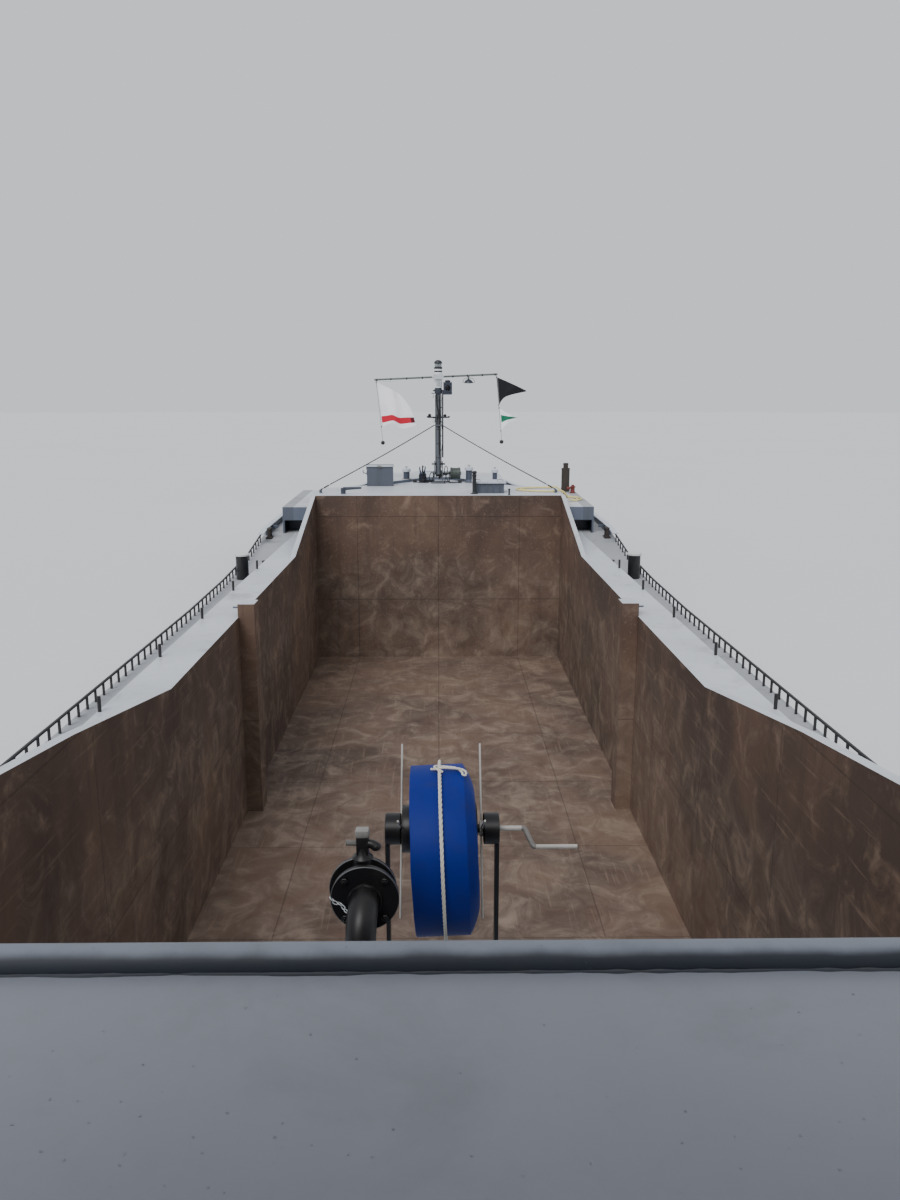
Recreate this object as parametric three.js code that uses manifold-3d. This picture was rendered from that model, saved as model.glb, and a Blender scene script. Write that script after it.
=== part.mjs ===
import * as THREE from 'three';
import { mergeVertices } from 'three/addons/utils/BufferGeometryUtils.js';
import Module from 'manifold-3d';

const wasm = await Module();
wasm.setup();

// Self-propelled river barge with one open gravel hopper.
// Millimetres; +Y is the bow, +X starboard, +Z up, Z = 0 the flat bottom amidships.

const stemY = 19350;
const sternY = -19350;
const halfBeam = 3300;
const strakeDepth = 30;
const strakeHeight = 160;
const shellHalf = halfBeam - strakeDepth;
const bilgeRise = 300;
const bottomHalf = 3000;
const sideDeckZ = 2500;
const sternCornerY = -15800;

const hopperAftY = -1060;
const hopperForeY = 13530;
const hopperHalf = 2320;
const hopperFloorZ = 450;
const coamingHalf = 2740;
const coamingZ = 2860;
const raisedZ = 3590;
const flangeWidth = 80;
const plateGap = 0.3;

const wingHalf = 2950;
const wingForeY = 16400;
const wingZ = [3375, 3440];
const trunkHalf = 2400;
const platformHalf = 1450;
const platformZ = 3650;

const aftTrunkZ = 3320;
const casingHalf = 2200;
const casingFrontY = -2415;
const casingZ = 4120;
const casingTubeR = 40;

const wheelhouseFrontY = -4200;
const wheelhouseAftY = -6900;
const wheelhouseHalf = 1500;
const wheelhouseFloorZ = 3650;
const wheelhouseWallZ = 5760;
const wall = 50;

const deckhouseAftY = -14700;
const deckhouseHalf = 2450;
const deckhouseWallZ = 3860;
const sternDeckZ = 2700;

const mastY = 16350;
const mastPivotZ = 4010;
const mastTopZ = 5620;
const yardZ = 5850;

const screwY = -16620;
const screwZ = 720;
const screwR = 590;
const rudderStockY = -17560;
const counterZ = 1600;

const steel = { roughness: 0.55, metalness: 0.1 };
const paints = {
  bluegrey: { color: 0x58626f, ...steel },
  palegrey: { color: 0xaab0b6, ...steel },
  roofgrey: { color: 0x767a82, ...steel },
  darkblue: { color: 0x3c4655, ...steel },
  black: { color: 0x1c1d20, ...steel },
  rust: { color: 0x6d5346, roughness: 0.85, metalness: 0.1 },
  greygreen: { color: 0x969f98, ...steel },
  white: { color: 0xd9dadb, roughness: 0.6, metalness: 0 },
  bronze: { color: 0x8c6a3a, roughness: 0.4, metalness: 0.8 },
  antifoul: { color: 0x2c2c30, roughness: 0.7, metalness: 0.1 },
  glass: { color: 0x9fb4bd, roughness: 0.05, metalness: 0 },
  hoseblue: { color: 0x14328a, roughness: 0.6, metalness: 0 },
  hoseyellow: { color: 0xe1d796, roughness: 0.6, metalness: 0 },
  timber: { color: 0x6e5c49, roughness: 0.9, metalness: 0 },
  leather: { color: 0x25262a, roughness: 0.6, metalness: 0 },
  cloth: { color: 0xe6e6ea, roughness: 0.9, metalness: 0 },
  blackcloth: { color: 0x202126, roughness: 0.9, metalness: 0 },
};

const group = new THREE.Group();

// Solids and booleans

function solid(geometry) {
  const bare = geometry.clone();
  for (const name of Object.keys(bare.attributes)) {
    if (name !== 'position') bare.deleteAttribute(name);
  }
  const merged = mergeVertices(bare, 0.001);
  return new wasm.Manifold(new wasm.Mesh({
    numProp: 3,
    vertProperties: new Float32Array(merged.attributes.position.array),
    triVerts: new Uint32Array(merged.index.array),
  }));
}

function surface(body) {
  const mesh = body.getMesh();
  const geometry = new THREE.BufferGeometry();
  geometry.setAttribute('position', new THREE.BufferAttribute(new Float32Array(mesh.vertProperties), 3));
  geometry.setIndex(new THREE.BufferAttribute(new Uint32Array(mesh.triVerts), 1));
  geometry.computeVertexNormals();
  return geometry;
}

function join(parts) {
  return parts.reduce((whole, part) => whole.add(part));
}

function cut(body, tools) {
  return tools.reduce((left, tool) => left.subtract(tool), body);
}

function addPiece(name, body, paint) {
  const mesh = new THREE.Mesh(surface(body), new THREE.MeshStandardMaterial(paints[paint]));
  mesh.name = name;
  group.add(mesh);
}

// Shapes, each given by its limits or its outline

function block([x0, x1], [y0, y1], [z0, z1]) {
  const box = new THREE.BoxGeometry(x1 - x0, y1 - y0, z1 - z0);
  return solid(box.translate((x0 + x1) / 2, (y0 + y1) / 2, (z0 + z1) / 2));
}

function outline(points) {
  return new THREE.Shape(points.map(([u, v]) => new THREE.Vector2(u, v)));
}

// Side outline (y, z) extruded across from x0 to x1
function sideProfile(points, x0, x1) {
  const bar = new THREE.ExtrudeGeometry(outline(points), { depth: x1 - x0, bevelEnabled: false });
  bar.applyMatrix4(new THREE.Matrix4().makeBasis(
    new THREE.Vector3(0, 1, 0), new THREE.Vector3(0, 0, 1), new THREE.Vector3(1, 0, 0)));
  return solid(bar.translate(x0, 0, 0));
}

// Cross-section (x, z) extruded along from y0 to y1
function crossProfile(points, y0, y1) {
  const bar = new THREE.ExtrudeGeometry(outline(points), { depth: y1 - y0, bevelEnabled: false });
  bar.applyMatrix4(new THREE.Matrix4().makeBasis(
    new THREE.Vector3(1, 0, 0), new THREE.Vector3(0, 0, 1), new THREE.Vector3(0, -1, 0)));
  return solid(bar.translate(0, y1, 0));
}

// Plan outline (x, y) extruded up from z0 to z1
function planProfile(points, z0, z1) {
  const bar = new THREE.ExtrudeGeometry(outline(points), { depth: z1 - z0, bevelEnabled: false });
  return solid(bar.translate(0, 0, z0));
}

// Round bar between two points
function rod(from, to, radius, sides = 12, endRadius = radius) {
  const start = new THREE.Vector3(...from);
  const along = new THREE.Vector3(...to).sub(start);
  const bar = new THREE.CylinderGeometry(endRadius, radius, along.length(), sides);
  bar.translate(0, along.length() / 2, 0);
  bar.applyQuaternion(new THREE.Quaternion().setFromUnitVectors(
    new THREE.Vector3(0, 1, 0), along.normalize()));
  return solid(bar.translate(start.x, start.y, start.z));
}

// Turned shape about an upright axis; profile pairs are (radius, height)
function turned(profile, [x, y, z], sides = 20) {
  const lathe = new THREE.LatheGeometry(profile.map(([r, h]) => new THREE.Vector2(r, h)), sides);
  return solid(lathe.rotateX(Math.PI / 2).translate(x, y, z));
}

// Turned shape about an axis across the ship
function turnedAcross(profile, [x, y, z], sides = 24) {
  const lathe = new THREE.LatheGeometry(profile.map(([r, h]) => new THREE.Vector2(r, h)), sides);
  return solid(lathe.rotateZ(-Math.PI / 2).translate(x, y, z));
}

function mirrored(body) {
  return body.mirror([1, 0, 0]);
}

// Line of the main deck at the ship's side, with its sheer towards both ends
const sheerLine = [
  [sternY, sternDeckZ], [sternCornerY, 2600], [hopperAftY, sideDeckZ], [7850, sideDeckZ],
  [9800, 2540], [11650, 2630], [12750, 2780], [hopperForeY, 2880], [stemY, 3150],
];

function sheerAt(y) {
  const next = Math.max(1, sheerLine.findIndex(([station]) => station >= y));
  const [y0, z0] = sheerLine[next - 1];
  const [y1, z1] = sheerLine[next];
  return z0 + (z1 - z0) * (y - y0) / (y1 - y0);
}

// Half outline of a hull end in plan: straight from rootY, then a rounded end to endY
function endOutline({ half, rootY, straightY, endY, power }, count) {
  const points = [[half, rootY]];
  for (let step = 0; step <= count; step += 1) {
    const angle = step / count * Math.PI / 2;
    points.push([
      half * Math.cos(angle) ** (2 / power),
      straightY + (endY - straightY) * Math.sin(angle) ** (2 / power),
    ]);
  }
  points[points.length - 1][0] = 0;
  return points;
}

// Hull end lofted through its waterlines, lowest first; each z may follow the sheer
function hullEnd(levels, count) {
  const rings = levels.map((level) => {
    const half = endOutline(level, count);
    const other = half.slice(0, -1).reverse().map(([x, y]) => [-x, y]);
    return [...half, ...other].map(([x, y]) => [x, y, level.z(y)]);
  });
  const size = rings[0].length;
  const triangles = [];
  const forward = levels[0].endY > levels[0].rootY;
  const face = (a, b, c) => triangles.push(...(forward ? [a, b, c] : [a, c, b]));
  for (let ring = 0; ring + 1 < rings.length; ring += 1) {
    for (let step = 0; step < size; step += 1) {
      const a = ring * size + step;
      const b = ring * size + (step + 1) % size;
      face(a, b, b + size);
      face(a, b + size, a + size);
    }
  }
  const top = (rings.length - 1) * size;
  for (let step = 0; step < (size - 1) / 2; step += 1) {
    const mate = size - 1 - step;
    const inner = step + 1;
    const innerMate = mate - 1;
    face(step, mate, inner);
    face(top + step, top + inner, top + mate);
    if (inner < innerMate) {
      face(mate, innerMate, inner);
      face(top + mate, top + inner, top + innerMate);
    }
  }
  const geometry = new THREE.BufferGeometry();
  geometry.setAttribute('position', new THREE.BufferAttribute(new Float32Array(rings.flat(2)), 3));
  geometry.setIndex(triangles);
  return solid(geometry);
}

// Hull amidships: bottom slab and the two wings with their coamings

const socketY = 6450;
const socketDepth = 184;
const socketWidth = 260;
const socketSeat = 5;

// The socket columns' feet are let into the hopper floor
function hullBottom() {
  const seat = block([hopperHalf - socketDepth - plateGap, hopperHalf + 1],
    [socketY - plateGap, socketY + socketWidth + plateGap], [hopperFloorZ - socketSeat, hopperFloorZ + 1]);
  const slab = block([-hopperHalf, hopperHalf], [hopperAftY, hopperForeY], [0, hopperFloorZ]);
  addPiece('hull_bottom', cut(slab, [seat, mirrored(seat)]), 'rust');
}

const coamingRise = [[hopperAftY, raisedZ], [280, 3390], [1510, 3220], [3650, coamingZ]];

function hullWing(side) {
  const ends = [hopperAftY, hopperForeY];
  const section = [
    [hopperHalf, 0], [bottomHalf, 0], [shellHalf, bilgeRise], [shellHalf, raisedZ], [hopperHalf, raisedZ],
  ];
  const deckLine = sheerLine.filter(([y]) => y >= ends[0] && y <= ends[1]);
  const below = [...deckLine, [ends[1], 0], [ends[0], 0]];
  const band = [...deckLine, ...deckLine.map(([y, z]) => [y, z - strakeHeight]).reverse()];
  const inner = [
    ...coamingRise, [10840, coamingZ], [hopperForeY, raisedZ],
    [hopperForeY, coamingZ - 200], [hopperAftY, coamingZ - 200],
  ];
  const wing = join([
    crossProfile(section, ...ends).intersect(sideProfile(below, hopperHalf, halfBeam)),
    sideProfile(band, shellHalf - 50, halfBeam),
    block([hopperHalf, coamingHalf], ends, [sideDeckZ - 100, coamingZ]),
    sideProfile(inner, hopperHalf, hopperHalf + flangeWidth),
    ...socketColumn(),
    ...coamingPosts(),
    stepPlate(),
  ]);
  addPiece(`hull_wing_${side}`, side === 'port' ? mirrored(wing) : wing, 'palegrey');
}

// Square column at the hopper's side, up to a pin above the coaming
function socketColumn() {
  const along = [socketY, socketY + socketWidth];
  const foot = hopperFloorZ - socketSeat + plateGap;
  const top = coamingZ + 150;
  const pin = [socketY + socketWidth / 2, coamingZ + 90];
  return [
    block([hopperHalf - socketDepth, hopperHalf], along, [foot, top]),
    block([hopperHalf - 1, hopperHalf + 10], along, [hopperFloorZ + 10, top]),
    rod([hopperHalf, ...pin], [hopperHalf + 90, ...pin], 14, 8),
  ];
}

// Raised plate on the side deck where the crew steps down from the trunk
function stepPlate() {
  return block([2790, 3210], [-500, 500], [sideDeckZ - 10, sideDeckZ + 6]);
}

const postStations = [3040, 4705, 6370, 8035, 9700];

function coamingPosts() {
  return postStations.map((y) => rod(
    [coamingHalf - 20, y, coamingZ - 20], [coamingHalf - 20, y, coamingZ + 130], 16, 8));
}

// Bow and stern

const strakeLow = (y) => sheerAt(y) - strakeHeight;

function hullBow() {
  const rows = [
    [bottomHalf, 15000, 17100, () => 0],
    [shellHalf, 14800, 17850, () => bilgeRise],
    [shellHalf, 14600, 18700, () => 1400],
    [shellHalf, 14400, stemY - 70, strakeLow],
    [halfBeam, 14400, stemY, strakeLow],
    [halfBeam, 14400, stemY, sheerAt],
  ];
  const levels = rows.map(([half, straightY, endY, z]) => (
    { half, rootY: hopperForeY, straightY, endY, power: 2.3, z }));
  addPiece('hull_bow', hullEnd(levels, 14), 'bluegrey');
}

function hullStern() {
  const rows = [
    [bottomHalf, -8200, -12400, () => 0],
    [shellHalf, -8700, -13200, () => bilgeRise],
    [shellHalf, -10800, -15300, () => 1000],
    [shellHalf, -12800, -16100, () => counterZ],
    [shellHalf, -15400, -18500, () => counterZ + 150],
    [shellHalf, sternCornerY, sternY + 70, strakeLow],
    [halfBeam, sternCornerY, sternY, strakeLow],
    [halfBeam, sternCornerY, sternY, sheerAt],
  ];
  const levels = rows.map(([half, straightY, endY, z]) => (
    { half, rootY: hopperAftY, straightY, endY, power: 2.5, z }));
  const skeg = sideProfile([
    [-11800, 30], [-16200, 30], [-16200, 500], [screwY + 420, 560], [screwY + 420, 880],
    [-16100, 1400], [-15000, counterZ + 200], [-11800, 600],
  ], -70, 70);
  const boss = rod([0, -15600, screwZ], [0, screwY + 200, screwZ], 170, 20, 150);
  const stockBoss = rod([0, rudderStockY, 1480], [0, rudderStockY, counterZ + 300], 150, 20);
  const posts = sternBollards.flatMap((place) => {
    const post = bollardAt(place, 30);
    return [post, mirrored(post)];
  });
  addPiece('hull_stern', join([hullEnd(levels, 14), skeg, boss, stockBoss, ...posts]), 'bluegrey');
}

// Screw and rudder

function propeller() {
  const hub = rod([0, screwY - 150, screwZ], [0, screwY + 200 - plateGap, screwZ], 90, 20, 130);
  const blades = [0, 1, 2, 3].map((index) => {
    const blade = new THREE.CylinderGeometry(230, 230, 26, 20);
    blade.scale(1, 1, 1.1);
    blade.rotateZ(0.6);
    blade.translate(0, 0, screwR - 253);
    blade.rotateY(index * Math.PI / 2);
    return solid(blade.translate(0, screwY + 20, screwZ));
  });
  addPiece('propeller', join([hub, ...blades]), 'bronze');
}

function rudder() {
  const plan = [[0, 260], [70, 120], [80, -60], [30, -700], [0, -760], [-30, -700], [-80, -60], [-70, 120]];
  const blade = planProfile(plan, 150, 1380).translate([0, rudderStockY, 0]);
  const stock = rod([0, rudderStockY, 1000], [0, rudderStockY, 1480 - plateGap], 65, 16);
  addPiece('rudder_blade', join([blade, stock]), 'antifoul');
}

// Raised foredeck and its bulwarks

const hatchX = [700, 1270];
const hatchY = [14000, 14500];

// Half outline of the raised trunk's rounded front, and of the winch platform's hollowed aft edge
const trunkFront = [
  [trunkHalf, hopperForeY], [trunkHalf, 15150], [2150, 15330], [1650, 15700], [1450, 15950],
];
const platformAft = [[platformHalf, 15950], [960, 16200], [635, 16700], [255, 17350]];

// Levels under the deck where the wings and the trunk start, before they are cut to the sheer
const wingFootZ = 2700;
const trunkFootZ = 2900;

// Closed outline from its starboard half
function bothSides(half) {
  return [...half, ...half.map(([x, y]) => [-x, y]).reverse()];
}

// Deck level beside and on the trunk at one point
function foredeckZ(x, y) {
  if (x <= trunkHalf) return raisedZ;
  return wingZ[0] + (wingZ[1] - wingZ[0]) * (y - hopperForeY) / (wingForeY - hopperForeY);
}

// Outline of the deck at the bow, set in from the ship's side
function deckOutline(inset, rootY, count = 14) {
  const half = endOutline({
    half: halfBeam - inset, rootY, straightY: 14400, endY: stemY - inset, power: 2.3,
  }, count);
  return [...half, ...half.slice(0, -1).reverse().map(([x, y]) => [-x, y])];
}

// x, y, radius and height of the deck vents, and the level they stand on
const vents = [
  [-710, 16800, 88, 218, platformZ], [670, 16500, 86, 330, raisedZ], [1235, 16450, 65, 222, platformZ],
];

// Round neck with a wider cap
function ventilator([x, y, radius, height, deck]) {
  const neck = radius * 0.8;
  return turned([[0, -20], [neck, -20], [neck, height - 60], [radius, height - 60], [radius, height],
    [0, height]], [x, y, deck], 16);
}

// Small bent fitting beside the stay on the port side
function gooseneck() {
  const x = -1830;
  const y = 13900;
  return [
    rod([x, y, raisedZ - 20], [x, y, raisedZ + 115], 48, 14),
    rod([x, y, raisedZ + 100], [x + 350, y, raisedZ + 116], 32, 12, 20),
  ];
}

// Dark recess under the lip of each wing, closed at the ship's side by a plate
function wingRecess() {
  return block([2430, wingHalf - 40], [hopperForeY - 1, hopperForeY + 400], [2800, 3120]);
}

const deckStub = { x: 690, y: 13900, radius: 38, height: 370 };

// Trunk, wings and winch platform in one, cut clear of the hull below and opened for the hatch
function foredeck() {
  const underside = sheerLine.filter(([y]) => y >= hopperForeY);
  const clearHull = sideProfile([
    ...underside.map(([y, z]) => [y, z + plateGap]), [stemY, 5000], [hopperForeY, 5000],
  ], -halfBeam, halfBeam);
  const wings = sideProfile([
    [hopperForeY, wingZ[0]], [wingForeY, wingZ[1]], [wingForeY, wingFootZ], [hopperForeY, wingFootZ],
  ], -wingHalf, wingHalf);
  const trunk = planProfile(bothSides(trunkFront), trunkFootZ, raisedZ);
  const well = block([-platformHalf, platformHalf], [15900, 17600], [trunkFootZ, raisedZ]);
  const ahead = [[platformHalf, stemY], ...platformAft].reverse();
  const platform = planProfile(deckOutline(350, 14300), trunkFootZ, platformZ)
    .intersect(planProfile(bothSides(ahead), trunkFootZ - 100, platformZ + 100));
  const shaft = block([hatchX[0] + 30, hatchX[1] - 30], [hatchY[0] + 30, hatchY[1] - 30], [2990, 3700]);
  const { x, y, radius, height } = deckStub;
  const stub = rod([x, y, raisedZ - 20], [x, y, raisedZ + height], radius, 12);
  const recess = wingRecess();
  const body = cut(join([wings, trunk, well, platform]).intersect(clearHull), [
    shaft, recess, mirrored(recess)]);
  addPiece('forecastle', join([
    body, ...vents.map(ventilator), ...gooseneck(), stub, stayEye('port'), stayEye('starboard'),
    ...hydrant(),
  ]), 'palegrey');
}

// Half of the bow bulwark: a plate along the deck edge that rises towards the stem
function bowBulwark(side) {
  const count = 14;
  const rootY = 13380;
  const outer = endOutline({
    half: halfBeam - 40, rootY, straightY: 14400, endY: stemY - 40, power: 2.3,
  }, count);
  const inner = endOutline({
    half: halfBeam - 100, rootY, straightY: 14400, endY: stemY - 100, power: 2.3,
  }, count);
  const shell = planProfile([...outer, ...inner.reverse()], 2500, 4000);
  const line = sheerLine.filter(([y]) => y >= 13000);
  const low = [[12750, 2780 + plateGap], ...line.map(([y, z]) => [y, z + plateGap])];
  const high = [[stemY, 3680], [18600, 3350], [16500, 3200], [15200, 3050], [13380, 3010], [12750, 2960]];
  const half = shell.intersect(sideProfile([...low, ...high], 3, halfBeam));
  addPiece(`bow_bulwark_${side}`, side === 'port' ? mirrored(half) : half, 'bluegrey');
}

// After deck: trunk, casing, wheelhouse and deckhouse

// Wheelhouse roof with the posts of the radar and the searchlight
const roofZ = wheelhouseWallZ + 70;
const radarY = -5900;
const radarZ = 6380;
const searchX = 900;
const searchY = -4600;
const searchZ = roofZ + 140;

// x, y, lowest and highest level, lower and upper radius of the posts and plates on the roof
const roofPosts = [
  [0, radarY, roofZ - 10, radarZ - 90, 45, 45],
  [0, radarY, roofZ - 10, roofZ + 20, 120, 120],
  [0, radarY, radarZ - 91, radarZ, 130, 110],
  [searchX, searchY, roofZ - 10, searchZ, 30, 30],
];

// Raised trunk between the hopper and the deckhouse
function aftTrunk() {
  const foot = sheerAt(wheelhouseAftY) + plateGap;
  addPiece('aft_trunk', block(
    [-coamingHalf, coamingHalf], [wheelhouseAftY, hopperAftY], [foot, aftTrunkZ]), 'palegrey');
}

// Casing before and under the wheelhouse, with a round tube along its front edge
function engineCasing() {
  addPiece('engine_casing', sideProfile([
    [wheelhouseAftY, aftTrunkZ], [casingFrontY, aftTrunkZ], [casingFrontY, casingZ],
    [wheelhouseFrontY, casingZ], [wheelhouseFrontY, wheelhouseFloorZ], [wheelhouseAftY, wheelhouseFloorZ],
  ], -casingHalf, casingHalf), 'roofgrey');
  addPiece('casing_tube', rod(
    [-casingHalf, casingFrontY + casingTubeR + plateGap, casingZ + 2],
    [casingHalf, casingFrontY + casingTubeR + plateGap, casingZ + 2], casingTubeR, 24), 'darkblue');
}

const sillZ = 4680;
const headZ = 5600;
const doorY = [-5900, -5100];
const doorZ = [wheelhouseFloorZ + 60, 5640];
const sidePaneY = [-4950, -4350];
const doorGap = 6;
const hingeR = 12;
const hingeOut = 14;
const hingeHigh = 90;
const hingeLift = [300, 1600];

// Fixed half of a door hinge: a pin above the leaf's knuckle, on a tab that is set on the wall.
// out is the wall's outward direction and along the way from the leaf to the wall beside it.
function hingePin([x, y], z, out, along) {
  const tab = [[x - out[0] * 17, x + along[0] * 50], [y - out[1] * 17, y + along[1] * 50]]
    .map((span) => span.sort((a, b) => a - b));
  return [
    rod([x, y, z + hingeHigh + plateGap], [x, y, z + hingeHigh + 50], hingeR, 10),
    block(tab[0], tab[1], [z + hingeHigh + 10, z + hingeHigh + 45]),
  ];
}

// Boxes beside the wheelhouse for the side lights: spans along x from the wall, along y and along z
const sideLight = {
  box: [[-10, 190], [-6600, -6280], [5020, 5240]],
  hollow: [[12, 200], [-6580, -6200], [5040, 5220]],
  lamp: [[40, 150], [-6420, -6290], [5060, 5200]],
  lampFoot: [[-10, 60], [-6420, -6380], [5030, 5100]],
};

// Front and rear panes leave these margins at the walls' ends
const frontMargin = 140;
const rearMargin = 300;
const doorWindowIn = 110;

// Wheelhouse: hollow shell with cut windows, roof, panes and two hinged doors
function wheelhouse() {
  const half = wheelhouseHalf;
  const floor = wheelhouseFloorZ;
  const outer = block([-half, half], [wheelhouseAftY, wheelhouseFrontY], [floor, wheelhouseWallZ]);
  const inner = block([-half + wall, half - wall], [wheelhouseAftY + wall, wheelhouseFrontY - wall],
    [floor + wall, wheelhouseWallZ + 10]);
  const openings = [
    block([-half + frontMargin, half - frontMargin], [wheelhouseFrontY - 100, wheelhouseFrontY + 100],
      [sillZ, headZ]),
    block([-half + rearMargin, half - rearMargin], [wheelhouseAftY - 100, wheelhouseAftY + 100],
      [sillZ, headZ]),
    block([-half - 100, half + 100], doorY, doorZ),
    block([-half - 100, half + 100], sidePaneY, [sillZ, headZ]),
  ];
  const pivot = [half + hingeOut, doorY[1] - doorGap - hingeR];
  const pins = hingeLift.flatMap((lift) => hingePin(pivot, doorZ[0] + lift, [1, 0], [0, 1]));
  const besideWall = ([x, y, z]) => block([half + x[0], half + x[1]], y, z);
  const lights = [
    cut(besideWall(sideLight.box), [besideWall(sideLight.hollow)]),
    besideWall(sideLight.lamp),
    besideWall(sideLight.lampFoot),
  ];
  const shell = join([
    cut(outer, [inner, ...openings]), ...pins, ...pins.map(mirrored), ...lights, ...lights.map(mirrored)]);
  addPiece('wheelhouse_shell', shell, 'white');
  addPiece('wheelhouse_roof', join([
    block([-half - 120, half + 120], [wheelhouseAftY - 120, wheelhouseFrontY + 180],
      [wheelhouseWallZ, roofZ]),
    ...roofPosts.map(([x, y, low, high, radius, endRadius]) => rod(
      [x, y, low], [x, y, high], radius, 20, endRadius)),
  ]), 'white');
  const pane = 8;
  const seat = plateGap;
  const mid = wall / 2;
  addPiece('wheelhouse_glass_front', block([-half + frontMargin + seat, half - frontMargin - seat],
    [wheelhouseFrontY - mid - pane, wheelhouseFrontY - mid], [sillZ + seat, headZ - seat]), 'glass');
  addPiece('wheelhouse_glass_rear', block([-half + rearMargin + seat, half - rearMargin - seat],
    [wheelhouseAftY + mid, wheelhouseAftY + mid + pane], [sillZ + seat, headZ - seat]), 'glass');
  for (const [side, sign] of [['port', -1], ['starboard', 1]]) {
    const glassX = [half - mid - pane, half - mid];
    const sidePane = block(glassX, [sidePaneY[0] + seat, sidePaneY[1] - seat],
      [sillZ + seat, headZ - seat]);
    const gap = doorGap;
    const leaf = block([half - 45, half - 5], [doorY[0] + gap, doorY[1] - gap],
      [doorZ[0] + gap, doorZ[1] - gap]);
    const light = [doorY[0] + doorWindowIn, doorY[1] - doorWindowIn];
    const window = block([half - 100, half + 100], light, [sillZ, headZ - 90]);
    const hinges = hingeLift.map((lift) => doorZ[0] + lift).flatMap((z) => [
      rod([...pivot, z], [...pivot, z + hingeHigh], hingeR, 10),
      block([half - 20, pivot[0]], [pivot[1] - 50, pivot[1]], [z + 10, z + 80]),
    ]);
    const handle = block([half - 10, half + 40], [doorY[0] + 60, doorY[0] + 90], [4600, 4720]);
    const door = join([cut(leaf, [window]), ...hinges, handle]);
    const doorPane = block([half - 29, half - 21], [light[0] + seat, light[1] - seat],
      [sillZ + seat, headZ - 90 - seat]);
    const place = (body) => (sign < 0 ? mirrored(body) : body);
    addPiece(`wheelhouse_glass_${side}`, place(sidePane), 'glass');
    addPiece(`wheelhouse_door_${side}`, place(door), 'white');
    addPiece(`door_glass_${side}`, place(doorPane), 'glass');
  }
}

const helmWheel = { y: -4900, lift: 925, radius: 190, tube: 15, tilt: 0.5 };
const chairY = -5560;

// Console with its wheel, and the chair on its pedestal
function helm() {
  const floor = wheelhouseFloorZ + wall;
  const console = sideProfile([
    [-4700, floor], [-4300, floor], [-4300, floor + 950], [-4450, floor + 980], [-4850, floor + 820],
    [-4850, floor + 760], [-4700, floor + 700],
  ], -700, 700);
  const { y, lift, radius, tube, tilt } = helmWheel;
  const rim = new THREE.TorusGeometry(radius, tube, 8, 24).rotateX(Math.PI / 2).rotateX(tilt);
  const column = rod([0, y + 150, floor + 780], [0, y - 5, floor + lift + 5], 22, 12);
  const spokes = block([2 - radius, radius - 2], [-12, 12], [-8, 8]).rotate([-61, 0, 0])
    .translate([0, y, floor + lift]);
  const wheel = solid(rim.translate(0, y, floor + lift));
  addPiece('helm_console', join([console, column, spokes, wheel]), 'darkblue');
  addPiece('helm_chair', join([
    rod([0, chairY, floor + plateGap], [0, chairY, floor + 30], 220, 20),
    rod([0, chairY, floor], [0, chairY, floor + 520], 45, 16).subtract(
      block([-100, 100], [chairY - 100, chairY + 100], [floor - 5, floor + plateGap])),
    block([-250, 250], [chairY - 240, chairY + 240], [floor + 500, floor + 600]),
    block([-230, 230], [chairY - 300, chairY - 200], [floor + 560, floor + 1150]),
  ]), 'leather');
}

const houseRoofZ = deckhouseWallZ + 60;
const deckhouseDoorX = [-400, 300];
const deckhouseDoorZ = [2760, 3700];
const aftHingeZ = [2850, 3520];
const houseWindowY = [-13600, -11900, -10200, -8500];
const houseWindowLong = 900;
const houseWindowZ = [3120, 3620];

// Deckhouse: hollow shell with four windows a side, roof and a door in the aft wall
function deckhouse() {
  const half = deckhouseHalf;
  const foreY = wheelhouseAftY - plateGap;
  const floor = sternDeckZ - 60;
  const outer = block([-half, half], [deckhouseAftY, foreY], [floor, deckhouseWallZ]);
  const inner = block([-half + wall, half - wall], [deckhouseAftY + wall, foreY - wall],
    [floor + wall, deckhouseWallZ + 10]);
  const windows = houseWindowY.map((y) => block(
    [-half - 100, half + 100], [y, y + houseWindowLong], houseWindowZ));
  const doorway = block(deckhouseDoorX, [deckhouseAftY - 100, deckhouseAftY + 100], deckhouseDoorZ);
  const gap = doorGap;
  const hingeX = deckhouseDoorX[1] - gap - hingeR;
  const pins = aftHingeZ.flatMap((z) => hingePin([hingeX, deckhouseAftY - hingeOut], z, [0, -1], [1, 0]));
  addPiece('deckhouse_shell', join([cut(outer, [inner, ...windows, doorway]), ...pins]), 'bluegrey');
  addPiece('deckhouse_roof', join([
    block([-half - 60, half + 60], [deckhouseAftY - 60, foreY], [deckhouseWallZ, houseRoofZ]),
    ...roofFittings(),
  ]), 'palegrey');
  addPiece('deckhouse_door', join([
    block([deckhouseDoorX[0] + gap, deckhouseDoorX[1] - gap], [deckhouseAftY + 5, deckhouseAftY + 45],
      [deckhouseDoorZ[0] + gap, deckhouseDoorZ[1] - gap]),
    ...aftHingeZ.flatMap((z) => [
      rod([hingeX, deckhouseAftY - hingeOut, z], [hingeX, deckhouseAftY - hingeOut, z + hingeHigh],
        hingeR, 10),
      block([hingeX - 50, hingeX], [deckhouseAftY - hingeOut, deckhouseAftY + 20], [z + 10, z + 80]),
    ]),
    block([deckhouseDoorX[0] + 60, deckhouseDoorX[0] + 90], [deckhouseAftY - 40, deckhouseAftY + 10],
      [3200, 3320]),
  ]), 'white');
}

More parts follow.
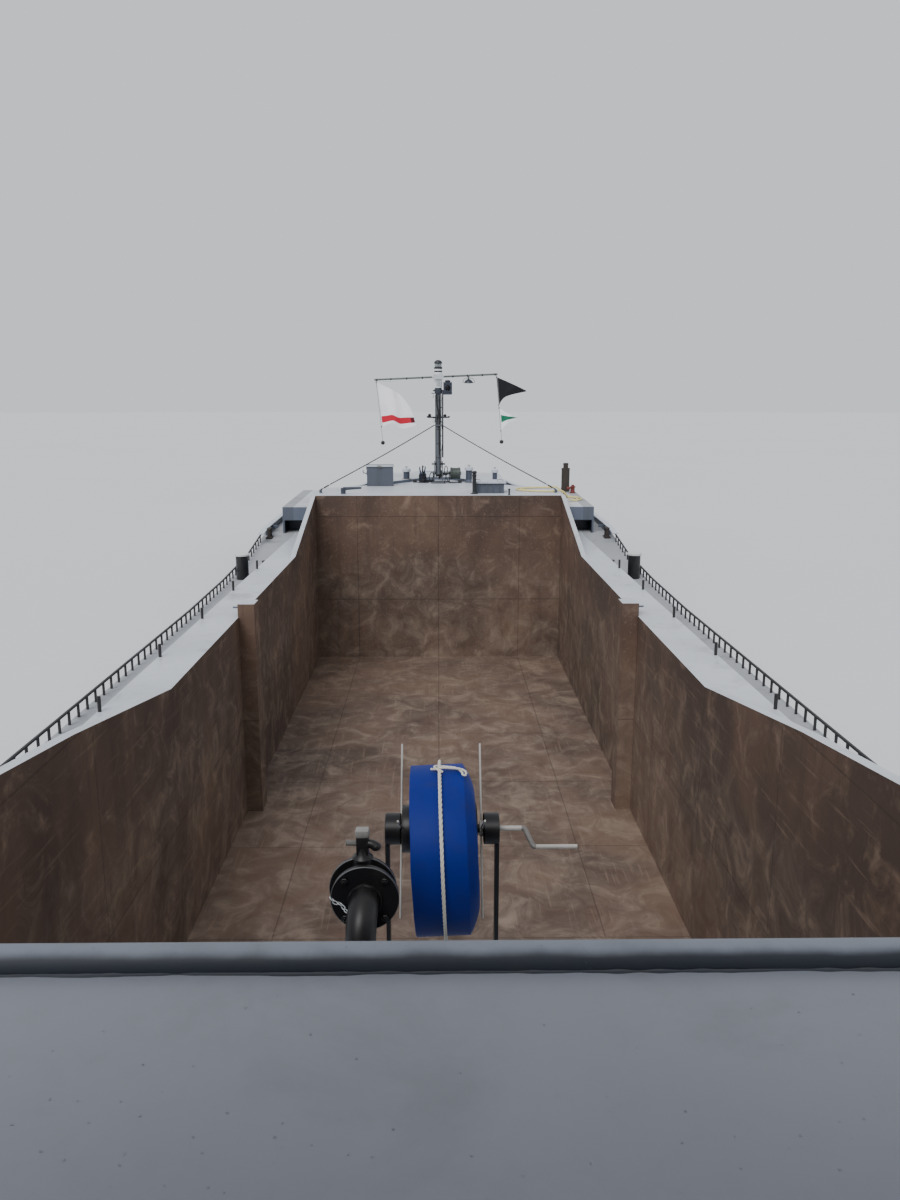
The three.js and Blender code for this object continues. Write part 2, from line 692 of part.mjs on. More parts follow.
// Rails along both roof edges, an exhaust, a skylight and a locker on the deckhouse roof
function roofFittings() {
  const railY = [-14500, -8000];
  const height = 320;
  const tube = 16;
  const spans = 5;
  const posts = [];
  for (let index = 0; index <= spans; index += 1) {
    posts.push(railY[0] + index * (railY[1] - railY[0]) / spans);
  }
  const x = deckhouseHalf - 20;
  const rail = [
    rod([x, railY[0] - tube, houseRoofZ + height], [x, railY[1] + tube, houseRoofZ + height], tube, 8),
    ...posts.map((y) => rod([x, y, houseRoofZ - 10], [x, y, houseRoofZ + height], tube, 8)),
  ];
  const [pipe, y] = [1450, -7450];
  const pipeRadius = 95;
  const exhaust = [
    rod([pipe, y, houseRoofZ - 10], [pipe, y, houseRoofZ + 780], pipeRadius, 18),
    rod([pipe, y, houseRoofZ - 10], [pipe, y, houseRoofZ + 60], pipeRadius + 65, 20),
    rod([pipe, y, houseRoofZ + 740], [pipe, y - 170, houseRoofZ + 860], pipeRadius, 18),
  ];
  return [
    ...rail, ...rail.map(mirrored), ...exhaust,
    block([-500, 500], [-11200, -10100], [houseRoofZ - 10, houseRoofZ + 170]),
    block([-1900, -1000], [-13800, -13200], [houseRoofZ - 10, houseRoofZ + 420]),
  ];
}

// Bulwark round the stern, stepped down at its fore ends, with the flagstaff
function sternBulwark() {
  const shape = { rootY: -14200, straightY: -15800, power: 2.5 };
  const outer = endOutline({ ...shape, half: halfBeam - 40, endY: sternY + 40 }, 14);
  const inner = endOutline({ ...shape, half: halfBeam - 100, endY: sternY + 100 }, 14);
  const whole = [
    ...outer, ...outer.slice(0, -1).reverse().map(([x, y]) => [-x, y]),
    ...inner.map(([x, y]) => [-x, y]), ...inner.slice(0, -1).reverse(),
  ];
  const top = 3250;
  const band = [
    [-14000, sheerAt(-14000) + plateGap], [-14000, 2800], [-15200, top], [sternY, top],
    [sternY, sternDeckZ + plateGap], [sternCornerY, sheerAt(sternCornerY) + plateGap],
  ];
  const plate = planProfile(whole, 2500, 3400).intersect(sideProfile(band.reverse(), -halfBeam, halfBeam));
  const staff = rod([0, sternY + 75, top - 60], [0, sternY + 75, top + 1350], 20, 12, 15);
  addPiece('stern_bulwark', join([plate, staff]), 'bluegrey');
}

// Deck fittings

// Bollard with a wider cap, reaching below the deck by the given depth
function bollardAt([x, y], sunk) {
  const radius = 97;
  const height = 400;
  return turned([[0, -sunk], [radius, -sunk], [radius, height - 30], [radius + 14, height - 30],
    [radius + 14, height], [0, height]], [x, y, sheerAt(y)], 20);
}

const foreBollard = [3100, 10450];
const sternBollards = [[3030, -3200], [2500, -16400]];

// Fore bollard, cut off where it stands on the sloping deck
function bollard(side) {
  const [x, y] = foreBollard;
  const clearDeck = sideProfile([
    ...sheerLine.map(([station, z]) => [station, z + plateGap]), [stemY, 0], [sternY, 0],
  ], -halfBeam, halfBeam);
  const body = bollardAt([x, y], 60).subtract(clearDeck);
  addPiece(`bollard_${side}`, side === 'port' ? mirrored(body) : body, 'black');
}

const railX = 3262;
const railHeight = 140;
const railPitch = 217;
const railBar = 20;

// Foot rail on the deck edge: short posts under one bar that follows the sheer
function footRail(side) {
  const postHalf = 9;
  const first = -13000;
  const last = 13000;
  const knots = sheerLine.map(([y]) => y).filter((y) => y > first && y < last);
  const over = [first, ...knots, last].map((y) => [y, sheerAt(y) + railHeight]);
  const comb = [];
  for (let y = first + 40; y < last - 40; y += railPitch) {
    const foot = Math.max(sheerAt(y - postHalf), sheerAt(y + postHalf)) + plateGap;
    const head = sheerAt(y) + railHeight - railBar;
    comb.push([y - postHalf, head], [y - postHalf, foot], [y + postHalf, foot], [y + postHalf, head]);
  }
  const under = [[first, sheerAt(first) + railHeight - railBar], ...comb,
    [last, sheerAt(last) + railHeight - railBar]];
  const rail = sideProfile([...under, ...over.reverse()], railX - railBar / 2, railX + railBar / 2);
  addPiece(`foot_rail_${side}`, side === 'port' ? mirrored(rail) : rail, 'black');
}

// Hose reel on the after deck

const reelX = 5;
const reelY = -1470;
const reelZ = 3990;
const axleR = 14;
const legOffset = [-165, 173];
const guideOffset = [-122, 124];
const guideR = 262;
const guideTurn = 30;
const rollSag = 68;
const rollR = 262;

// One side of the drum: two straight rods crossed over the axle, which guide the hose
function reelGuides(offset) {
  return [0, 90].map((quarter) => {
    const angle = (quarter + guideTurn) * Math.PI / 180;
    const reach = [guideR * Math.sin(angle), guideR * Math.cos(angle)];
    return rod([reelX + offset, reelY - reach[0], reelZ - reach[1]],
      [reelX + offset, reelY + reach[0], reelZ + reach[1]], 5, 8);
  });
}

// Reel: stand with two legs and bearings, drum on its axle with a crank, and the rolled hose
function hoseReel() {
  const foot = aftTrunkZ + plateGap;
  const legs = legOffset.map((offset) => join([
    block([reelX + offset - 6, reelX + offset + 6], [reelY - 25, reelY + 25], [foot, reelZ + 40]),
    block([reelX + offset - 6, reelX + offset + 6], [reelY - 220, reelY + 220], [foot, foot + 40]),
  ]));
  const tie = block([reelX + legOffset[0], reelX + legOffset[1]], [reelY - 200, reelY - 170],
    [foot, foot + 30]);
  const bearing = (offset) => turnedAcross([[0, -20], [45, -20], [45, 20], [0, 20]],
    [reelX + offset, reelY, reelZ]);
  const holes = rod([reelX - 300, reelY, reelZ], [reelX + 300, reelY, reelZ], axleR + 0.4, 16);
  addPiece('reel_stand', cut(join([...legs, tie, bearing(legOffset[0] + 18), bearing(legOffset[1] - 18)]),
    [holes]), 'black');
  const axle = rod([reelX + legOffset[0] - 8, reelY, reelZ], [reelX + 258, reelY, reelZ], axleR, 16);
  const core = turnedAcross([
    [0, -118], [68, -118], [68, -92], [80, -90], [80, 106], [0, 106]], [reelX, reelY, reelZ], 20);
  const elbow = [reelX + 290, reelY - 60, reelZ - 32];
  const arm = rod([reelX + 254, reelY, reelZ], elbow, 8, 8);
  const grip = rod([elbow[0] - 7, elbow[1], elbow[2]], [reelX + 415, elbow[1], elbow[2]], 7, 10);
  addPiece('reel_drum', join([axle, core, ...guideOffset.flatMap(reelGuides), arm, grip]), 'black');
  const eye = rollSag + 80 + plateGap;
  addPiece('reel_hose', turnedAcross([
    [eye, -88], [rollR, -88], [rollR, 70], [rollR - 28, 76], [rollR - 34, 104], [eye, 104], [eye, -88],
  ], [reelX, reelY, reelZ - rollSag], 36), 'hoseblue');
}

// Black pipe beside the reel: riser, elbow and flanges, with a valve behind them
const pipeX = -195;
const pipeR = 41;
const flangeR = 89;
const flangeY = -1900;
const flangeZ = 4006;

function deckPipe() {
  const foot = aftTrunkZ + plateGap;
  const riserY = flangeY - 110;
  addPiece('deck_pipe', join([
    rod([pipeX, riserY, foot], [pipeX, riserY, flangeZ - 45], pipeR, 20),
    rod([pipeX, riserY, foot], [pipeX, riserY, foot + 16], flangeR, 24),
    solid(new THREE.SphereGeometry(pipeR, 20, 12).translate(pipeX, riserY, flangeZ - 45)),
    rod([pipeX, riserY, flangeZ - 45], [pipeX, flangeY, flangeZ], pipeR, 20),
    rod([pipeX, flangeY - 16, flangeZ], [pipeX, flangeY, flangeZ], flangeR, 28),
    rod([pipeX - 8, flangeY - 1, flangeZ + 5], [pipeX - 8, flangeY + 40, flangeZ + 5], pipeR + 6, 20),
    rod([pipeX - 8, flangeY + 28, flangeZ + 5], [pipeX - 8, flangeY + 42, flangeZ + 5], flangeR, 28),
    block([pipeX - 24, pipeX + 8], [flangeY + 24, flangeY + 52], [flangeZ + 60, flangeZ + 150]),
    rod([pipeX - 50, flangeY + 38, flangeZ + 104], [pipeX + 34, flangeY + 38, flangeZ + 104], 9, 10),
  ]), 'black');
}

// Foredeck fittings

const mastPinR = 18;

// Mast foot: two cheeks on a heel plate and the pin that the mast folds on
function tabernacle() {
  const deck = raisedZ + plateGap;
  const span = [mastY - 90, mastY + 90];
  const cheeks = [-95, 75].map((x) => block([x, x + 20], span, [deck, mastPivotZ + 60]));
  const heel = block([-160, 160], span, [deck, deck + 20]);
  const pin = rod([-125, mastY, mastPivotZ], [125, mastY, mastPivotZ], mastPinR, 14);
  addPiece('mast_foot', join([...cheeks, heel, pin]), 'bluegrey');
}

const poleR = 57;
const lanternR = 85;
const yardY = mastY + lanternR + 25;
const yardEnds = [[-1355, 5793], [1260, 5910]];
const yardR = 20;
const clipLevels = [4300, 4600, 4900, 5200, 5500];

// Foremast: bored pole with its conduit, cross arm, stay eyes and lamp box, and the lantern on top
function foremast() {
  const pole = rod([0, mastY, mastPivotZ - 220], [0, mastY, mastTopZ], poleR, 20);
  const bore = rod([-200, mastY, mastPivotZ], [200, mastY, mastPivotZ], mastPinR + 0.6, 14);
  const conduit = rod([95, mastY, mastPivotZ + 140], [95, mastY, mastTopZ - 60], 17, 10);
  const clips = clipLevels.map((z) => block([0, 100], [mastY - 10, mastY + 10], [z, z + 18]));
  const crossArm = block([-240, 240], [mastY - 18, mastY + 18], [4990, 5020]);
  const eyes = block([-80, 80], [mastY - 80, mastY - 40], [4825, 4850]);
  const lampBox = join([block([110, 295], [mastY - 60, mastY + 60], [5480, 5740]),
    block([50, 120], [mastY - 20, mastY + 20], [5500, 5560])]);
  addPiece('foremast_pole', join([
    cut(pole, [bore]), conduit, ...clips, crossArm, eyes, lampBox,
  ]), 'bluegrey');
  addPiece('mast_lantern', turned([
    [0, 0], [lanternR, 0], [lanternR, 330], [70, 335], [70, 545], [92, 550], [92, 575], [0, 590],
  ], [0, mastY, mastTopZ + plateGap], 20), 'white');
}

// Yard with its clamp round the lantern's foot, a hanging lamp and the halyards
function yard() {
  const [low, high] = yardEnds.map(([x, z]) => [x, yardY, z]);
  const spar = rod(low, high, yardR, 12);
  const clampBlock = cut(block([-110, 110], [mastY - 110, yardY + 30], [yardZ - 50, yardZ + 50]), [
    rod([0, mastY, yardZ - 100], [0, mastY, yardZ + 100], lanternR + 0.5, 40)]);
  const dome = turned([[0, -140], [60, -140], [80, -90], [20, -60], [20, 20], [0, 20]],
    [650, yardY, yardZ + 10], 16);
  addPiece('foremast_yard', join([spar, clampBlock, dome, ...halyardLines()]), 'bluegrey');
}

// Stays from the deck to the mast, and the eye plates they stand on
const stayFoot = [2290, 14150, raisedZ];
const stayHead = [86.4, mastY - 66, 4837];

function stay(side) {
  const sign = side === 'port' ? -1 : 1;
  const foot = new THREE.Vector3(sign * stayFoot[0], stayFoot[1], stayFoot[2] + 60);
  const head = new THREE.Vector3(sign * stayHead[0], stayHead[1], stayHead[2]);
  addPiece(`foremast_stay_${side}`, rod(foot.toArray(), head.toArray(), 8, 8), 'black');
}

function stayEye(side) {
  const sign = side === 'port' ? -1 : 1;
  return block([sign * stayFoot[0] - 25, sign * stayFoot[0] + 25], [stayFoot[1] - 60, stayFoot[1] - 6.5],
    [raisedZ - 10, raisedZ + 62]);
}

// Signal halyards with their weights, and the flags on them
const halyards = [
  [[-1335, 5790], [-1205, 4500]], [[1248, 5905], [1376, 4520]],
];
const halyardR = 5;
const ballR = 45;

// name, cloth, halyard, hoist top and foot heights, corners of the fly
const flags = [
  ['flag_white', 'cloth', 0, 5744, 4800, [[-480, 4840], [-560, 5200]]],
  ['pennant_black', 'blackcloth', 1, 5848, 5264, [[1910, 5557]]],
  ['pennant_green', 'cloth', 1, 5200, 4715, [[1739, 4990]]],
];

// Point beside a halyard at one height
function hoistPoint([[x0, z0], [x1, z1]], z) {
  return [x0 + (x1 - x0) * (z0 - z) / (z0 - z1) + halyardR + 2 * plateGap, z];
}

function halyardLines() {
  return halyards.flatMap(([[x0, z0], [x1, z1]]) => [
    rod([x0, yardY, z0], [x1, yardY, z1], halyardR, 8),
    solid(new THREE.SphereGeometry(ballR, 12, 8).translate(x1, yardY, z1 - ballR + halyardR)),
  ]);
}

function signals() {
  for (const [name, paint, line, top, foot, fly] of flags) {
    const hoist = [hoistPoint(halyards[line], top), hoistPoint(halyards[line], foot)];
    addPiece(name, sideSheet([...hoist, ...fly]), paint);
  }
}

function sideSheet(corners) {
  const thick = 6;
  return crossProfile(corners, yardY - thick / 2, yardY + thick / 2);
}

const lockerX = [-1500, -960];
const lockerY = [15630, 15930];
const lockerTop = 4000;
const lockerWall = 20;
const within = ([low, high], inset) => [low + inset, high - inset];

// Open locker box and its lid, hinged on the outboard side
function locker() {
  const base = raisedZ + plateGap;
  addPiece('deck_locker', cut(block(lockerX, lockerY, [base, lockerTop]), [
    block(within(lockerX, lockerWall), within(lockerY, lockerWall), [base + lockerWall, lockerTop + 10]),
  ]), 'bluegrey');
  addPiece('locker_lid', join([
    block(within(lockerX, -15), within(lockerY, -15), [lockerTop + plateGap, lockerTop + plateGap + 25]),
    rod([lockerX[0] - 21, lockerY[0] + 40, lockerTop + plateGap + 20],
      [lockerX[0] - 21, lockerY[1] - 40, lockerTop + plateGap + 20], 9, 10),
  ]), 'bluegrey');
}

const hatchTop = 3790;
const hatchWall = 30;

// Hatch coaming over the shaft in the foredeck, and its lid, hinged on the fore side
function hatch() {
  const base = raisedZ + plateGap;
  addPiece('foredeck_hatch', cut(block(hatchX, hatchY, [base, hatchTop]), [
    block(within(hatchX, hatchWall), within(hatchY, hatchWall), [base - 10, hatchTop + 10]),
  ]), 'bluegrey');
  addPiece('hatch_lid', join([
    block([hatchX[0] - 40, hatchX[1] + 40], [hatchY[0] - 30, hatchY[1] + 20],
      [hatchTop + plateGap, hatchTop + plateGap + 22]),
    rod([hatchX[0] + 60, hatchY[1] + 28, hatchTop + plateGap + 16],
      [hatchX[1] - 60, hatchY[1] + 28, hatchTop + plateGap + 16], 9, 10),
  ]), 'palegrey');
}

const postPlace = [2740, 16100];

// Tall timber-faced post on the starboard wing
function tallPost() {
  const [x, y] = postPlace;
  const height = 570;
  const radius = 88;
  const level = foredeckZ(x, y);
  const body = turned([
    [0, -20], [radius, -20], [radius, height - 90], [radius * 0.6, height - 80], [radius * 0.6, height],
    [0, height]], [x, y, level], 14);
  const deck = sideProfile([
    [hopperForeY, wingZ[0] + plateGap], [wingForeY, wingZ[1] + plateGap],
    [wingForeY, wingFootZ], [hopperForeY, wingFootZ],
  ], 0, wingHalf);
  addPiece('mooring_post', cut(body, [deck]), 'timber');
}

// Yellow wash-down hose laid in two flat loops on the foredeck, from the hydrant to its nozzle
const hoseR = 14;
const hoseCentre = [2200, 14650];
const hoseReach = [690, 500];
const hoseFall = 260;
const hoseTurns = 2;
const hoseSteps = 70;

function hoseRoute() {
  const points = [];
  for (let step = 0; step <= hoseSteps; step += 1) {
    const share = step / hoseSteps;
    const angle = 0.85 - share * hoseTurns * 2 * Math.PI;
    const shrink = 1 - 0.24 * share;
    const x = hoseCentre[0] + hoseReach[0] * shrink * Math.cos(angle);
    const y = hoseCentre[1] + hoseReach[1] * shrink * Math.sin(angle);
    const lift = hoseR * 1.15 + 6 + 14 * Math.exp(-(((x - trunkHalf) / 70) ** 2));
    const past = THREE.MathUtils.smoothstep(x, trunkHalf, trunkHalf + hoseFall);
    const level = raisedZ + (foredeckZ(wingHalf, y) - raisedZ) * past;
    points.push(new THREE.Vector3(x, y, level + lift));
  }
  return points;
}

const hoseCurve = () => new THREE.CatmullRomCurve3(hoseRoute(), false, 'centripetal');

// Hydrant at the hose's first end
function hydrant() {
  const curve = hoseCurve();
  const start = curve.getTangent(0);
  const back = curve.getPoint(0).addScaledVector(start, -plateGap);
  const stub = back.clone().addScaledVector(start, -90);
  return [
    rod(back.toArray(), stub.toArray(), 19, 12),
    rod([stub.x, stub.y, foredeckZ(stub.x, stub.y) - 30], [stub.x, stub.y, stub.z + 90], 40, 14),
  ];
}

function deckHose() {
  const route = hoseRoute();
  const curve = hoseCurve();
  const section = new THREE.Shape();
  section.absarc(0, 0, hoseR, 0, Math.PI * 2);
  const tube = new THREE.ExtrudeGeometry(section, {
    steps: hoseSteps, curveSegments: 8, extrudePath: curve, bevelEnabled: false,
  });
  addPiece('deck_hose', solid(tube), 'hoseyellow');
  const end = route[route.length - 1];
  const tail = curve.getTangent(1);
  const front = end.clone().addScaledVector(tail, plateGap);
  const tip = front.clone().addScaledVector(tail, 130);
  addPiece('hose_nozzle', rod(front.toArray(), tip.toArray(), 17, 12, 10), 'bronze');
}

// Anchor winch: fixed frame, turning drum and warping end
const winchY = 16700;
const winchZ = raisedZ + 190;

function windlass() {
  const base = raisedZ + plateGap;
  const cheeks = [-110, 230].map((x) => cut(
    sideProfile([[winchY - 150, base], [winchY + 150, base], [winchY + 50, winchZ + 50],
      [winchY - 50, winchZ + 50]], x, x + 20),
    [rod([x - 50, winchY, winchZ], [x + 50, winchY, winchZ], 26, 16)]));
  const bed = block([-110, 250], [winchY - 150, winchY + 150], [base, base + 20]);
  const motor = block([-430, -270], [winchY - 60, winchY + 110], [base, base + 170]);
  const bridge = block([-300, -100], [winchY - 50, winchY + 50], [base, base + 60]);
  addPiece('windlass_frame', join([...cheeks, bed, bridge, motor]), 'darkblue');
  addPiece('windlass_drum', turnedAcross([
    [0, -122], [25, -122], [25, -60], [85, -60], [85, -48], [70, -40], [70, 70], [85, 78], [85, 90],
    [25, 90], [25, 256], [128, 262], [134, 285], [124, 320], [122, 420], [134, 462], [128, 482], [0, 486],
  ], [0, winchY, winchZ], 20), 'greygreen');
}

// Stockless anchor against the bow: shank, crown, two flukes and its ring
function anchor(side) {
  const shank = block([0, 60], [-35, 35], [-620, 180]);
  const crown = block([0, 130], [-260, 260], [-700, -600]);
  const fluke = (sign) => sideProfile([
    [sign * 150, -640], [sign * 260, -640], [sign * 190, -160],
  ].sort((a, b) => (a[0] - b[0]) || (b[1] - a[1])), 60, 120);
  const ring = block([10, 50], [-60, 60], [150, 230]);
  const body = join([shank, crown, fluke(1), fluke(-1), ring]);
  const half = endOutline({
    half: halfBeam, rootY: hopperForeY, straightY: 14400, endY: stemY, power: 2.3,
  }, 14);
  const [a, b] = [half[8], half[9]];
  const tangent = new THREE.Vector2(b[0] - a[0], b[1] - a[1]).normalize();
  const turn = Math.atan2(-tangent.x, tangent.y) * 180 / Math.PI;
  const out = new THREE.Vector2(tangent.y, -tangent.x);
  const mid = [(a[0] + b[0]) / 2 + out.x * plateGap, (a[1] + b[1]) / 2 + out.y * plateGap];
  const hung = body.rotate([0, 0, turn]).translate([...mid, 2870]);
  addPiece(`anchor_${side}`, side === 'port' ? mirrored(hung) : hung, 'black');
}

// Radar scanner on its post
function radar() {
  addPiece('radar_scanner', join([
    rod([0, radarY, radarZ + plateGap], [0, radarY, radarZ + 60], 60, 16),
    block([-620, 620], [radarY - 55, radarY + 55], [radarZ + 40, radarZ + 130]),
  ]), 'white');
}

// Searchlight on its post
function searchlight() {
  addPiece('searchlight', join([
    rod([searchX, searchY, searchZ + plateGap], [searchX, searchY, searchZ + 120], 26, 14),
    rod([searchX, searchY - 120, searchZ + 210], [searchX, searchY + 110, searchZ + 210], 100, 20, 120),
  ]), 'white');
}

hullBottom();
hullWing('port');
hullWing('starboard');
hullBow();
hullStern();
propeller();
rudder();
foredeck();
bowBulwark('port');
bowBulwark('starboard');
aftTrunk();
engineCasing();
wheelhouse();
helm();
deckhouse();
sternBulwark();
for (const side of ['port', 'starboard']) {
  bollard(side);
  footRail(side);
}
hoseReel();
deckPipe();
tabernacle();
foremast();
yard();
stay('port');
stay('starboard');
signals();
locker();
hatch();
tallPost();
deckHose();
windlass();
anchor('port');
anchor('starboard');
radar();
searchlight();

export default group;
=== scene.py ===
import math

import bmesh
import bpy
from mathutils import Matrix, Vector, noise


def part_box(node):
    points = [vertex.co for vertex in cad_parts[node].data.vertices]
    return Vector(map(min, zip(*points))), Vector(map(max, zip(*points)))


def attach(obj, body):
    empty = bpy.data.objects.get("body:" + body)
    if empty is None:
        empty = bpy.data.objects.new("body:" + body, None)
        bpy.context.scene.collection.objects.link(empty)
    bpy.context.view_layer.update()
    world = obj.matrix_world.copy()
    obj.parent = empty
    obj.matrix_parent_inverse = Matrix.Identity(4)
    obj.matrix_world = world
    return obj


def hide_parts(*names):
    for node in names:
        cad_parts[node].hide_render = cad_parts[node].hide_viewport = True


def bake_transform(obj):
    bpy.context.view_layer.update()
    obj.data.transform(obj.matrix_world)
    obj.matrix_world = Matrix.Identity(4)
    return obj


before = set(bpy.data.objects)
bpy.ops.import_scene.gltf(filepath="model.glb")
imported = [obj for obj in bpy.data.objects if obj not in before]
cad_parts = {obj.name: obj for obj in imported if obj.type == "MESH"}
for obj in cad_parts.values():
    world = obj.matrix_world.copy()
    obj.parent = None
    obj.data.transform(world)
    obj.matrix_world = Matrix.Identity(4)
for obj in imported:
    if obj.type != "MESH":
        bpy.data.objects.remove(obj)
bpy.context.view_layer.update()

bothSides = (("port", -1), ("starboard", 1))
print("frame loaded,", len(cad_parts), "solids")


# The view from the wheelhouse: the photograph's eye point, fitted to its 900 by 1200 frame
view = {"eye": (0.0, -4.15, 5.27), "pitch": 11.8, "focal": 935.0, "frameHeight": 1200.0,
        "middle": 450.0, "vanishing": 438.5, "sensor": 36.0}


def addCamera():
    camera = bpy.data.objects.new("camera", bpy.data.cameras.new("camera"))
    bpy.context.scene.collection.objects.link(camera)
    camera.location = view["eye"]
    yaw = math.atan((view["middle"] - view["vanishing"]) / view["focal"])
    camera.rotation_euler = (math.radians(90 - view["pitch"]), 0, -yaw)
    camera.data.sensor_width = view["sensor"]
    camera.data.lens = view["focal"] / view["frameHeight"] * view["sensor"]
    camera.data.clip_start = 0.02
    camera.data.clip_end = 900
    bpy.context.scene.camera = camera


# Colours are given as read off the photograph, 0 to 255
def shade(red, green, blue):
    def linear(value):
        part = value / 255
        return part / 12.92 if part <= 0.04045 else ((part + 0.055) / 1.055) ** 2.4
    return (linear(red), linear(green), linear(blue), 1.0)


def scaled(colour, factor):
    return tuple(min(1.0, part * factor) for part in colour[:3]) + (1.0,)


# Small helpers for shader trees
def startMaterial(name, specular=0.5):
    material = bpy.data.materials.new(name)
    material.use_nodes = True
    tree = material.node_tree
    tree.nodes.clear()
    shader = tree.nodes.new("ShaderNodeBsdfPrincipled")
    shader.inputs["Specular IOR Level"].default_value = specular
    end = tree.nodes.new("ShaderNodeOutputMaterial")
    tree.links.new(shader.outputs["BSDF"], end.inputs["Surface"])
    return material, tree, shader


def feed(tree, target, value):
    if isinstance(value, bpy.types.NodeSocket):
        tree.links.new(value, target)
    else:
        target.default_value = value


def calc(tree, operation, first, second=0.0, clamp=False):
    node = tree.nodes.new("ShaderNodeMath")
    node.operation = operation
    node.use_clamp = clamp
    feed(tree, node.inputs[0], first)
    feed(tree, node.inputs[1], second)
    return node.outputs[0]


# The steps of arithmetic that the trees use most; rest is what is left of one
def times(tree, first, second):
    return calc(tree, "MULTIPLY", first, second)


def over(tree, value, limit):
    return calc(tree, "GREATER_THAN", value, limit)


def under(tree, value, limit):
    return calc(tree, "LESS_THAN", value, limit)


def rest(tree, value, clamp=False):
    return calc(tree, "SUBTRACT", 1.0, value, clamp)


def mixed(tree, factor, first, second, blend="MIX"):
    node = tree.nodes.new("ShaderNodeMix")
    node.data_type = "RGBA"
    node.blend_type = blend
    feed(tree, node.inputs["Factor"], factor)
    feed(tree, node.inputs["A"], first)
    feed(tree, node.inputs["B"], second)
    return node.outputs["Result"]


def blendValue(tree, factor, first, second):
    node = tree.nodes.new("ShaderNodeMix")
    feed(tree, node.inputs["Factor"], factor)
    feed(tree, node.inputs["A"], first)
    feed(tree, node.inputs["B"], second)
    return node.outputs["Result"]


def cloud(tree, place, scale, detail=4.0, roughness=0.55, warp=0.0):
    node = tree.nodes.new("ShaderNodeTexNoise")
    tree.links.new(place, node.inputs["Vector"])
    node.inputs["Scale"].default_value = scale
    node.inputs["Detail"].default_value = detail
    node.inputs["Roughness"].default_value = roughness
    node.inputs["Distortion"].default_value = warp
    return node.outputs["Fac"]


def step(tree, value, low, high):
    node = tree.nodes.new("ShaderNodeMapRange")
    node.interpolation_type = "SMOOTHSTEP"
    feed(tree, node.inputs["Value"], value)
    node.inputs["From Min"].default_value = low
    node.inputs["From Max"].default_value = high
    return node.outputs["Result"]


def objectPlace(tree, stretch=(1, 1, 1)):
    coords = tree.nodes.new("ShaderNodeTexCoord")
    mapping = tree.nodes.new("ShaderNodeMapping")
    mapping.inputs["Scale"].default_value = stretch
    tree.links.new(coords.outputs["Object"], mapping.inputs["Vector"])
    return mapping.outputs["Vector"]


def axes(tree, vector):
    node = tree.nodes.new("ShaderNodeSeparateXYZ")
    tree.links.new(vector, node.inputs["Vector"])
    return node.outputs["X"], node.outputs["Y"], node.outputs["Z"]


def facing(tree):
    node = tree.nodes.new("ShaderNodeNewGeometry")
    return axes(tree, node.outputs["True Normal"])


def bumped(tree, shader, height, distance, strength=1.0):
    node = tree.nodes.new("ShaderNodeBump")
    node.inputs["Distance"].default_value = distance
    node.inputs["Strength"].default_value = strength
    feed(tree, node.inputs["Height"], height)
    tree.links.new(node.outputs["Normal"], shader.inputs["Normal"])


rustDark = shade(84, 52, 36)
rustLight = shade(146, 96, 62)
grimeColour = shade(58, 54, 48)


# Weathered paint: cloudy fading, streaks of dirt down upright faces, rust spots and fine bumps
def weathered(tree, colour, coat):
    place = objectPlace(tree)
    wide = cloud(tree, place, coat.get("cloudScale", 0.8), 5.0)
    fine = cloud(tree, place, 14.0, 6.0, 0.65)
    faded = mixed(tree, step(tree, wide, 0.35, 0.7), colour, scaledSocket(tree, colour, 1 - coat["fade"]))
    speckled = mixed(tree, times(tree, step(tree, fine, 0.45, 0.8), coat["fade"]), faded, grimeColour)
    streaks = cloud(tree, objectPlace(tree, (3.5, 3.5, 0.35)), 2.2, 6.0, 0.6)
    upright = rest(tree, calc(tree, "ABSOLUTE", facing(tree)[2]), True)
    dirt = times(tree, step(tree, streaks, 0.48, 0.78), upright)
    puddles = step(tree, cloud(tree, place, 2.3, 7.0, 0.62, 0.6), 0.52, 0.75)
    lying = times(tree, puddles, rest(tree, upright))
    soiled = times(tree, calc(tree, "MAXIMUM", dirt, lying), coat["grime"])
    dirty = mixed(tree, soiled, speckled, grimeColour)
    specks = cloud(tree, place, 5.5, 9.0, 0.72)
    spots = step(tree, specks, 0.74 - 0.16 * coat["rust"], 0.80 - 0.12 * coat["rust"])
    tint = mixed(tree, spots, dirty, mixed(tree, fine, rustDark, rustLight))
    low, high = coat["gloss"]
    gloss = blendValue(tree, spots, blendValue(tree, wide, low, high), 0.9)
    height = calc(tree, "ADD", times(tree, fine, 0.5), times(tree, spots, 0.8))
    return tint, gloss, height


# The same as the surface of a material
def coated(tree, shader, colour, coat, grain=0.0006):
    tint, gloss, height = weathered(tree, colour, coat)
    feed(tree, shader.inputs["Base Color"], tint)
    feed(tree, shader.inputs["Roughness"], gloss)
    bumped(tree, shader, height, grain)


def scaledSocket(tree, colour, factor):
    if isinstance(colour, bpy.types.NodeSocket):
        return mixed(tree, 1.0, colour, (factor, factor, factor, 1.0), "MULTIPLY")
    return scaled(colour, factor)


def paint(name, colour, fade=0.12, grime=0.3, rust=0.2, gloss=(0.35, 0.55), grain=0.0006, **more):
    material, tree, shader = startMaterial(name, more.get("specular", 0.5))
    coated(tree, shader, colour, {"fade": fade, "grime": grime, "rust": rust, "gloss": gloss, **more}, grain)
    return material


# The hopper's bare steel: rust brown, scraped lighter by the load, with wet runs and plate seams
holdSteel = {"dark": shade(74, 58, 50), "mid": shade(104, 82, 68), "light": shade(150, 128, 110),
             "dust": shade(138, 124, 110), "dustLine": (1.9, 2.7), "pitted": shade(52, 38, 30),
             "plates": (0.77, 0.915, 0.8), "seam": 0.007}


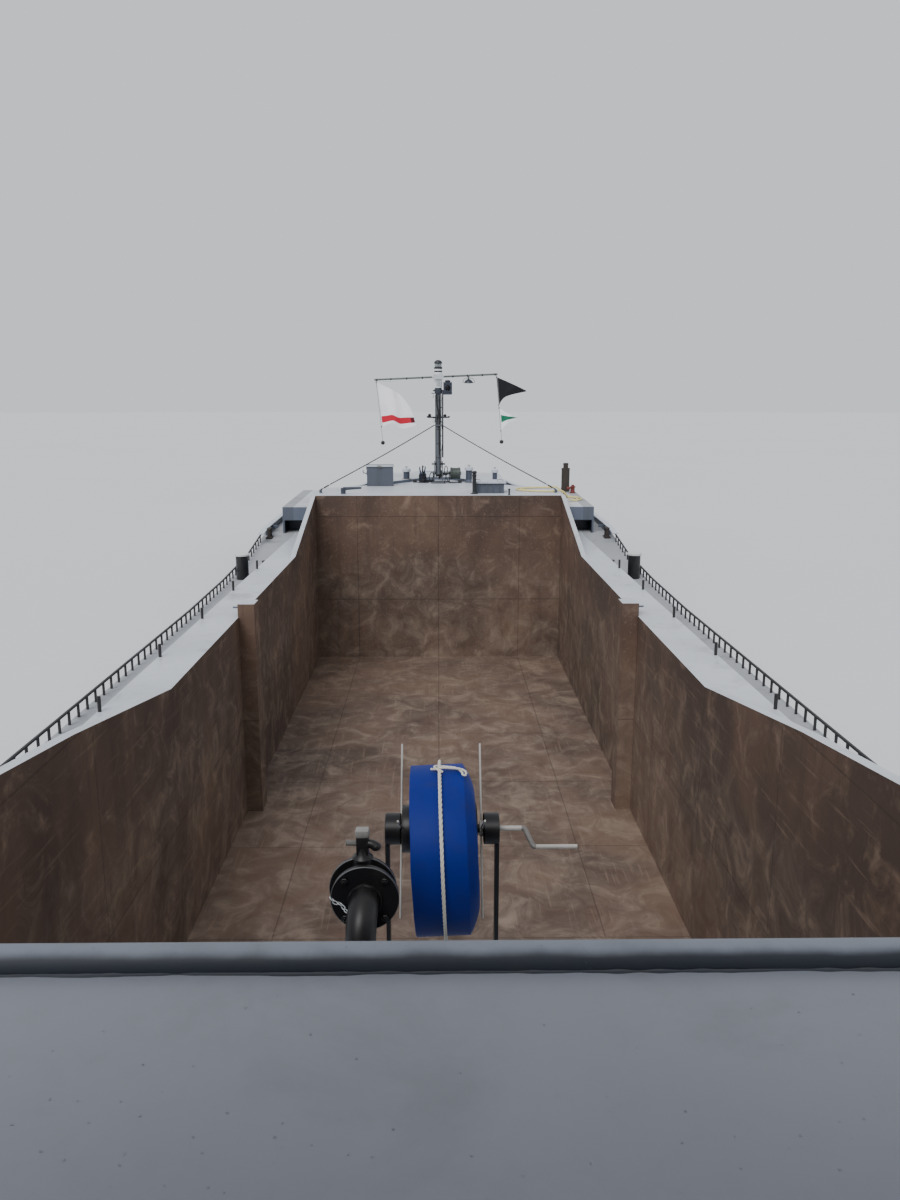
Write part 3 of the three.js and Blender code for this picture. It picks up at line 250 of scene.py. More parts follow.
def rustedSteel(tree):
    place = objectPlace(tree)
    wide = cloud(tree, place, 0.55, 6.0, 0.6, 0.4)
    patch = cloud(tree, place, 2.6, 8.0, 0.68, 0.8)
    fine = cloud(tree, place, 22.0, 8.0, 0.7)
    runs = cloud(tree, objectPlace(tree, (4.0, 4.0, 0.3)), 2.0, 6.0, 0.6)
    scrapes = cloud(tree, objectPlace(tree, (9.0, 0.45, 9.0)), 3.0, 5.0, 0.6)
    colour = mixed(tree, step(tree, wide, 0.35, 0.65), holdSteel["dark"], holdSteel["mid"])
    colour = mixed(tree, times(tree, step(tree, patch, 0.5, 0.75), 0.6), colour, holdSteel["light"])
    colour = mixed(tree, times(tree, step(tree, scrapes, 0.56, 0.72), 0.35), colour, holdSteel["light"])
    upright = rest(tree, calc(tree, "ABSOLUTE", facing(tree)[2]), True)
    wet = times(tree, step(tree, runs, 0.5, 0.72), times(tree, upright, 0.55))
    colour = mixed(tree, wet, colour, holdSteel["dark"])
    low, high = holdSteel["dustLine"]
    level = calc(tree, "ADD", axes(tree, place)[2], wide)
    dusty = rest(tree, step(tree, level, low + 0.5, high + 0.5))
    dusty = times(tree, dusty, times(tree, step(tree, patch, 0.3, 0.7), 0.4))
    colour = mixed(tree, dusty, colour, holdSteel["dust"])
    pits, seam = step(tree, fine, 0.6, 0.8), plateSeams(tree, place)
    colour = mixed(tree, times(tree, pits, 0.45), colour, holdSteel["pitted"])
    colour = mixed(tree, times(tree, seam, 0.4), colour, holdSteel["pitted"])
    gloss = blendValue(tree, step(tree, patch, 0.4, 0.7), 0.82, 0.6)
    height = calc(tree, "SUBTRACT", times(tree, patch, 1.2), times(tree, pits, 0.5))
    return colour, gloss, calc(tree, "ADD", height, times(tree, seam, 1.5))


# Weld beads where the plates meet, on every face across the two axes that lie in it
def plateSeams(tree, place):
    found = None
    wave = times(tree, cloud(tree, place, 12.0), 0.006)
    for position, normal, half in zip(axes(tree, place), facing(tree), holdSteel["plates"]):
        fromSeam = calc(tree, "PINGPONG", calc(tree, "ADD", position, wave), half)
        inFace = under(tree, calc(tree, "ABSOLUTE", normal), 0.5)
        line = times(tree, under(tree, fromSeam, holdSteel["seam"]), inFace)
        found = calc(tree, "MAXIMUM", found, line) if found else line
    return found


# One skin for the whole hull: its finish follows the place and the way a face looks
hullZones = {"holdHalf": 2.335, "coamingHalf": 2.745, "aft": -1.07, "fore": 13.545, "trim": 2.8,
             "waterline": 2.18, "strakeHalf": 3.285, "floor": 0.2}
hullColours = {"deck": shade(194, 198, 204), "sideDeck": shade(158, 160, 164), "side": shade(84, 91, 103),
               "bottom": shade(30, 31, 34), "strake": shade(36, 38, 42), "coamingSide": shade(96, 104, 119)}


def hullSkin(name, zones=()):
    material, tree, shader = startMaterial(name)
    x, y, z = axes(tree, objectPlace(tree))
    across = calc(tree, "ABSOLUTE", x)
    up = over(tree, facing(tree)[2], 0.5)
    topFace = times(tree, up, over(tree, z, hullZones["trim"]))
    narrow = under(tree, across, hullZones["coamingHalf"])
    ground = mixed(tree, times(tree, topFace, narrow), hullColours["sideDeck"], hullColours["deck"])
    afloat = over(tree, z, hullZones["waterline"])
    side = mixed(tree, afloat, hullColours["bottom"], hullColours["side"])
    onStrake = times(tree, afloat, over(tree, across, hullZones["strakeHalf"]))
    side = mixed(tree, onStrake, side, hullColours["strake"])
    side = mixed(tree, times(tree, narrow, afloat), side, hullColours["coamingSide"])
    coat = {"fade": 0.12, "grime": 0.32, "rust": 0.3, "gloss": (0.3, 0.55)}
    colour, gloss, height = weathered(tree, mixed(tree, up, side, ground), coat)
    colour = zonesOver(tree, colour, zones)
    gloss = blendValue(tree, times(tree, up, rest(tree, narrow)), gloss, 0.85)
    inside = under(tree, across, hullZones["holdHalf"])
    for limit in (over(tree, y, hullZones["aft"]), under(tree, y, hullZones["fore"]),
                  over(tree, z, hullZones["floor"]), rest(tree, topFace)):
        inside = times(tree, inside, limit)
    steelColour, steelGloss, steelHeight = rustedSteel(tree)
    feed(tree, shader.inputs["Base Color"], mixed(tree, inside, colour, steelColour))
    feed(tree, shader.inputs["Roughness"], blendValue(tree, inside, gloss, steelGloss))
    bumped(tree, shader, blendValue(tree, inside, height, steelHeight), 0.0015)
    return material


# Parts of one solid with a colour of their own, and one dark recess given painted shade: lowest and highest
# corner of the space they lie in
mastZones = [((0.074, 16.2, 3.9), (0.13, 16.5, 5.46), shade(40, 42, 46)),
             ((0.1, 16.2, 5.47), (0.32, 16.5, 5.76), shade(44, 50, 64)),
             ((-0.26, 16.3, 4.985), (0.26, 16.4, 5.025), shade(50, 54, 60))]
yardZones = [((-2, 16.3, 4.3), (2, 16.6, 4.515), shade(20, 21, 23)),
             ((-2, 16.3, 4.515), (2, 16.6, 5.64), shade(150, 150, 148)),
             ((0.55, 16.35, 5.64), (0.75, 16.6, 5.82), shade(40, 44, 52)),
             ((-0.13, 16.2, 5.7), (0.13, 16.6, 6.0), shade(190, 193, 196))]
foredeckZones = [((-1, 16.2, 3.66), (1.4, 17.0, 4.1), shade(62, 68, 82)),
                 ((-2, 13.8, 3.6), (-1.4, 14.0, 3.8), shade(52, 58, 70)),
                 ((0.62, 13.83, 3.6), (0.76, 13.97, 4.1), shade(30, 32, 35)),
                 ((2.44, 14.6, 3.45), (2.9, 15.6, 3.7), shade(96, 92, 84)),
                 ((2.2, 13.9, 3.595), (2.4, 14.3, 3.7), shade(70, 76, 86)),
                 ((-2.4, 13.9, 3.595), (-2.2, 14.3, 3.7), shade(70, 76, 86)),
                 # painted shade: the recess under the lip of the wings' front faces is painted dark navy
                 ((-2.92, 13.52, 2.79), (2.92, 13.94, 3.13), shade(30, 36, 48))]
hullZonesMore = [((sign * 2.72 - 0.024, y - 0.024, 2.8605), (sign * 2.72 + 0.024, y + 0.024, 3.0),
                  shade(34, 32, 32)) for sign in (-1, 1) for y in (3.04, 4.705, 6.37, 8.035, 9.7)]


def insideOf(tree, low, high):
    found = None
    for position, least, most in zip(axes(tree, objectPlace(tree)), low, high):
        part = times(tree, over(tree, position, least), under(tree, position, most))
        found = times(tree, found, part) if found else part
    return found


def zonesOver(tree, colour, zones):
    for low, high, tint in zones:
        colour = mixed(tree, insideOf(tree, low, high), colour, tint)
    return colour


# Paint with zones; without a colour of its own it is the hull's paint
def zoned(name, colour, zones):
    if colour is None:
        return hullSkin(name, zones)
    material, tree, shader = startMaterial(name)
    coat = {"fade": 0.14, "grime": 0.22, "rust": 0.1, "gloss": (0.35, 0.5)}
    coated(tree, shader, zonesOver(tree, colour, zones), coat)
    return material


# Round tube: dark paint with a painted highlight, lighter where it looks up as if lit by the sky
def tubeCoat(name, colour, paintedSkyHighlight):
    material, tree, shader = startMaterial(name, 0.3)
    edge = times(tree, calc(tree, "SUBTRACT", cloud(tree, objectPlace(tree), 6.0), 0.5), 0.3)
    # painted highlight: faces that look up take the lighter colour, as if lit from above
    lying = step(tree, calc(tree, "ADD", facing(tree)[2], edge), 0.6, 1.0)
    coat = {"fade": 0.15, "grime": 0.15, "rust": 0.02, "gloss": (0.5, 0.65)}
    coated(tree, shader, mixed(tree, lying, colour, paintedSkyHighlight), coat)
    return material


def windowGlass(name):
    material, tree, shader = startMaterial(name)
    shader.inputs["Base Color"].default_value = shade(200, 215, 218)
    shader.inputs["Transmission Weight"].default_value = 1.0
    shader.inputs["IOR"].default_value = 1.45
    smudge = cloud(tree, objectPlace(tree), 3.0, 5.0)
    feed(tree, shader.inputs["Roughness"], times(tree, step(tree, smudge, 0.4, 0.9), 0.12))
    return material


def dressNodes():
    skin = hullSkin("hullPaint", hullZonesMore)
    houseWhite = paint("houseWhite", shade(214, 216, 214), 0.06, 0.25, 0.05, (0.3, 0.45))
    houseBlue = paint("houseBlue", shade(80, 86, 97), 0.1, 0.25, 0.1, (0.3, 0.5))
    deckPale = paint("deckPale", shade(190, 196, 205), 0.1, 0.3, 0.15, (0.28, 0.5))
    casingGrey = paint("casingGrey", shade(115, 118, 126), 0.06, 0.18, 0.0, (0.3, 0.42))
    # the second colour is a painted highlight on the upper side of the tube and windlass frame
    tubeBlue = tubeCoat("tubeBlue", shade(37, 41, 50), shade(116, 121, 130))
    black = paint("coatBlack", shade(23, 24, 26), 0.2, 0.15, 0.1, (0.3, 0.5))
    railBlack = paint("railBlack", shade(40, 38, 38), 0.2, 0.2, 0.5, (0.5, 0.7))
    mastGrey = zoned("mastGrey", shade(88, 92, 98), mastZones)
    yardGrey = zoned("yardGrey", shade(96, 102, 98), yardZones)
    foredeckPaint = zoned("foredeckPaint", None, foredeckZones)
    winchGreen = paint("winchGreen", shade(64, 73, 68), 0.15, 0.3, 0.3, (0.4, 0.6))
    plastic = paint("lanternPlastic", shade(226, 228, 228), 0.04, 0.1, 0.0, (0.25, 0.4))
    timber = paint("postTimber", shade(56, 49, 42), 0.25, 0.5, 0.0, (0.7, 0.9), 0.003, cloudScale=4.0)
    bronze = paint("screwBronze", shade(150, 118, 66), 0.2, 0.3, 0.0, (0.3, 0.5))
    bronze.node_tree.nodes["Principled BSDF"].inputs["Metallic"].default_value = 0.9
    leather = paint("chairLeather", shade(40, 40, 44), 0.1, 0.1, 0.0, (0.4, 0.6), 0.002)
    laminate = paint("consoleLaminate", shade(62, 66, 72), 0.05, 0.05, 0.0, (0.45, 0.55))
    hoseBlue = paint("hoseBlue", shade(28, 66, 160), 0.1, 0.1, 0.0, (0.45, 0.6))
    hoseYellow = paint("hoseYellow", shade(226, 214, 148), 0.08, 0.15, 0.0, (0.4, 0.55))
    cloth = paint("flagCloth", shade(232, 232, 236), 0.03, 0.05, 0.0, (0.8, 0.9))
    blackCloth = paint("blackCloth", shade(34, 34, 40), 0.03, 0.0, 0.0, (0.8, 0.9))
    glass = windowGlass("windowGlass")
    finishes = {
        skin: ["hull_bottom", "hull_wing_port", "hull_wing_starboard", "hull_bow", "hull_stern", "aft_trunk"],
        foredeckPaint: ["forecastle"],
        houseWhite: ["wheelhouse_shell", "wheelhouse_roof", "wheelhouse_door_port",
                     "wheelhouse_door_starboard", "deckhouse_door", "radar_scanner", "searchlight"],
        houseBlue: ["deckhouse_shell", "deck_locker", "locker_lid", "foredeck_hatch", "bow_bulwark_port",
                    "bow_bulwark_starboard", "stern_bulwark"],
        deckPale: ["deckhouse_roof", "hatch_lid"],
        casingGrey: ["engine_casing"],
        tubeBlue: ["casing_tube", "windlass_frame"],
        black: ["bollard_port", "bollard_starboard", "reel_stand", "reel_drum", "deck_pipe", "anchor_port",
                "anchor_starboard", "rudder_blade", "foremast_stay_port", "foremast_stay_starboard"],
        railBlack: ["foot_rail_port", "foot_rail_starboard"],
        mastGrey: ["foremast_pole", "mast_foot"],
        yardGrey: ["foremast_yard"],
        winchGreen: ["windlass_drum"],
        plastic: ["mast_lantern"],
        timber: ["mooring_post"],
        bronze: ["propeller", "hose_nozzle"],
        leather: ["helm_chair"],
        laminate: ["helm_console"],
        hoseBlue: ["reel_hose"],
        hoseYellow: ["deck_hose"],
        cloth: ["flag_white", "pennant_green"],
        blackCloth: ["pennant_black"],
        glass: ["wheelhouse_glass_front", "wheelhouse_glass_rear", "wheelhouse_glass_port",
                "wheelhouse_glass_starboard", "door_glass_port", "door_glass_starboard"],
    }
    for material, names in finishes.items():
        for name in names:
            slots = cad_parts[name].data.materials
            slots.clear()
            slots.append(material)
    print("finishes set on", sum(len(names) for names in finishes.values()), "solids")


# Pale floor at the waterline, open where the hull stands in it
stage = {"waterline": 2.18, "half": 3.2, "bowStart": 14.4, "bowEnd": 18.88, "sternStart": -14.6,
         "sternEnd": -18.8, "power": 2.35, "reach": 420.0, "steps": 24}


def hullOutline():
    points = []
    ends = ((stage["bowStart"], stage["bowEnd"], 1), (stage["sternStart"], stage["sternEnd"], -1))
    for start, end, sign in ends:
        for index in range(stage["steps"] * 2 + 1):
            angle = math.pi * index / (stage["steps"] * 2)
            cos, sin = math.cos(angle), math.sin(angle)
            x = stage["half"] * math.copysign(abs(cos) ** (2 / stage["power"]), cos) * sign
            points.append((x, start + (end - start) * sin ** (2 / stage["power"])))
    return points


def addStage():
    inner = hullOutline()
    build = bmesh.new()
    near = [build.verts.new((x, y, stage["waterline"])) for x, y in inner]
    far = []
    for x, y in inner:
        direction = Vector((x * 3, y)).normalized() * stage["reach"]
        far.append(build.verts.new((direction.x, direction.y, stage["waterline"])))
    for index in range(len(inner)):
        after = (index + 1) % len(inner)
        build.faces.new((near[index], far[index], far[after], near[after]))
    material, tree, shader = startMaterial("paleFloor")
    tone = mixed(tree, cloud(tree, objectPlace(tree), 0.15, 3.0), shade(205, 207, 209), shade(212, 214, 216))
    feed(tree, shader.inputs["Base Color"], tone)
    shader.inputs["Roughness"].default_value = 0.7
    finished("floor", build, material, None)


def addLights():
    world = bpy.data.worlds.new("studio")
    world.use_nodes = True
    background = world.node_tree.nodes["Background"]
    background.inputs["Color"].default_value = shade(215, 218, 224)
    background.inputs["Strength"].default_value = 1.15
    bpy.context.scene.world = world
    sun = bpy.data.objects.new("softSun", bpy.data.lights.new("softSun", "SUN"))
    sun.data.energy = 2.3
    sun.data.angle = math.radians(35)
    sun.rotation_euler = (math.radians(38), math.radians(-22), 0)
    bpy.context.scene.collection.objects.link(sun)


# The finish that a solid of the frame already has
def ownFinish(node):
    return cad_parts[node].data.materials[0]


# Finishes that several pieces share
steelBright = paint("steelBright", shade(176, 178, 180), 0.15, 0.2, 0.1, (0.25, 0.4))
steelDull = paint("steelDull", shade(134, 132, 128), 0.25, 0.3, 0.35, (0.38, 0.55))
plasticBlack = paint("plasticBlack", shade(30, 32, 36), 0.15, 0.15, 0.0, (0.35, 0.5))
plasticGrey = paint("plasticGrey", shade(150, 154, 158), 0.1, 0.1, 0.0, (0.4, 0.5))
rubberBlack = paint("rubberBlack", shade(28, 28, 30), 0.2, 0.3, 0.0, (0.5, 0.7))
lanternWhite = paint("lanternWhite", shade(222, 225, 226), 0.05, 0.14, 0.0, (0.25, 0.4))
lampNavy = paint("lampNavy", shade(40, 45, 56), 0.15, 0.2, 0.0, (0.35, 0.5))
navyPaint = paint("navyPaint", shade(48, 58, 78), 0.12, 0.2, 0.05, (0.3, 0.45))
redPaint = paint("redPaint", shade(112, 44, 36), 0.2, 0.35, 0.4, (0.45, 0.6))
capWhite = paint("capWhite", shade(206, 208, 206), 0.15, 0.3, 0.2, (0.35, 0.5))
railRust = paint("railRust", shade(52, 44, 40), 0.25, 0.3, 0.75, (0.55, 0.75))
reelBlack = paint("reelBlack", shade(17, 16, 18), 0.2, 0.12, 0.1, (0.34, 0.46), specular=0.35)
galvanised = paint("galvanised", shade(164, 160, 153), 0.2, 0.3, 0.12, (0.4, 0.55), cloudScale=9.0)
armSteel = paint("armSteel", shade(104, 101, 96), 0.2, 0.3, 0.3, (0.4, 0.6), cloudScale=9.0)
rimGrey = paint("rimGrey", shade(74, 74, 76), 0.25, 0.3, 0.2, (0.3, 0.5), cloudScale=6.0)
wireDark = paint("wireDark", shade(36, 38, 41), 0.2, 0.3, 0.1, (0.5, 0.7))
deckPaleCoat = paint("deckPaleCoat", shade(196, 202, 210), 0.08, 0.25, 0.12, (0.2, 0.4))
deckBlueCoat = paint("deckBlueCoat", shade(84, 92, 106), 0.1, 0.25, 0.1, (0.3, 0.5))
hoseBlueCoat = paint("hoseBlueCoat", shade(4, 32, 118), 0.2, 0.06, 0.0, (0.5, 0.62), cloudScale=3.0,
                     specular=0.16)
ropeWhite = paint("ropeWhite", shade(206, 202, 190), 0.15, 0.35, 0.0, (0.75, 0.9), 0.001, cloudScale=6.0)
screwDark = paint("screwDark", shade(64, 62, 60), 0.2, 0.2, 0.5, (0.4, 0.6))
sealDark = paint("sealDark", shade(34, 36, 38), 0.15, 0.2, 0.0, (0.5, 0.7))
leatherCoat = paint("chairLeather", shade(38, 38, 42), 0.12, 0.1, 0.0, (0.38, 0.55), 0.0016, cloudScale=5.0)
sootSteel = paint("sootSteel", shade(120, 112, 102), 0.35, 0.5, 0.6, (0.45, 0.65))
screenGlass = paint("screenGlass", shade(14, 16, 20), 0.05, 0.05, 0.0, (0.08, 0.15), 0.0001)
# dark for the weld bead under the casing tube and for the painted shadow in that joint
weldAndShadowDark = paint("weldAndShadowDark", shade(44, 48, 56), 0.3, 0.3, 0.0, (0.4, 0.6))


def clearCoat(name, colour, roughness=0.05):
    material, tree, shader = startMaterial(name)
    shader.inputs["Base Color"].default_value = colour
    shader.inputs["Transmission Weight"].default_value = 1.0
    shader.inputs["IOR"].default_value = 1.33
    feed(tree, shader.inputs["Roughness"], times(tree, cloud(tree, objectPlace(tree), 20.0), roughness))
    return material


lensClear = clearCoat("lensClear", shade(220, 226, 228), 0.2)
lensGrey = paint("lensGrey", shade(158, 164, 166), 0.1, 0.1, 0.0, (0.08, 0.18), 0.0002)
waterBead = clearCoat("waterBead", shade(250, 252, 252), 0.02)


# Small helpers for meshes
def finished(name, build, material, body, sharp=35):
    mesh = meshFrom(name, build, sharp)
    mesh.materials.append(material)
    return placed(name, mesh, body)


def meshFrom(name, build, sharp=35):
    mesh = bpy.data.meshes.new(name)
    bmesh.ops.recalc_face_normals(build, faces=build.faces)
    build.to_mesh(mesh)
    build.free()
    mesh.shade_smooth()
    mesh.set_sharp_from_angle(angle=math.radians(sharp))
    return mesh


def hiddenShape(name, build):
    return placed(name, meshFrom(name, build), None)


def placed(name, mesh, body):
    piece = bpy.data.objects.new(name, mesh)
    bpy.context.scene.collection.objects.link(piece)
    if body:
        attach(piece, body)
    return piece


# Evenly bent line through a few points, with a number of steps in each span
def curved(points, steps=8):
    points = [Vector(point) for point in points]
    last = len(points) - 1
    line = []
    for span in range(last):
        before, start, end, after = [points[max(0, min(last, span + shift))] for shift in (-1, 0, 1, 2)]
        for index in range(steps):
            t = index / steps
            line.append(0.5 * (2 * start + (end - before) * t
                               + (2 * before - 5 * start + 4 * end - after) * t ** 2
                               + (3 * start - before - 3 * end + after) * t ** 3))
    line.append(points[-1])
    return line


def lengthOf(line):
    return sum((after - before).length for before, after in zip(line, line[1:]))


# The same line cut into equal steps
def evenly(line, gap):
    total = lengthOf(line)
    count = max(2, round(total / gap))
    even = [line[0].copy()]
    walked, span = 0.0, 0
    for index in range(1, count):
        target = total * index / count
        while walked + (line[span + 1] - line[span]).length < target:
            walked += (line[span + 1] - line[span]).length
            span += 1
        step = line[span + 1] - line[span]
        even.append(line[span] + step * ((target - walked) / step.length))
    even.append(line[-1].copy())
    return even


# Two directions across a line at each of its points, turning as little as they can
def crossings(line, closed=False):
    count = len(line)
    tangents = []
    for index in range(count):
        if closed:
            tangent = line[(index + 1) % count] - line[index - 1]
        else:
            tangent = line[min(count - 1, index + 1)] - line[max(0, index - 1)]
        tangents.append(tangent.normalized())
    side = tangents[0].orthogonal().normalized()
    if abs(tangents[0].z) < 0.98:
        side = tangents[0].cross(Vector((0, 0, 1))).normalized()
    pairs = []
    for tangent in tangents:
        side = (side - tangent * side.dot(tangent)).normalized()
        pairs.append((side, tangent.cross(side)))
    return pairs


# A section of (across, up) pairs carried along a line; sizes scales it at each point
def addSweep(build, line, section, closed=False, sizes=None, pairs=None):
    pairs = pairs or crossings(line, closed)
    rings = []
    for index, (point, (side, up)) in enumerate(zip(line, pairs)):
        size = sizes[index] if sizes else 1.0
        rings.append([build.verts.new(point + side * (u * size) + up * (v * size)) for u, v in section])
    joins = list(zip(rings, rings[1:]))
    if closed:
        joins.append((rings[-1], rings[0]))
    count = len(section)
    for before, after in joins:
        for index in range(count):
            mate = (index + 1) % count
            build.faces.new((before[index], before[mate], after[mate], after[index]))
    if not closed:
        build.faces.new(rings[0][::-1])
        build.faces.new(rings[-1])


def ringSection(radius, sides, flat=1.0):
    return [(radius * math.cos(2 * math.pi * index / sides),
             radius * flat * math.sin(2 * math.pi * index / sides)) for index in range(sides)]


# Points of a circle about an upright axis, or about one across the ship
def circle(middle, radius, count, axis="Z", flat=1.0):
    spots = ringSection(radius, count, flat)
    return [Vector(middle) + Vector((0, u, v) if axis == "X" else (u, v, 0)) for u, v in spots]


def addTube(build, line, radius, sides=10, closed=False, sizes=None):
    addSweep(build, [Vector(point) for point in line], ringSection(radius, sides), closed, sizes)


# Laid rope: round strands turning about the line
def addRope(build, line, radius, strands=3, closed=False, lay=7.0):
    line = evenly(line, radius * 1.1)
    if closed:
        line = line[:-1]
    pairs = crossings(line, closed)
    total = len(line) * radius * 1.1
    turns = max(1, round(total / (lay * radius)))
    for strand in range(strands):
        path = []
        for index, (point, (side, up)) in enumerate(zip(line, pairs)):
            angle = 2 * math.pi * (strand / strands + turns * index / len(line))
            path.append(point + (side * math.cos(angle) + up * math.sin(angle)) * radius * 0.5)
        addSweep(build, path, ringSection(radius * 0.54, 6), closed)


# Turned shape: (radius, height) pairs about an axis; a profile that ends where it starts makes a ring
def addTurned(build, profile, base, axis=(0, 0, 1), sides=24):
    turn = Vector((0, 0, 1)).rotation_difference(Vector(axis).normalized())
    base = Vector(base)
    rings = []
    for radius, height in profile:
        count = 1 if radius < 1e-6 else sides
        rings.append([build.verts.new(base + turn @ Vector((
            radius * math.cos(2 * math.pi * index / sides), radius * math.sin(2 * math.pi * index / sides),
            height))) for index in range(count)])
    isRing = tuple(profile[0]) == tuple(profile[-1])
    if isRing:
        for vert in rings.pop():
            build.verts.remove(vert)
        rings.append(rings[0])
    for before, after in zip(rings, rings[1:]):
        for index in range(sides):
            mate = (index + 1) % sides
            corners = [before[index % len(before)], before[mate % len(before)],
                       after[mate % len(after)], after[index % len(after)]]
            unique = list(dict.fromkeys(corners))
            if len(unique) > 2:
                build.faces.new(unique)
    for ring, order in ((rings[0], -1), (rings[-1], 1)):
        if len(ring) > 2 and not isRing:
            build.faces.new(ring[::order])


# Box with rounded edges
def addBox(build, low, high, edge=0.003):
    low, high = Vector(low), Vector(high)
    middle, size = (low + high) / 2, high - low
    verts = bmesh.ops.create_cube(build, size=1.0)["verts"]
    for vert in verts:
        vert.co = middle + Vector(part * length for part, length in zip(vert.co, size))
    edges = list({line for vert in verts for line in vert.link_edges})
    bmesh.ops.bevel(build, geom=edges, offset=edge, segments=2, affect="EDGES", profile=0.5,
                    clamp_overlap=True)


def addBall(build, middle, radius, flat=1.0):
    middle = Vector(middle)
    verts = bmesh.ops.create_uvsphere(build, u_segments=16, v_segments=10, radius=radius)["verts"]
    for vert in verts:
        vert.co = middle + Vector((vert.co.x, vert.co.y, vert.co.z * flat))


# Flat ring round a rectangle, such as a window frame or a gasket: corners are in a plane across one axis
def addFrame(build, low, high, width, proud, axis="Y", corner=0.04):
    low, high = Vector(low), Vector(high)
    spots = {"X": ("y", "z"), "Y": ("x", "z"), "Z": ("x", "y")}[axis]
    level = (getattr(low, axis.lower()) + getattr(high, axis.lower())) / 2
    (u0, u1), (v0, v1) = [sorted((getattr(low, spot), getattr(high, spot))) for spot in spots]
    line = []
    for (u, v), start in (((u1 - corner, v1 - corner), 0), ((u0 + corner, v1 - corner), 90),
                          ((u0 + corner, v0 + corner), 180), ((u1 - corner, v0 + corner), 270)):
        for part in range(5):
            angle = math.radians(start + part * 22.5)
            spot = Vector((0, 0, 0))
            setattr(spot, axis.lower(), level)
            setattr(spot, spots[0], u + corner * math.cos(angle))
            setattr(spot, spots[1], v + corner * math.sin(angle))
            line.append(spot)
    ahead = Vector([float(name == axis) for name in "XYZ"])
    pairs = []
    for index in range(len(line)):
        tangent = (line[(index + 1) % len(line)] - line[index - 1]).normalized()
        pairs.append((ahead.cross(tangent).normalized(), ahead))
    section = [(-width / 2, -proud / 2), (width / 2, -proud / 2), (width / 2, proud / 2),
               (-width / 2, proud / 2)]
    addSweep(build, line, section, closed=True, pairs=pairs)


# Geometry-node groups for what repeats, with their inputs by name
def newGroup(name, inputs):
    group = bpy.data.node_groups.new(name, "GeometryNodeTree")
    group.interface.new_socket("Geometry", in_out="INPUT", socket_type="NodeSocketGeometry")
    sockets = {}
    for label, kind in inputs:
        sockets[label] = group.interface.new_socket(label, in_out="INPUT", socket_type=kind).identifier
    group.interface.new_socket("Geometry", in_out="OUTPUT", socket_type="NodeSocketGeometry")
    return group, sockets, group.nodes.new("NodeGroupInput"), group.nodes.new("NodeGroupOutput")


def nodeWith(group, kind, feeds=None, **settings):
    node = group.nodes.new(kind)
    for key, value in settings.items():
        setattr(node, key, value)
    for label, value in (feeds or {}).items():
        if isinstance(value, bpy.types.NodeSocket):
            group.links.new(value, node.inputs[label])
        else:
            node.inputs[label].default_value = value
    return node


def mathNode(group, operation, first, second):
    return nodeWith(group, "ShaderNodeMath", {0: first, 1: second}, operation=operation).outputs[0]


def closeGroup(group, start, end, geometry):
    whole = nodeWith(group, "GeometryNodeRealizeInstances", {"Geometry": geometry})
    coated = nodeWith(group, "GeometryNodeSetMaterial",
                      {"Geometry": whole.outputs[0], "Material": start.outputs["Material"]})
    group.links.new(coated.outputs[0], end.inputs[0])


# A copy of one shape at each point of the start mesh, turned so that its Z looks along the point's normal
def stampGroup():
    group, sockets, start, end = newGroup("stampOnPoints", [
        ("Shape", "NodeSocketObject"), ("Spread", "NodeSocketFloat"), ("Seed", "NodeSocketInt"),
        ("Material", "NodeSocketMaterial")])
    shape = nodeWith(group, "GeometryNodeObjectInfo", {"Object": start.outputs["Shape"]})
    normal = nodeWith(group, "GeometryNodeInputNamedAttribute", {"Name": "facing"}, data_type="FLOAT_VECTOR")
    turned = nodeWith(group, "FunctionNodeAlignRotationToVector", {"Vector": normal.outputs[0]}, axis="Z")
    size = nodeWith(group, "FunctionNodeRandomValue", {"Seed": start.outputs["Seed"]}, data_type="FLOAT")
    group.links.new(mathNode(group, "SUBTRACT", 1.0, start.outputs["Spread"]), size.inputs[2])
    group.links.new(mathNode(group, "ADD", 1.0, start.outputs["Spread"]), size.inputs[3])
    stamped = nodeWith(group, "GeometryNodeInstanceOnPoints", {
        "Points": start.outputs["Geometry"], "Instance": shape.outputs["Geometry"],
        "Rotation": turned.outputs[0], "Scale": size.outputs[1]})
    closeGroup(group, start, end, stamped.outputs[0])
    return group, sockets


# Links or rungs at even steps along a line, each turned by one more twist about it
def alongGroup():
    group, sockets, start, end = newGroup("shapesAlong", [
        ("Shape", "NodeSocketObject"), ("Gap", "NodeSocketFloat"), ("Twist", "NodeSocketFloat"),
        ("Material", "NodeSocketMaterial")])
    shape = nodeWith(group, "GeometryNodeObjectInfo", {"Object": start.outputs["Shape"]})
    curve = nodeWith(group, "GeometryNodeMeshToCurve", {"Mesh": start.outputs["Geometry"]})
    cut = nodeWith(group, "GeometryNodeResampleCurve", {
        "Curve": curve.outputs[0], "Length": start.outputs["Gap"]}, mode="LENGTH")
    tangent = nodeWith(group, "GeometryNodeInputTangent")
    aimed = nodeWith(group, "FunctionNodeAlignRotationToVector", {"Vector": tangent.outputs[0]}, axis="X")
    index = nodeWith(group, "GeometryNodeInputIndex")
    angle = mathNode(group, "MULTIPLY", index.outputs[0], start.outputs["Twist"])
    spin = nodeWith(group, "FunctionNodeAxisAngleToRotation", {"Axis": (1, 0, 0), "Angle": angle})
    turned = nodeWith(group, "FunctionNodeRotateRotation", {
        "Rotation": aimed.outputs[0], "Rotate By": spin.outputs[0]}, rotation_space="LOCAL")
    stamped = nodeWith(group, "GeometryNodeInstanceOnPoints", {
        "Points": cut.outputs[0], "Instance": shape.outputs["Geometry"], "Rotation": turned.outputs[0]})
    closeGroup(group, start, end, stamped.outputs[0])
    return group, sockets


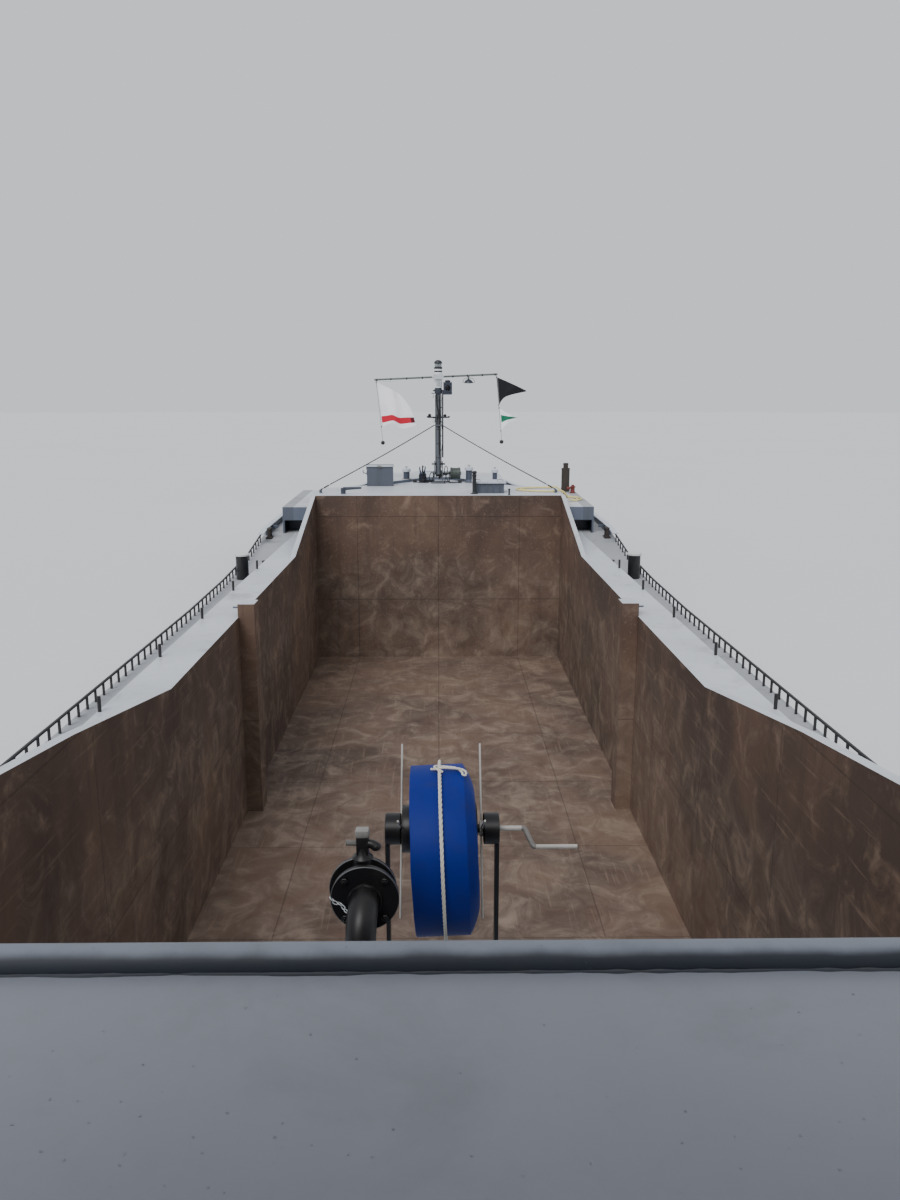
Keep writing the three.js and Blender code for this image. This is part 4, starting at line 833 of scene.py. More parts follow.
# Rain beads: flattened drops scattered over faces, more of them where the density attribute is high
def beadGroup():
    group, sockets, start, end = newGroup("rainBeads", [
        ("Density", "NodeSocketFloat"), ("Smallest", "NodeSocketFloat"), ("Largest", "NodeSocketFloat"),
        ("Seed", "NodeSocketInt"), ("Material", "NodeSocketMaterial")])
    wet = nodeWith(group, "GeometryNodeInputNamedAttribute", {"Name": "wet"}, data_type="FLOAT")
    density = mathNode(group, "MULTIPLY", wet.outputs[0], start.outputs["Density"])
    spots = nodeWith(group, "GeometryNodeDistributePointsOnFaces", {
        "Mesh": start.outputs["Geometry"], "Density": density, "Seed": start.outputs["Seed"]})
    drop = nodeWith(group, "GeometryNodeMeshIcoSphere", {"Radius": 1.0, "Subdivisions": 2})
    flat = nodeWith(group, "GeometryNodeTransform", {"Geometry": drop.outputs["Mesh"], "Scale": (1, 1, 0.45)})
    size = nodeWith(group, "FunctionNodeRandomValue", {"Seed": start.outputs["Seed"]}, data_type="FLOAT")
    group.links.new(start.outputs["Smallest"], size.inputs[2])
    group.links.new(start.outputs["Largest"], size.inputs[3])
    stamped = nodeWith(group, "GeometryNodeInstanceOnPoints", {
        "Points": spots.outputs["Points"], "Instance": flat.outputs[0], "Rotation": spots.outputs["Rotation"],
        "Scale": size.outputs[1]})
    smooth = nodeWith(group, "GeometryNodeSetShadeSmooth", {"Geometry": stamped.outputs[0]})
    closeGroup(group, start, end, smooth.outputs[0])
    return group, sockets


def grown(name, mesh, group, sockets, values, body):
    helper = bpy.data.objects.new(name + "Start", mesh)
    bpy.context.scene.collection.objects.link(helper)
    modifier = helper.modifiers.new("repeat", "NODES")
    modifier.node_group = group
    for label, value in values.items():
        modifier[sockets[label]] = value
    ready = bpy.data.meshes.new_from_object(
        helper.evaluated_get(bpy.context.evaluated_depsgraph_get()))
    ready.name = name
    bpy.data.objects.remove(helper)
    return placed(name, ready, body)


def pointMesh(name, spots):
    mesh = bpy.data.meshes.new(name)
    mesh.from_pydata([spot[:3] for spot in spots], [], [])
    facing = mesh.attributes.new("facing", "FLOAT_VECTOR", "POINT")
    facing.data.foreach_set("vector", [part for spot in spots for part in spot[3:]])
    return mesh


def lineMesh(name, line):
    mesh = bpy.data.meshes.new(name)
    links = [(index, index + 1) for index in range(len(line) - 1)]
    mesh.from_pydata([tuple(point) for point in line], links, [])
    return mesh


# Yellow wash-down hose: the route of the solid, two flat loops over the trunk and its starboard wing
hose = {"radius": 0.014, "centre": (2.2, 14.65), "reach": (0.69, 0.5), "steps": 70, "turns": 2,
        "startAngle": 0.85, "shrink": 0.24, "trunkHalf": 2.4, "fall": 0.26, "deckZ": 3.59,
        "wingZ": (3.375, 3.44), "wingY": (13.53, 16.4), "hump": 0.014, "humpWidth": 0.07, "seat": 0.006}


def wingLevel(y):
    share = (y - hose["wingY"][0]) / (hose["wingY"][1] - hose["wingY"][0])
    return hose["wingZ"][0] + (hose["wingZ"][1] - hose["wingZ"][0]) * share


def smoothed(value, low, high):
    part = min(1.0, max(0.0, (value - low) / (high - low)))
    return part * part * (3 - 2 * part)


def hoseRoute():
    route = []
    for index in range(hose["steps"] + 1):
        share = index / hose["steps"]
        angle = hose["startAngle"] - share * hose["turns"] * 2 * math.pi
        size = 1 - hose["shrink"] * share
        x = hose["centre"][0] + hose["reach"][0] * size * math.cos(angle)
        y = hose["centre"][1] + hose["reach"][1] * size * math.sin(angle)
        over = hose["hump"] * math.exp(-((x - hose["trunkHalf"]) / hose["humpWidth"]) ** 2)
        past = smoothed(x, hose["trunkHalf"], hose["trunkHalf"] + hose["fall"])
        level = hose["deckZ"] + (wingLevel(y) - hose["deckZ"]) * past
        route.append(Vector((x, y, level + hose["radius"] * 1.15 + hose["seat"] + over)))
    return route


def addDeckHose():
    route = hoseRoute()
    line = curved(route, 4)
    build = bmesh.new()
    addTube(build, line, hose["radius"], 14)
    piece = finished("wash_hose", build, hoseCoat("hoseYellowRubber"), "hull", sharp=60)
    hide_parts("deck_hose")
    tip, tail = route[-1], (route[-1] - route[-2]).normalized()
    fitting = bmesh.new()
    addTurned(fitting, [(0, 0.0004), (0.018, 0.0004), (0.018, 0.022), (0.0155, 0.026), (0.0155, 0.055),
                        (0.0175, 0.058), (0.0175, 0.066), (0.0125, 0.07), (0.0095, 0.125), (0.0105, 0.13),
                        (0, 0.13)], tip, tail, 20)
    nozzle = finished("spray_nozzle", fitting, ownFinish("hose_nozzle"), "hull")
    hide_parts("hose_nozzle")
    clamp = bmesh.new()
    ahead = (route[1] - route[0]).normalized()
    addTurned(clamp, [(0, -0.03), (0.0165, -0.03), (0.0175, -0.026), (0.0175, -0.006), (0.0165, -0.001),
                      (0, -0.001)], route[0], ahead, 18)
    finished("hose_clamp", clamp, steelBright, "hull")
    print("wash hose", round(lengthOf(line), 2), "m")


def hoseCoat(name):
    material, tree, shader = startMaterial(name, 0.4)
    place = objectPlace(tree)
    tint = mixed(tree, step(tree, cloud(tree, place, 1.2, 4.0), 0.35, 0.7), shade(226, 214, 146),
                 shade(204, 190, 118))
    scuffs = times(tree, step(tree, cloud(tree, place, 24.0, 7.0, 0.7), 0.55, 0.75), 0.45)
    feed(tree, shader.inputs["Base Color"], mixed(tree, scuffs, tint, shade(128, 116, 82)))
    feed(tree, shader.inputs["Roughness"], blendValue(tree, cloud(tree, place, 9.0), 0.32, 0.55))
    bumped(tree, shader, cloud(tree, place, 160.0, 3.0), 0.0006)
    return material


# Flags: corners of the hoist and the fly edge in the plane of the yard, and the depth of their waves
yardLine = 16.46
clothGrid = (44, 30)
clothGap = 0.006
halyardLines = {"port": ((-1.335, 5.79), (-1.205, 4.5)), "starboard": ((1.248, 5.905), (1.376, 4.52))}
flags = {
    "house_flag": {"replaces": "flag_white", "line": "port", "hoist": (5.744, 4.8), "top": [(-1.08, 5.63)],
                   "fly": [(-0.83, 5.49), (-0.67, 5.3), (-0.56, 5.1), (-0.485, 4.83)],
                   "foot": [(-0.98, 4.88), (-0.78, 4.76)], "waves": 2.6, "depth": 0.05},
    "black_pennant": {"replaces": "pennant_black", "line": "starboard", "hoist": (5.848, 5.264),
                      "top": [(1.52, 5.74)], "fly": [(1.90, 5.565), (1.90, 5.55)], "foot": [(1.46, 5.44)],
                      "waves": 2.2, "depth": 0.035},
    "small_pennant": {"replaces": "pennant_green", "line": "starboard", "hoist": (5.2, 4.715),
                      "top": [(1.52, 5.075)], "fly": [(1.73, 4.995), (1.73, 4.985)], "foot": [(1.5, 4.87)],
                      "waves": 2.4, "depth": 0.025},
}


def halyardX(line, z):
    (x0, z0), (x1, z1) = halyardLines[line]
    return x0 + (x1 - x0) * (z0 - z) / (z0 - z1)


def between(points, share):
    line = curved([Vector((x, 0, z)) for x, z in points], 12)
    total = lengthOf(line)
    walked = 0.0
    for before, after in zip(line, line[1:]):
        length = (after - before).length
        if walked + length >= share * total and length > 0:
            return before.lerp(after, (share * total - walked) / length)
        walked += length
    return line[-1]


# The cloth is spanned between its four edges, with folds that grow towards the fly
def addFlag(name, material):
    flag = flags[name]
    columns, rows = clothGrid
    top, foot = flag["hoist"]
    head, heel = [Vector((halyardX(flag["line"], z) + clothGap, 0, z)) for z in (top, foot)]
    upper = [(head.x, head.z)] + flag["top"] + [flag["fly"][0]]
    lower = [(heel.x, heel.z)] + flag["foot"] + [flag["fly"][-1]]
    peak, clew = between(flag["fly"], 0.0), between(flag["fly"], 1.0)
    build = bmesh.new()
    grain = build.loops.layers.uv.new("cloth")
    grid, spots = [], {}
    for column in range(columns + 1):
        share = column / columns
        high, low = between(upper, share), between(lower, share)
        line = []
        for row in range(rows + 1):
            part = row / rows
            ends = head.lerp(heel, part).lerp(between(flag["fly"], part), share)
            spot = high.lerp(low, part) + ends - head.lerp(heel, part).lerp(peak.lerp(clew, part), share)
            fold = math.sin(share * math.pi * flag["waves"] + part * 1.7) * share ** 0.8
            ripple = 0.3 * math.sin(share * 17 + part * 5.0) * share * (1 - 0.4 * part)
            slack = 0.35 + 0.65 * math.sin(math.pi * min(1.0, 0.25 + 0.6 * part))
            spot.y = yardLine + flag["depth"] * (fold + ripple) * slack
            vert = build.verts.new(spot)
            spots[vert] = (share, 1 - part)
            line.append(vert)
        grid.append(line)
    for before, after in zip(grid, grid[1:]):
        for row in range(rows):
            face = build.faces.new((before[row], before[row + 1], after[row + 1], after[row]))
            for loop in face.loops:
                loop[grain].uv = spots[loop.vert]
    bmesh.ops.remove_doubles(build, verts=build.verts, dist=1e-5)
    area = sum(face.calc_area() for face in build.faces)
    piece = finished(name, build, material, "foremast", sharp=180)
    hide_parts(flag["replaces"])


# Flag cloth: fine weave, a hem along the hoist, and one plain band of a second colour
def flagCloth(name, colour, band=None, bandColour=None):
    material, tree, shader = startMaterial(name, 0.2)
    spot = tree.nodes.new("ShaderNodeUVMap")
    spot.uv_map = "cloth"
    u, v = axes(tree, spot.outputs["UV"])[:2]
    tint = colour
    if band:
        wave = times(tree, calc(tree, "SINE", times(tree, u, 6.6)), band["wave"])
        waved = calc(tree, "ADD", v, wave)
        inside = times(tree, over(tree, waved, band["low"]), under(tree, waved, band["high"]))
        inside = times(tree, inside, over(tree, u, band["start"]))
        tint = mixed(tree, inside, colour, bandColour)
        if "tipColour" in band:
            tint = mixed(tree, times(tree, inside, over(tree, u, 0.9)), tint, band["tipColour"])
    tint = mixed(tree, times(tree, under(tree, u, 0.035), 0.35), tint, shade(150, 150, 152))
    soiled = times(tree, step(tree, cloud(tree, objectPlace(tree), 2.4, 5.0), 0.5, 0.8), 0.18)
    feed(tree, shader.inputs["Base Color"], mixed(tree, soiled, tint, grimeColour))
    shader.inputs["Roughness"].default_value = 0.85
    shader.inputs["Sheen Weight"].default_value = 0.15
    weave = tree.nodes.new("ShaderNodeTexWave")
    weave.inputs["Scale"].default_value = 260.0
    tree.links.new(objectPlace(tree), weave.inputs["Vector"])
    bumped(tree, shader, weave.outputs["Fac"], 0.0003, 0.6)
    return material


def addFlags():
    cloths = {
        "house_flag": (flagCloth("flagWhite", shade(250, 248, 252),
                                 {"low": 0.09, "high": 0.24, "wave": 0.03, "start": 0.03,
                                  "tipColour": shade(92, 22, 34)}, shade(196, 40, 58)), "flag_cloth"),
        "black_pennant": (flagCloth("flagBlack", shade(30, 30, 34)), "flag_black_cloth"),
        "small_pennant": (flagCloth("flagGreen", shade(248, 249, 250),
                                    {"low": 0.36, "high": 0.72, "wave": 0.02, "start": 0.06},
                                    shade(28, 112, 84)), "flag_cloth"),
    }
    for name, (material, slotName) in cloths.items():
        addFlag(name, material)
    build = bmesh.new()
    for flag in flags.values():
        for z in flag["hoist"]:
            addTurned(build, [(0.004, -0.014), (0.012, -0.012), (0.012, 0.012), (0.004, 0.014)],
                      (halyardX(flag["line"], z), yardLine, z), (0, 0, 1), 10)
    finished("flag_toggles", build, plasticBlack, "foremast")
    print("flags hung")


# Stays: laid wire from the deck eyes to the mast, with a turnbuckle at the foot
stays = {"foot": (2.29, 14.15, 3.65), "head": (0.0864, 16.284, 4.837), "radius": 0.0105, "sag": 0.02,
         "screw": 0.3}


def addStays():
    for side, sign in bothSides:
        foot = Vector((stays["foot"][0] * sign, *stays["foot"][1:]))
        head = Vector((stays["head"][0] * sign, *stays["head"][1:]))
        along = (head - foot).normalized()
        start = foot + along * stays["screw"]
        line = []
        for index in range(61):
            share = index / 60
            spot = start.lerp(head, share)
            spot.z -= stays["sag"] * math.sin(math.pi * share)
            line.append(spot)
        build = bmesh.new()
        addRope(build, line, stays["radius"], 4, lay=26.0)
        piece = finished(f"stay_wire_{side}", build, wireDark, None, sharp=60)
        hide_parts(f"foremast_stay_{side}")
        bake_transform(piece)
        screw = bmesh.new()
        addTurned(screw, [(0, 0.0), (0.013, 0.0), (0.013, 0.035), (0.006, 0.045), (0.006, 0.085),
                          (0.014, 0.09), (0.014, 0.2), (0.006, 0.205), (0.006, 0.25), (0.011, 0.26),
                          (0.011, 0.3), (0, 0.3)], foot, along, 14)
        across = along.cross(Vector((0, 0, 1))).normalized()
        for shift in (-0.011, 0.011):
            addTube(screw, [foot + across * shift + along * part for part in (0.09, 0.2)], 0.004, 8)
        addTube(screw, circle(foot - Vector((0, 0, 0.012)), 0.02, 16, "X"), 0.005, 8, closed=True)
        finished(f"stay_turnbuckle_{side}", screw, railRust, "hull")
    print("stays rigged")


# Foremast: the heights and lines that the lantern, head box and lamps on it share
mast = {"y": 16.35, "base": 5.6203, "headBox": (5.494, 5.62), "yardY": 16.46, "yardZ": 5.85,
        "yardSlope": 0.0447, "yardEnds": ((-1.355, 5.793), (1.26, 5.91))}
yardLamp = {"x": 0.655, "z": 5.745}


def addLantern():
    x, y, base = 0.0, mast["y"], mast["base"]
    column = bmesh.new()
    addTurned(column, [(0, 0), (0.074, 0), (0.078, 0.012), (0.0825, 0.3), (0.0825, 0.325), (0.07, 0.332),
                       (0.07, 0.35), (0, 0.35)], (x, y, base), sides=40)
    piece = finished("lantern_column", column, lanternWhite, "foremast")
    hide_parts("mast_lantern")
    rings = bmesh.new()
    for low, high, radius in ((0.33, 0.356, 0.0875), (0.392, 0.436, 0.0875)):
        addTurned(rings, [(0, low), (radius - 0.004, low), (radius, low + 0.004), (radius, high - 0.004),
                          (radius - 0.004, high), (0, high)], (x, y, base), sides=40)
    addTurned(rings, [(0, 0.508), (0.088, 0.508), (0.09, 0.514), (0.086, 0.53), (0.07, 0.556), (0.04, 0.575),
                      (0, 0.582)], (x, y, base), sides=40)
    for shift in range(3):
        angle = math.radians(30 + 120 * shift)
        spot = Vector((x + 0.079 * math.cos(angle), y + 0.079 * math.sin(angle), base))
        addTube(rings, [spot + Vector((0, 0, 0.42)), spot + Vector((0, 0, 0.515))], 0.004, 8)
    finished("lantern_rings", rings, plasticBlack, "foremast")
    light = bmesh.new()
    addTurned(light, [(0, 0.352), (0.081, 0.352), (0.084, 0.358), (0.084, 0.388), (0.081, 0.394), (0, 0.394)],
              (x, y, base), sides=40)
    finished("lantern_band", light, lanternWhite, "foremast")
    lens = bmesh.new()
    profile = [(0.062, 0.434)]
    for index in range(9):
        z = 0.438 + index * 0.0076
        profile += [(0.071, z), (0.075, z + 0.0038)]
    profile += [(0.062, 0.508), (0.05, 0.508), (0.05, 0.434)]
    addTurned(lens, profile, (x, y, base), sides=40)
    finished("lantern_lens", lens, lensGrey, "foremast")
    slats = bmesh.new()
    for shift in (-0.028, 0.0, 0.028):
        left = x + shift - 0.006
        addBox(slats, (left, y - 0.086, base + 0.03), (left + 0.012, y - 0.07, base + 0.27), 0.002)
    finished("lantern_slats", slats, plasticGrey, "foremast")


def addMastHead():
    y = mast["y"]
    low, high = mast["headBox"]
    box = bmesh.new()
    addTurned(box, [(0.0575, low), (0.076, low + 0.004), (0.079, low + 0.02), (0.079, high - 0.03),
                    (0.074, high - 0.002), (0.0575, high - 0.002)], (0, y, 0), sides=32)
    for sign in (-1, 1):
        addTurned(box, [(0, 0), (0.018, 0), (0.018, 0.022), (0.012, 0.026), (0.012, 0.04), (0, 0.04)],
                  (sign * 0.076, y - 0.01, 5.565), (sign, 0, 0), 16)
    addTurned(box, [(0.02, 0), (0.05, 0.004), (0.062, 0.02), (0.055, 0.036), (0.03, 0.046), (0, 0.05)],
              (0.2025, y, 5.7395), sides=28)
    for z in (5.52, 5.61, 5.70):
        addBox(box, (0.112, y - 0.066, z), (0.293, y - 0.058, z + 0.012), 0.002)
    finished("mast_head", box, lampNavy, "foremast")
    glass = bmesh.new()
    addTurned(glass, [(0, 0), (0.052, 0), (0.055, 0.006), (0.05, 0.018), (0.03, 0.027), (0, 0.03)],
              (0.2025, y - 0.06, 5.62), (0, -1, 0), 30)
    finished("mast_lamp_glass", glass, lensClear, "foremast")


def addYardLamps():
    y, slope = mast["yardY"], mast["yardSlope"]
    x, z = yardLamp["x"], yardLamp["z"]
    hood = bmesh.new()
    addTurned(hood, [(0, 0.062), (0.02, 0.06), (0.05, 0.046), (0.078, 0.018), (0.096, -0.008), (0.1, -0.022),
                     (0.094, -0.022), (0.07, 0.004), (0, 0.02)], (x, y, z), sides=32)
    finished("yard_lamp_hood", hood, lampNavy, "foremast")
    strap = bmesh.new()
    half, low = 0.12, z - 0.01
    bow = [(-half, low), (-0.115, z + 0.04), (-0.075, z + 0.077), (0, z + 0.085), (0.075, z + 0.077),
           (0.115, z + 0.04), (half, low)]
    addTube(strap, curved([(x + shift, y, level) for shift, level in bow], 5), 0.006, 8)
    addTube(strap, [(x - half, y, low), (x + half, y, low)], 0.005, 8)
    addTurned(strap, [(0, 0), (0.014, 0), (0.014, 0.045), (0, 0.045)], (x, y, z + 0.081), sides=14)
    finished("yard_lamp_strap", strap, steelDull, "foremast")
    bulb = bmesh.new()
    addTurned(bulb, [(0, -0.03), (0.03, -0.028), (0.052, -0.014), (0.06, 0.0), (0.055, 0.01), (0, 0.012)],
              (x, y, z), sides=26)
    finished("yard_lamp_bulb", bulb, lensClear, "foremast")
    strip = bmesh.new()
    addTurned(strip, [(0, 0), (0.011, 0.002), (0.013, 0.01), (0.013, 0.27), (0.011, 0.278), (0, 0.28)],
              (-1.22, y - 0.022, 5.762), (1, 0, 0.045), 16)
    finished("yard_strip_lamp", strip, lanternWhite, "foremast")
    for (side, sign), (reach, level) in zip(bothSides, mast["yardEnds"]):
        clips = bmesh.new()
        for share in (0.25, 0.5, 0.75, 0.97):
            spot = reach * share
            addTurned(clips, [(0.02, -0.012), (0.026, -0.012), (0.026, 0.012), (0.02, 0.012)],
                      (spot, y, mast["yardZ"] + spot * slope), (1, 0, slope), 18)
        addTurned(clips, [(0, 0), (0.022, 0.0), (0.022, 0.006), (0.016, 0.012), (0, 0.014)],
                  (reach, y, level), (sign, 0, sign * slope), 18)
        finished(f"yard_clips_{side}", clips, plasticBlack, "foremast")


# Dark lamps on the cross arm: x, z, radius and length
armLamps = [(-0.185, 5.045, 0.034, 0.09), (0.145, 5.04, 0.03, 0.085)]
# Upright white lamps beside the mast: x and middle height
whiteLamps = [(-0.094, 4.945), (-0.122, 5.462)]


def addArmLamps():
    y = mast["y"]
    dark, white, glass = bmesh.new(), bmesh.new(), bmesh.new()
    for x, z in whiteLamps:
        addTurned(white, [(0, -0.054), (0.018, -0.052), (0.027, -0.036), (0.029, 0.02), (0.024, 0.036),
                          (0, 0.038)], (x, y - 0.02, z), sides=20)
        addTurned(dark, [(0, 0.036), (0.023, 0.037), (0.023, 0.05), (0.012, 0.056), (0, 0.056)],
                  (x, y - 0.02, z), sides=20)
        addBox(dark, (x, y - 0.028, z + 0.04), (-0.03, y - 0.012, z + 0.052), 0.003)
    for x, z, radius, length in armLamps:
        addTurned(dark, [(0, 0), (radius * 0.5, 0.002), (radius * 0.8, length * 0.2), (radius, length * 0.7),
                         (radius * 1.08, length * 0.72), (radius * 1.08, length), (radius * 0.96, length),
                         (radius * 0.9, length * 0.84), (0, length * 0.8)], (x, y - 0.02, z), (0, -1, 0), 24)
        addBox(dark, (x - 0.007, y - 0.03, min(z, 5.0)), (x + 0.007, y - 0.012, max(z, 4.995)), 0.002)
        addTurned(glass, [(0, 0), (radius * 0.92, 0), (radius * 0.8, 0.006), (0, 0.01)],
                  (x, y - 0.02 - length * 0.86, z), (0, -1, 0), 24)
    for x in (-0.25, 0.2):
        addBox(dark, (x, y - 0.03, 5.004), (x + 0.05, y + 0.03, 5.03), 0.003)
    finished("arm_lamps_dark", dark, plasticBlack, "foremast")
    finished("arm_lamp_white", white, lanternWhite, "foremast")
    finished("arm_lamp_glass", glass, lensClear, "foremast")


# Rungs between the mast and its second tube, and the cables that run up it
mastRungs = {"from": 4.2, "to": 5.44, "gap": 0.1, "x": 0.075, "radius": 0.0105, "half": 0.034}
mastCables = [
    (0.006, [(-0.062, 16.318, 3.80), (-0.064, 16.315, 4.4), (-0.061, 16.318, 5.0), (-0.063, 16.318, 5.48)]),
    (0.007, [(0.04, 16.292, 3.92), (0.045, 16.296, 4.5), (0.036, 16.298, 5.1), (0.05, 16.31, 5.5)]),
    (0.005, [(0.068, 16.33, 3.93), (0.07, 16.318, 4.3), (0.1, 16.30, 4.62), (0.064, 16.32, 4.9),
             (0.07, 16.33, 5.48)]),
    (0.005, [(0.018, 16.288, 4.2), (0.012, 16.286, 4.8), (0.022, 16.288, 5.2), (0.014, 16.286, 5.49)]),
    (0.0105, [(-0.04, 16.296, 5.49), (-0.036, 16.291, 5.3), (-0.008, 16.284, 5.12), (0.024, 16.283, 4.95),
              (0.036, 16.288, 4.8), (0.04, 16.293, 4.3), (0.046, 16.3, 3.95)]),
    (0.0095, [(-0.028, 16.287, 5.49), (-0.02, 16.284, 5.24), (0.008, 16.276, 5.1), (-0.024, 16.284, 4.96),
              (-0.034, 16.29, 4.82)]),
    (0.009, [(0.046, 16.302, 5.46), (0.03, 16.288, 5.22), (-0.012, 16.272, 5.06), (-0.03, 16.285, 4.88),
             (0.006, 16.281, 4.78)]),
]


def addMastRungs(along, sockets):
    y, half = mast["y"], mastRungs["half"]
    rung = bmesh.new()
    addTube(rung, [(0, -half, 0), (0, half, 0)], mastRungs["radius"], 8)
    shape = hiddenShape("rungShape", rung)
    line = [(mastRungs["x"], y, mastRungs["from"]), (mastRungs["x"], y, mastRungs["to"])]
    grown("mast_rungs", lineMesh("rungLine", line), along, sockets,
          {"Shape": shape, "Gap": mastRungs["gap"], "Twist": 0.0, "Material": steelBright}, "foremast")
    bpy.data.objects.remove(shape)
    cables = bmesh.new()
    for radius, points in mastCables:
        addTube(cables, curved(points, 10), radius, 8)
    for z in (4.15, 4.45, 4.75, 5.05, 5.35):
        addTube(cables, circle((0, y, z), 0.064, 28), 0.004, 6, closed=True)
    finished("mast_cables", cables, rubberBlack, "foremast")
    bolts = bmesh.new()
    for sign in (-1, 1):
        addTurned(bolts, [(0, 0), (0.024, 0), (0.024, 0.012), (0.014, 0.014), (0.014, 0.024), (0, 0.024)],
                  (sign * 0.124, y, 4.01), (sign, 0, 0), 6)
    finished("mast_pin_nuts", bolts, steelDull, "hull")


# Cable loops that stand at the mast's heel on the deck
heelCables = [
    [(-0.16, 16.30, 3.612), (-0.2, 16.26, 3.72), (-0.15, 16.24, 3.84), (-0.11, 16.27, 3.78),
     (-0.14, 16.3, 3.66), (-0.22, 16.32, 3.612), (-0.36, 16.42, 3.602), (-0.5, 16.58, 3.602)],
    [(0.13, 16.24, 3.612), (0.16, 16.22, 3.74), (0.2, 16.24, 3.9), (0.16, 16.25, 3.97), (0.13, 16.23, 3.88),
     (0.16, 16.22, 3.76), (0.21, 16.24, 3.64), (0.28, 16.36, 3.602), (0.45, 16.45, 3.602)],
]


def addHeelCables():
    build = bmesh.new()
    for points in heelCables:
        addTube(build, curved(points, 8), 0.009, 8)
    for x, y in ((-0.52, 16.59), (0.47, 16.45)):
        addBox(build, (x - 0.04, y - 0.04, 3.591), (x + 0.04, y + 0.04, 3.65), 0.006)
    finished("heel_cables", build, rubberBlack, "hull")


# Vents of the foredeck: x, y, radius, height, and the level of the deck under them
vents = [(-0.71, 16.8, 0.088, 0.218, 3.65), (0.67, 16.5, 0.086, 0.33, 3.59),
         (1.235, 16.45, 0.065, 0.222, 3.65)]


def addVentCaps():
    caps, wheels = bmesh.new(), bmesh.new()
    for x, y, radius, height, deck in vents:
        top, wheel = deck + height, radius * 0.42
        addTurned(caps, [(radius + 0.001, -0.056), (radius + 0.006, -0.056), (radius + 0.008, -0.05),
                         (radius + 0.008, 0.004), (radius - 0.004, 0.014), (radius * 0.5, 0.021), (0, 0.024)],
                  (x, y, top), sides=36)
        middle = Vector((x, y, top + 0.05))
        addTube(wheels, circle(middle, wheel, 20), 0.005, 8, closed=True)
        for angle in (0.4, 0.4 + math.pi / 2):
            reach = Vector((math.cos(angle), math.sin(angle), 0)) * wheel
            addTube(wheels, [middle - reach, middle + reach], 0.004, 6)
        addTurned(wheels, [(0.009, 0.018), (0.009, 0.055), (0.005, 0.06), (0, 0.06)], (x, y, top), sides=12)
        addTurned(wheels, [(radius * 0.8, 0.0), (radius * 1.25, 0.0), (radius * 1.25, 0.008),
                           (radius * 0.8, 0.01)], (x, y, deck), sides=30)
    finished("vent_caps", caps, deckPaleCoat, "hull")
    finished("vent_wheels", wheels, steelDull, "hull")


# Deck locker: its solid's corners, with hinge leaves, lid rim, latch, hook and welds about them
locker = {"low": (-1.5, 15.63, 3.596), "high": (-0.96, 15.93, 3.996)}


def addLockerGear():
    low, high = Vector(locker["low"]), Vector(locker["high"])
    gear = bmesh.new()
    for y in (15.7, 15.86):
        addTurned(gear, [(0.009, -0.02), (0.013, -0.02), (0.013, 0.02), (0.009, 0.02)],
                  (low.x - 0.021, y, 4.0203), (0, 1, 0), 14)
        addBox(gear, (low.x - 0.019, y - 0.018, 3.93), (low.x - 0.0005, y + 0.018, 4.012), 0.002)
    finished("locker_hinge_leaves", gear, steelDull, "hull")
    rim = bmesh.new()
    addFrame(rim, (low.x - 0.014, low.y - 0.014, 4.0135), (high.x + 0.014, high.y + 0.014, 4.0135), 0.014,
             0.032, "Z", 0.018)
    finished("locker_lid_rim", rim, deckPaleCoat, "locker_lid")
    latch = bmesh.new()
    addBox(latch, (-1.27, 15.604, 3.985), (-1.19, 15.6135, 4.02), 0.003)
    addTube(latch, curved([(-1.27, 15.602, 4.006), (-1.26, 15.575, 4.0), (-1.2, 15.575, 4.0),
                           (-1.19, 15.602, 4.006)], 6), 0.005, 8)
    finished("locker_latch", latch, steelDull, "locker_lid")
    hook = bmesh.new()
    addTube(hook, curved([(-1.503, 15.66, 3.86), (-1.53, 15.655, 3.858), (-1.57, 15.65, 3.868),
                          (-1.585, 15.648, 3.9), (-1.575, 15.645, 3.925)], 6), 0.008, 8)
    addBox(hook, (low.x - 0.01, 15.635, 3.82), (low.x - 0.0005, 15.685, 3.9), 0.002)
    finished("locker_hook", hook, plasticBlack, "hull")
    seams = bmesh.new()
    for x in (low.x + 0.001, high.x - 0.001):
        addTube(seams, evenly([Vector((x, low.y - 0.001, low.z)), Vector((x, low.y - 0.001, high.z))], 0.02),
                0.0035, 6)
    addFrame(seams, (low.x - 0.003, low.y - 0.003, 3.5945), (high.x + 0.003, high.y + 0.003, 3.5945), 0.008,
             0.008, "Z", 0.01)
    finished("locker_welds", seams, deckBlueCoat, "hull")


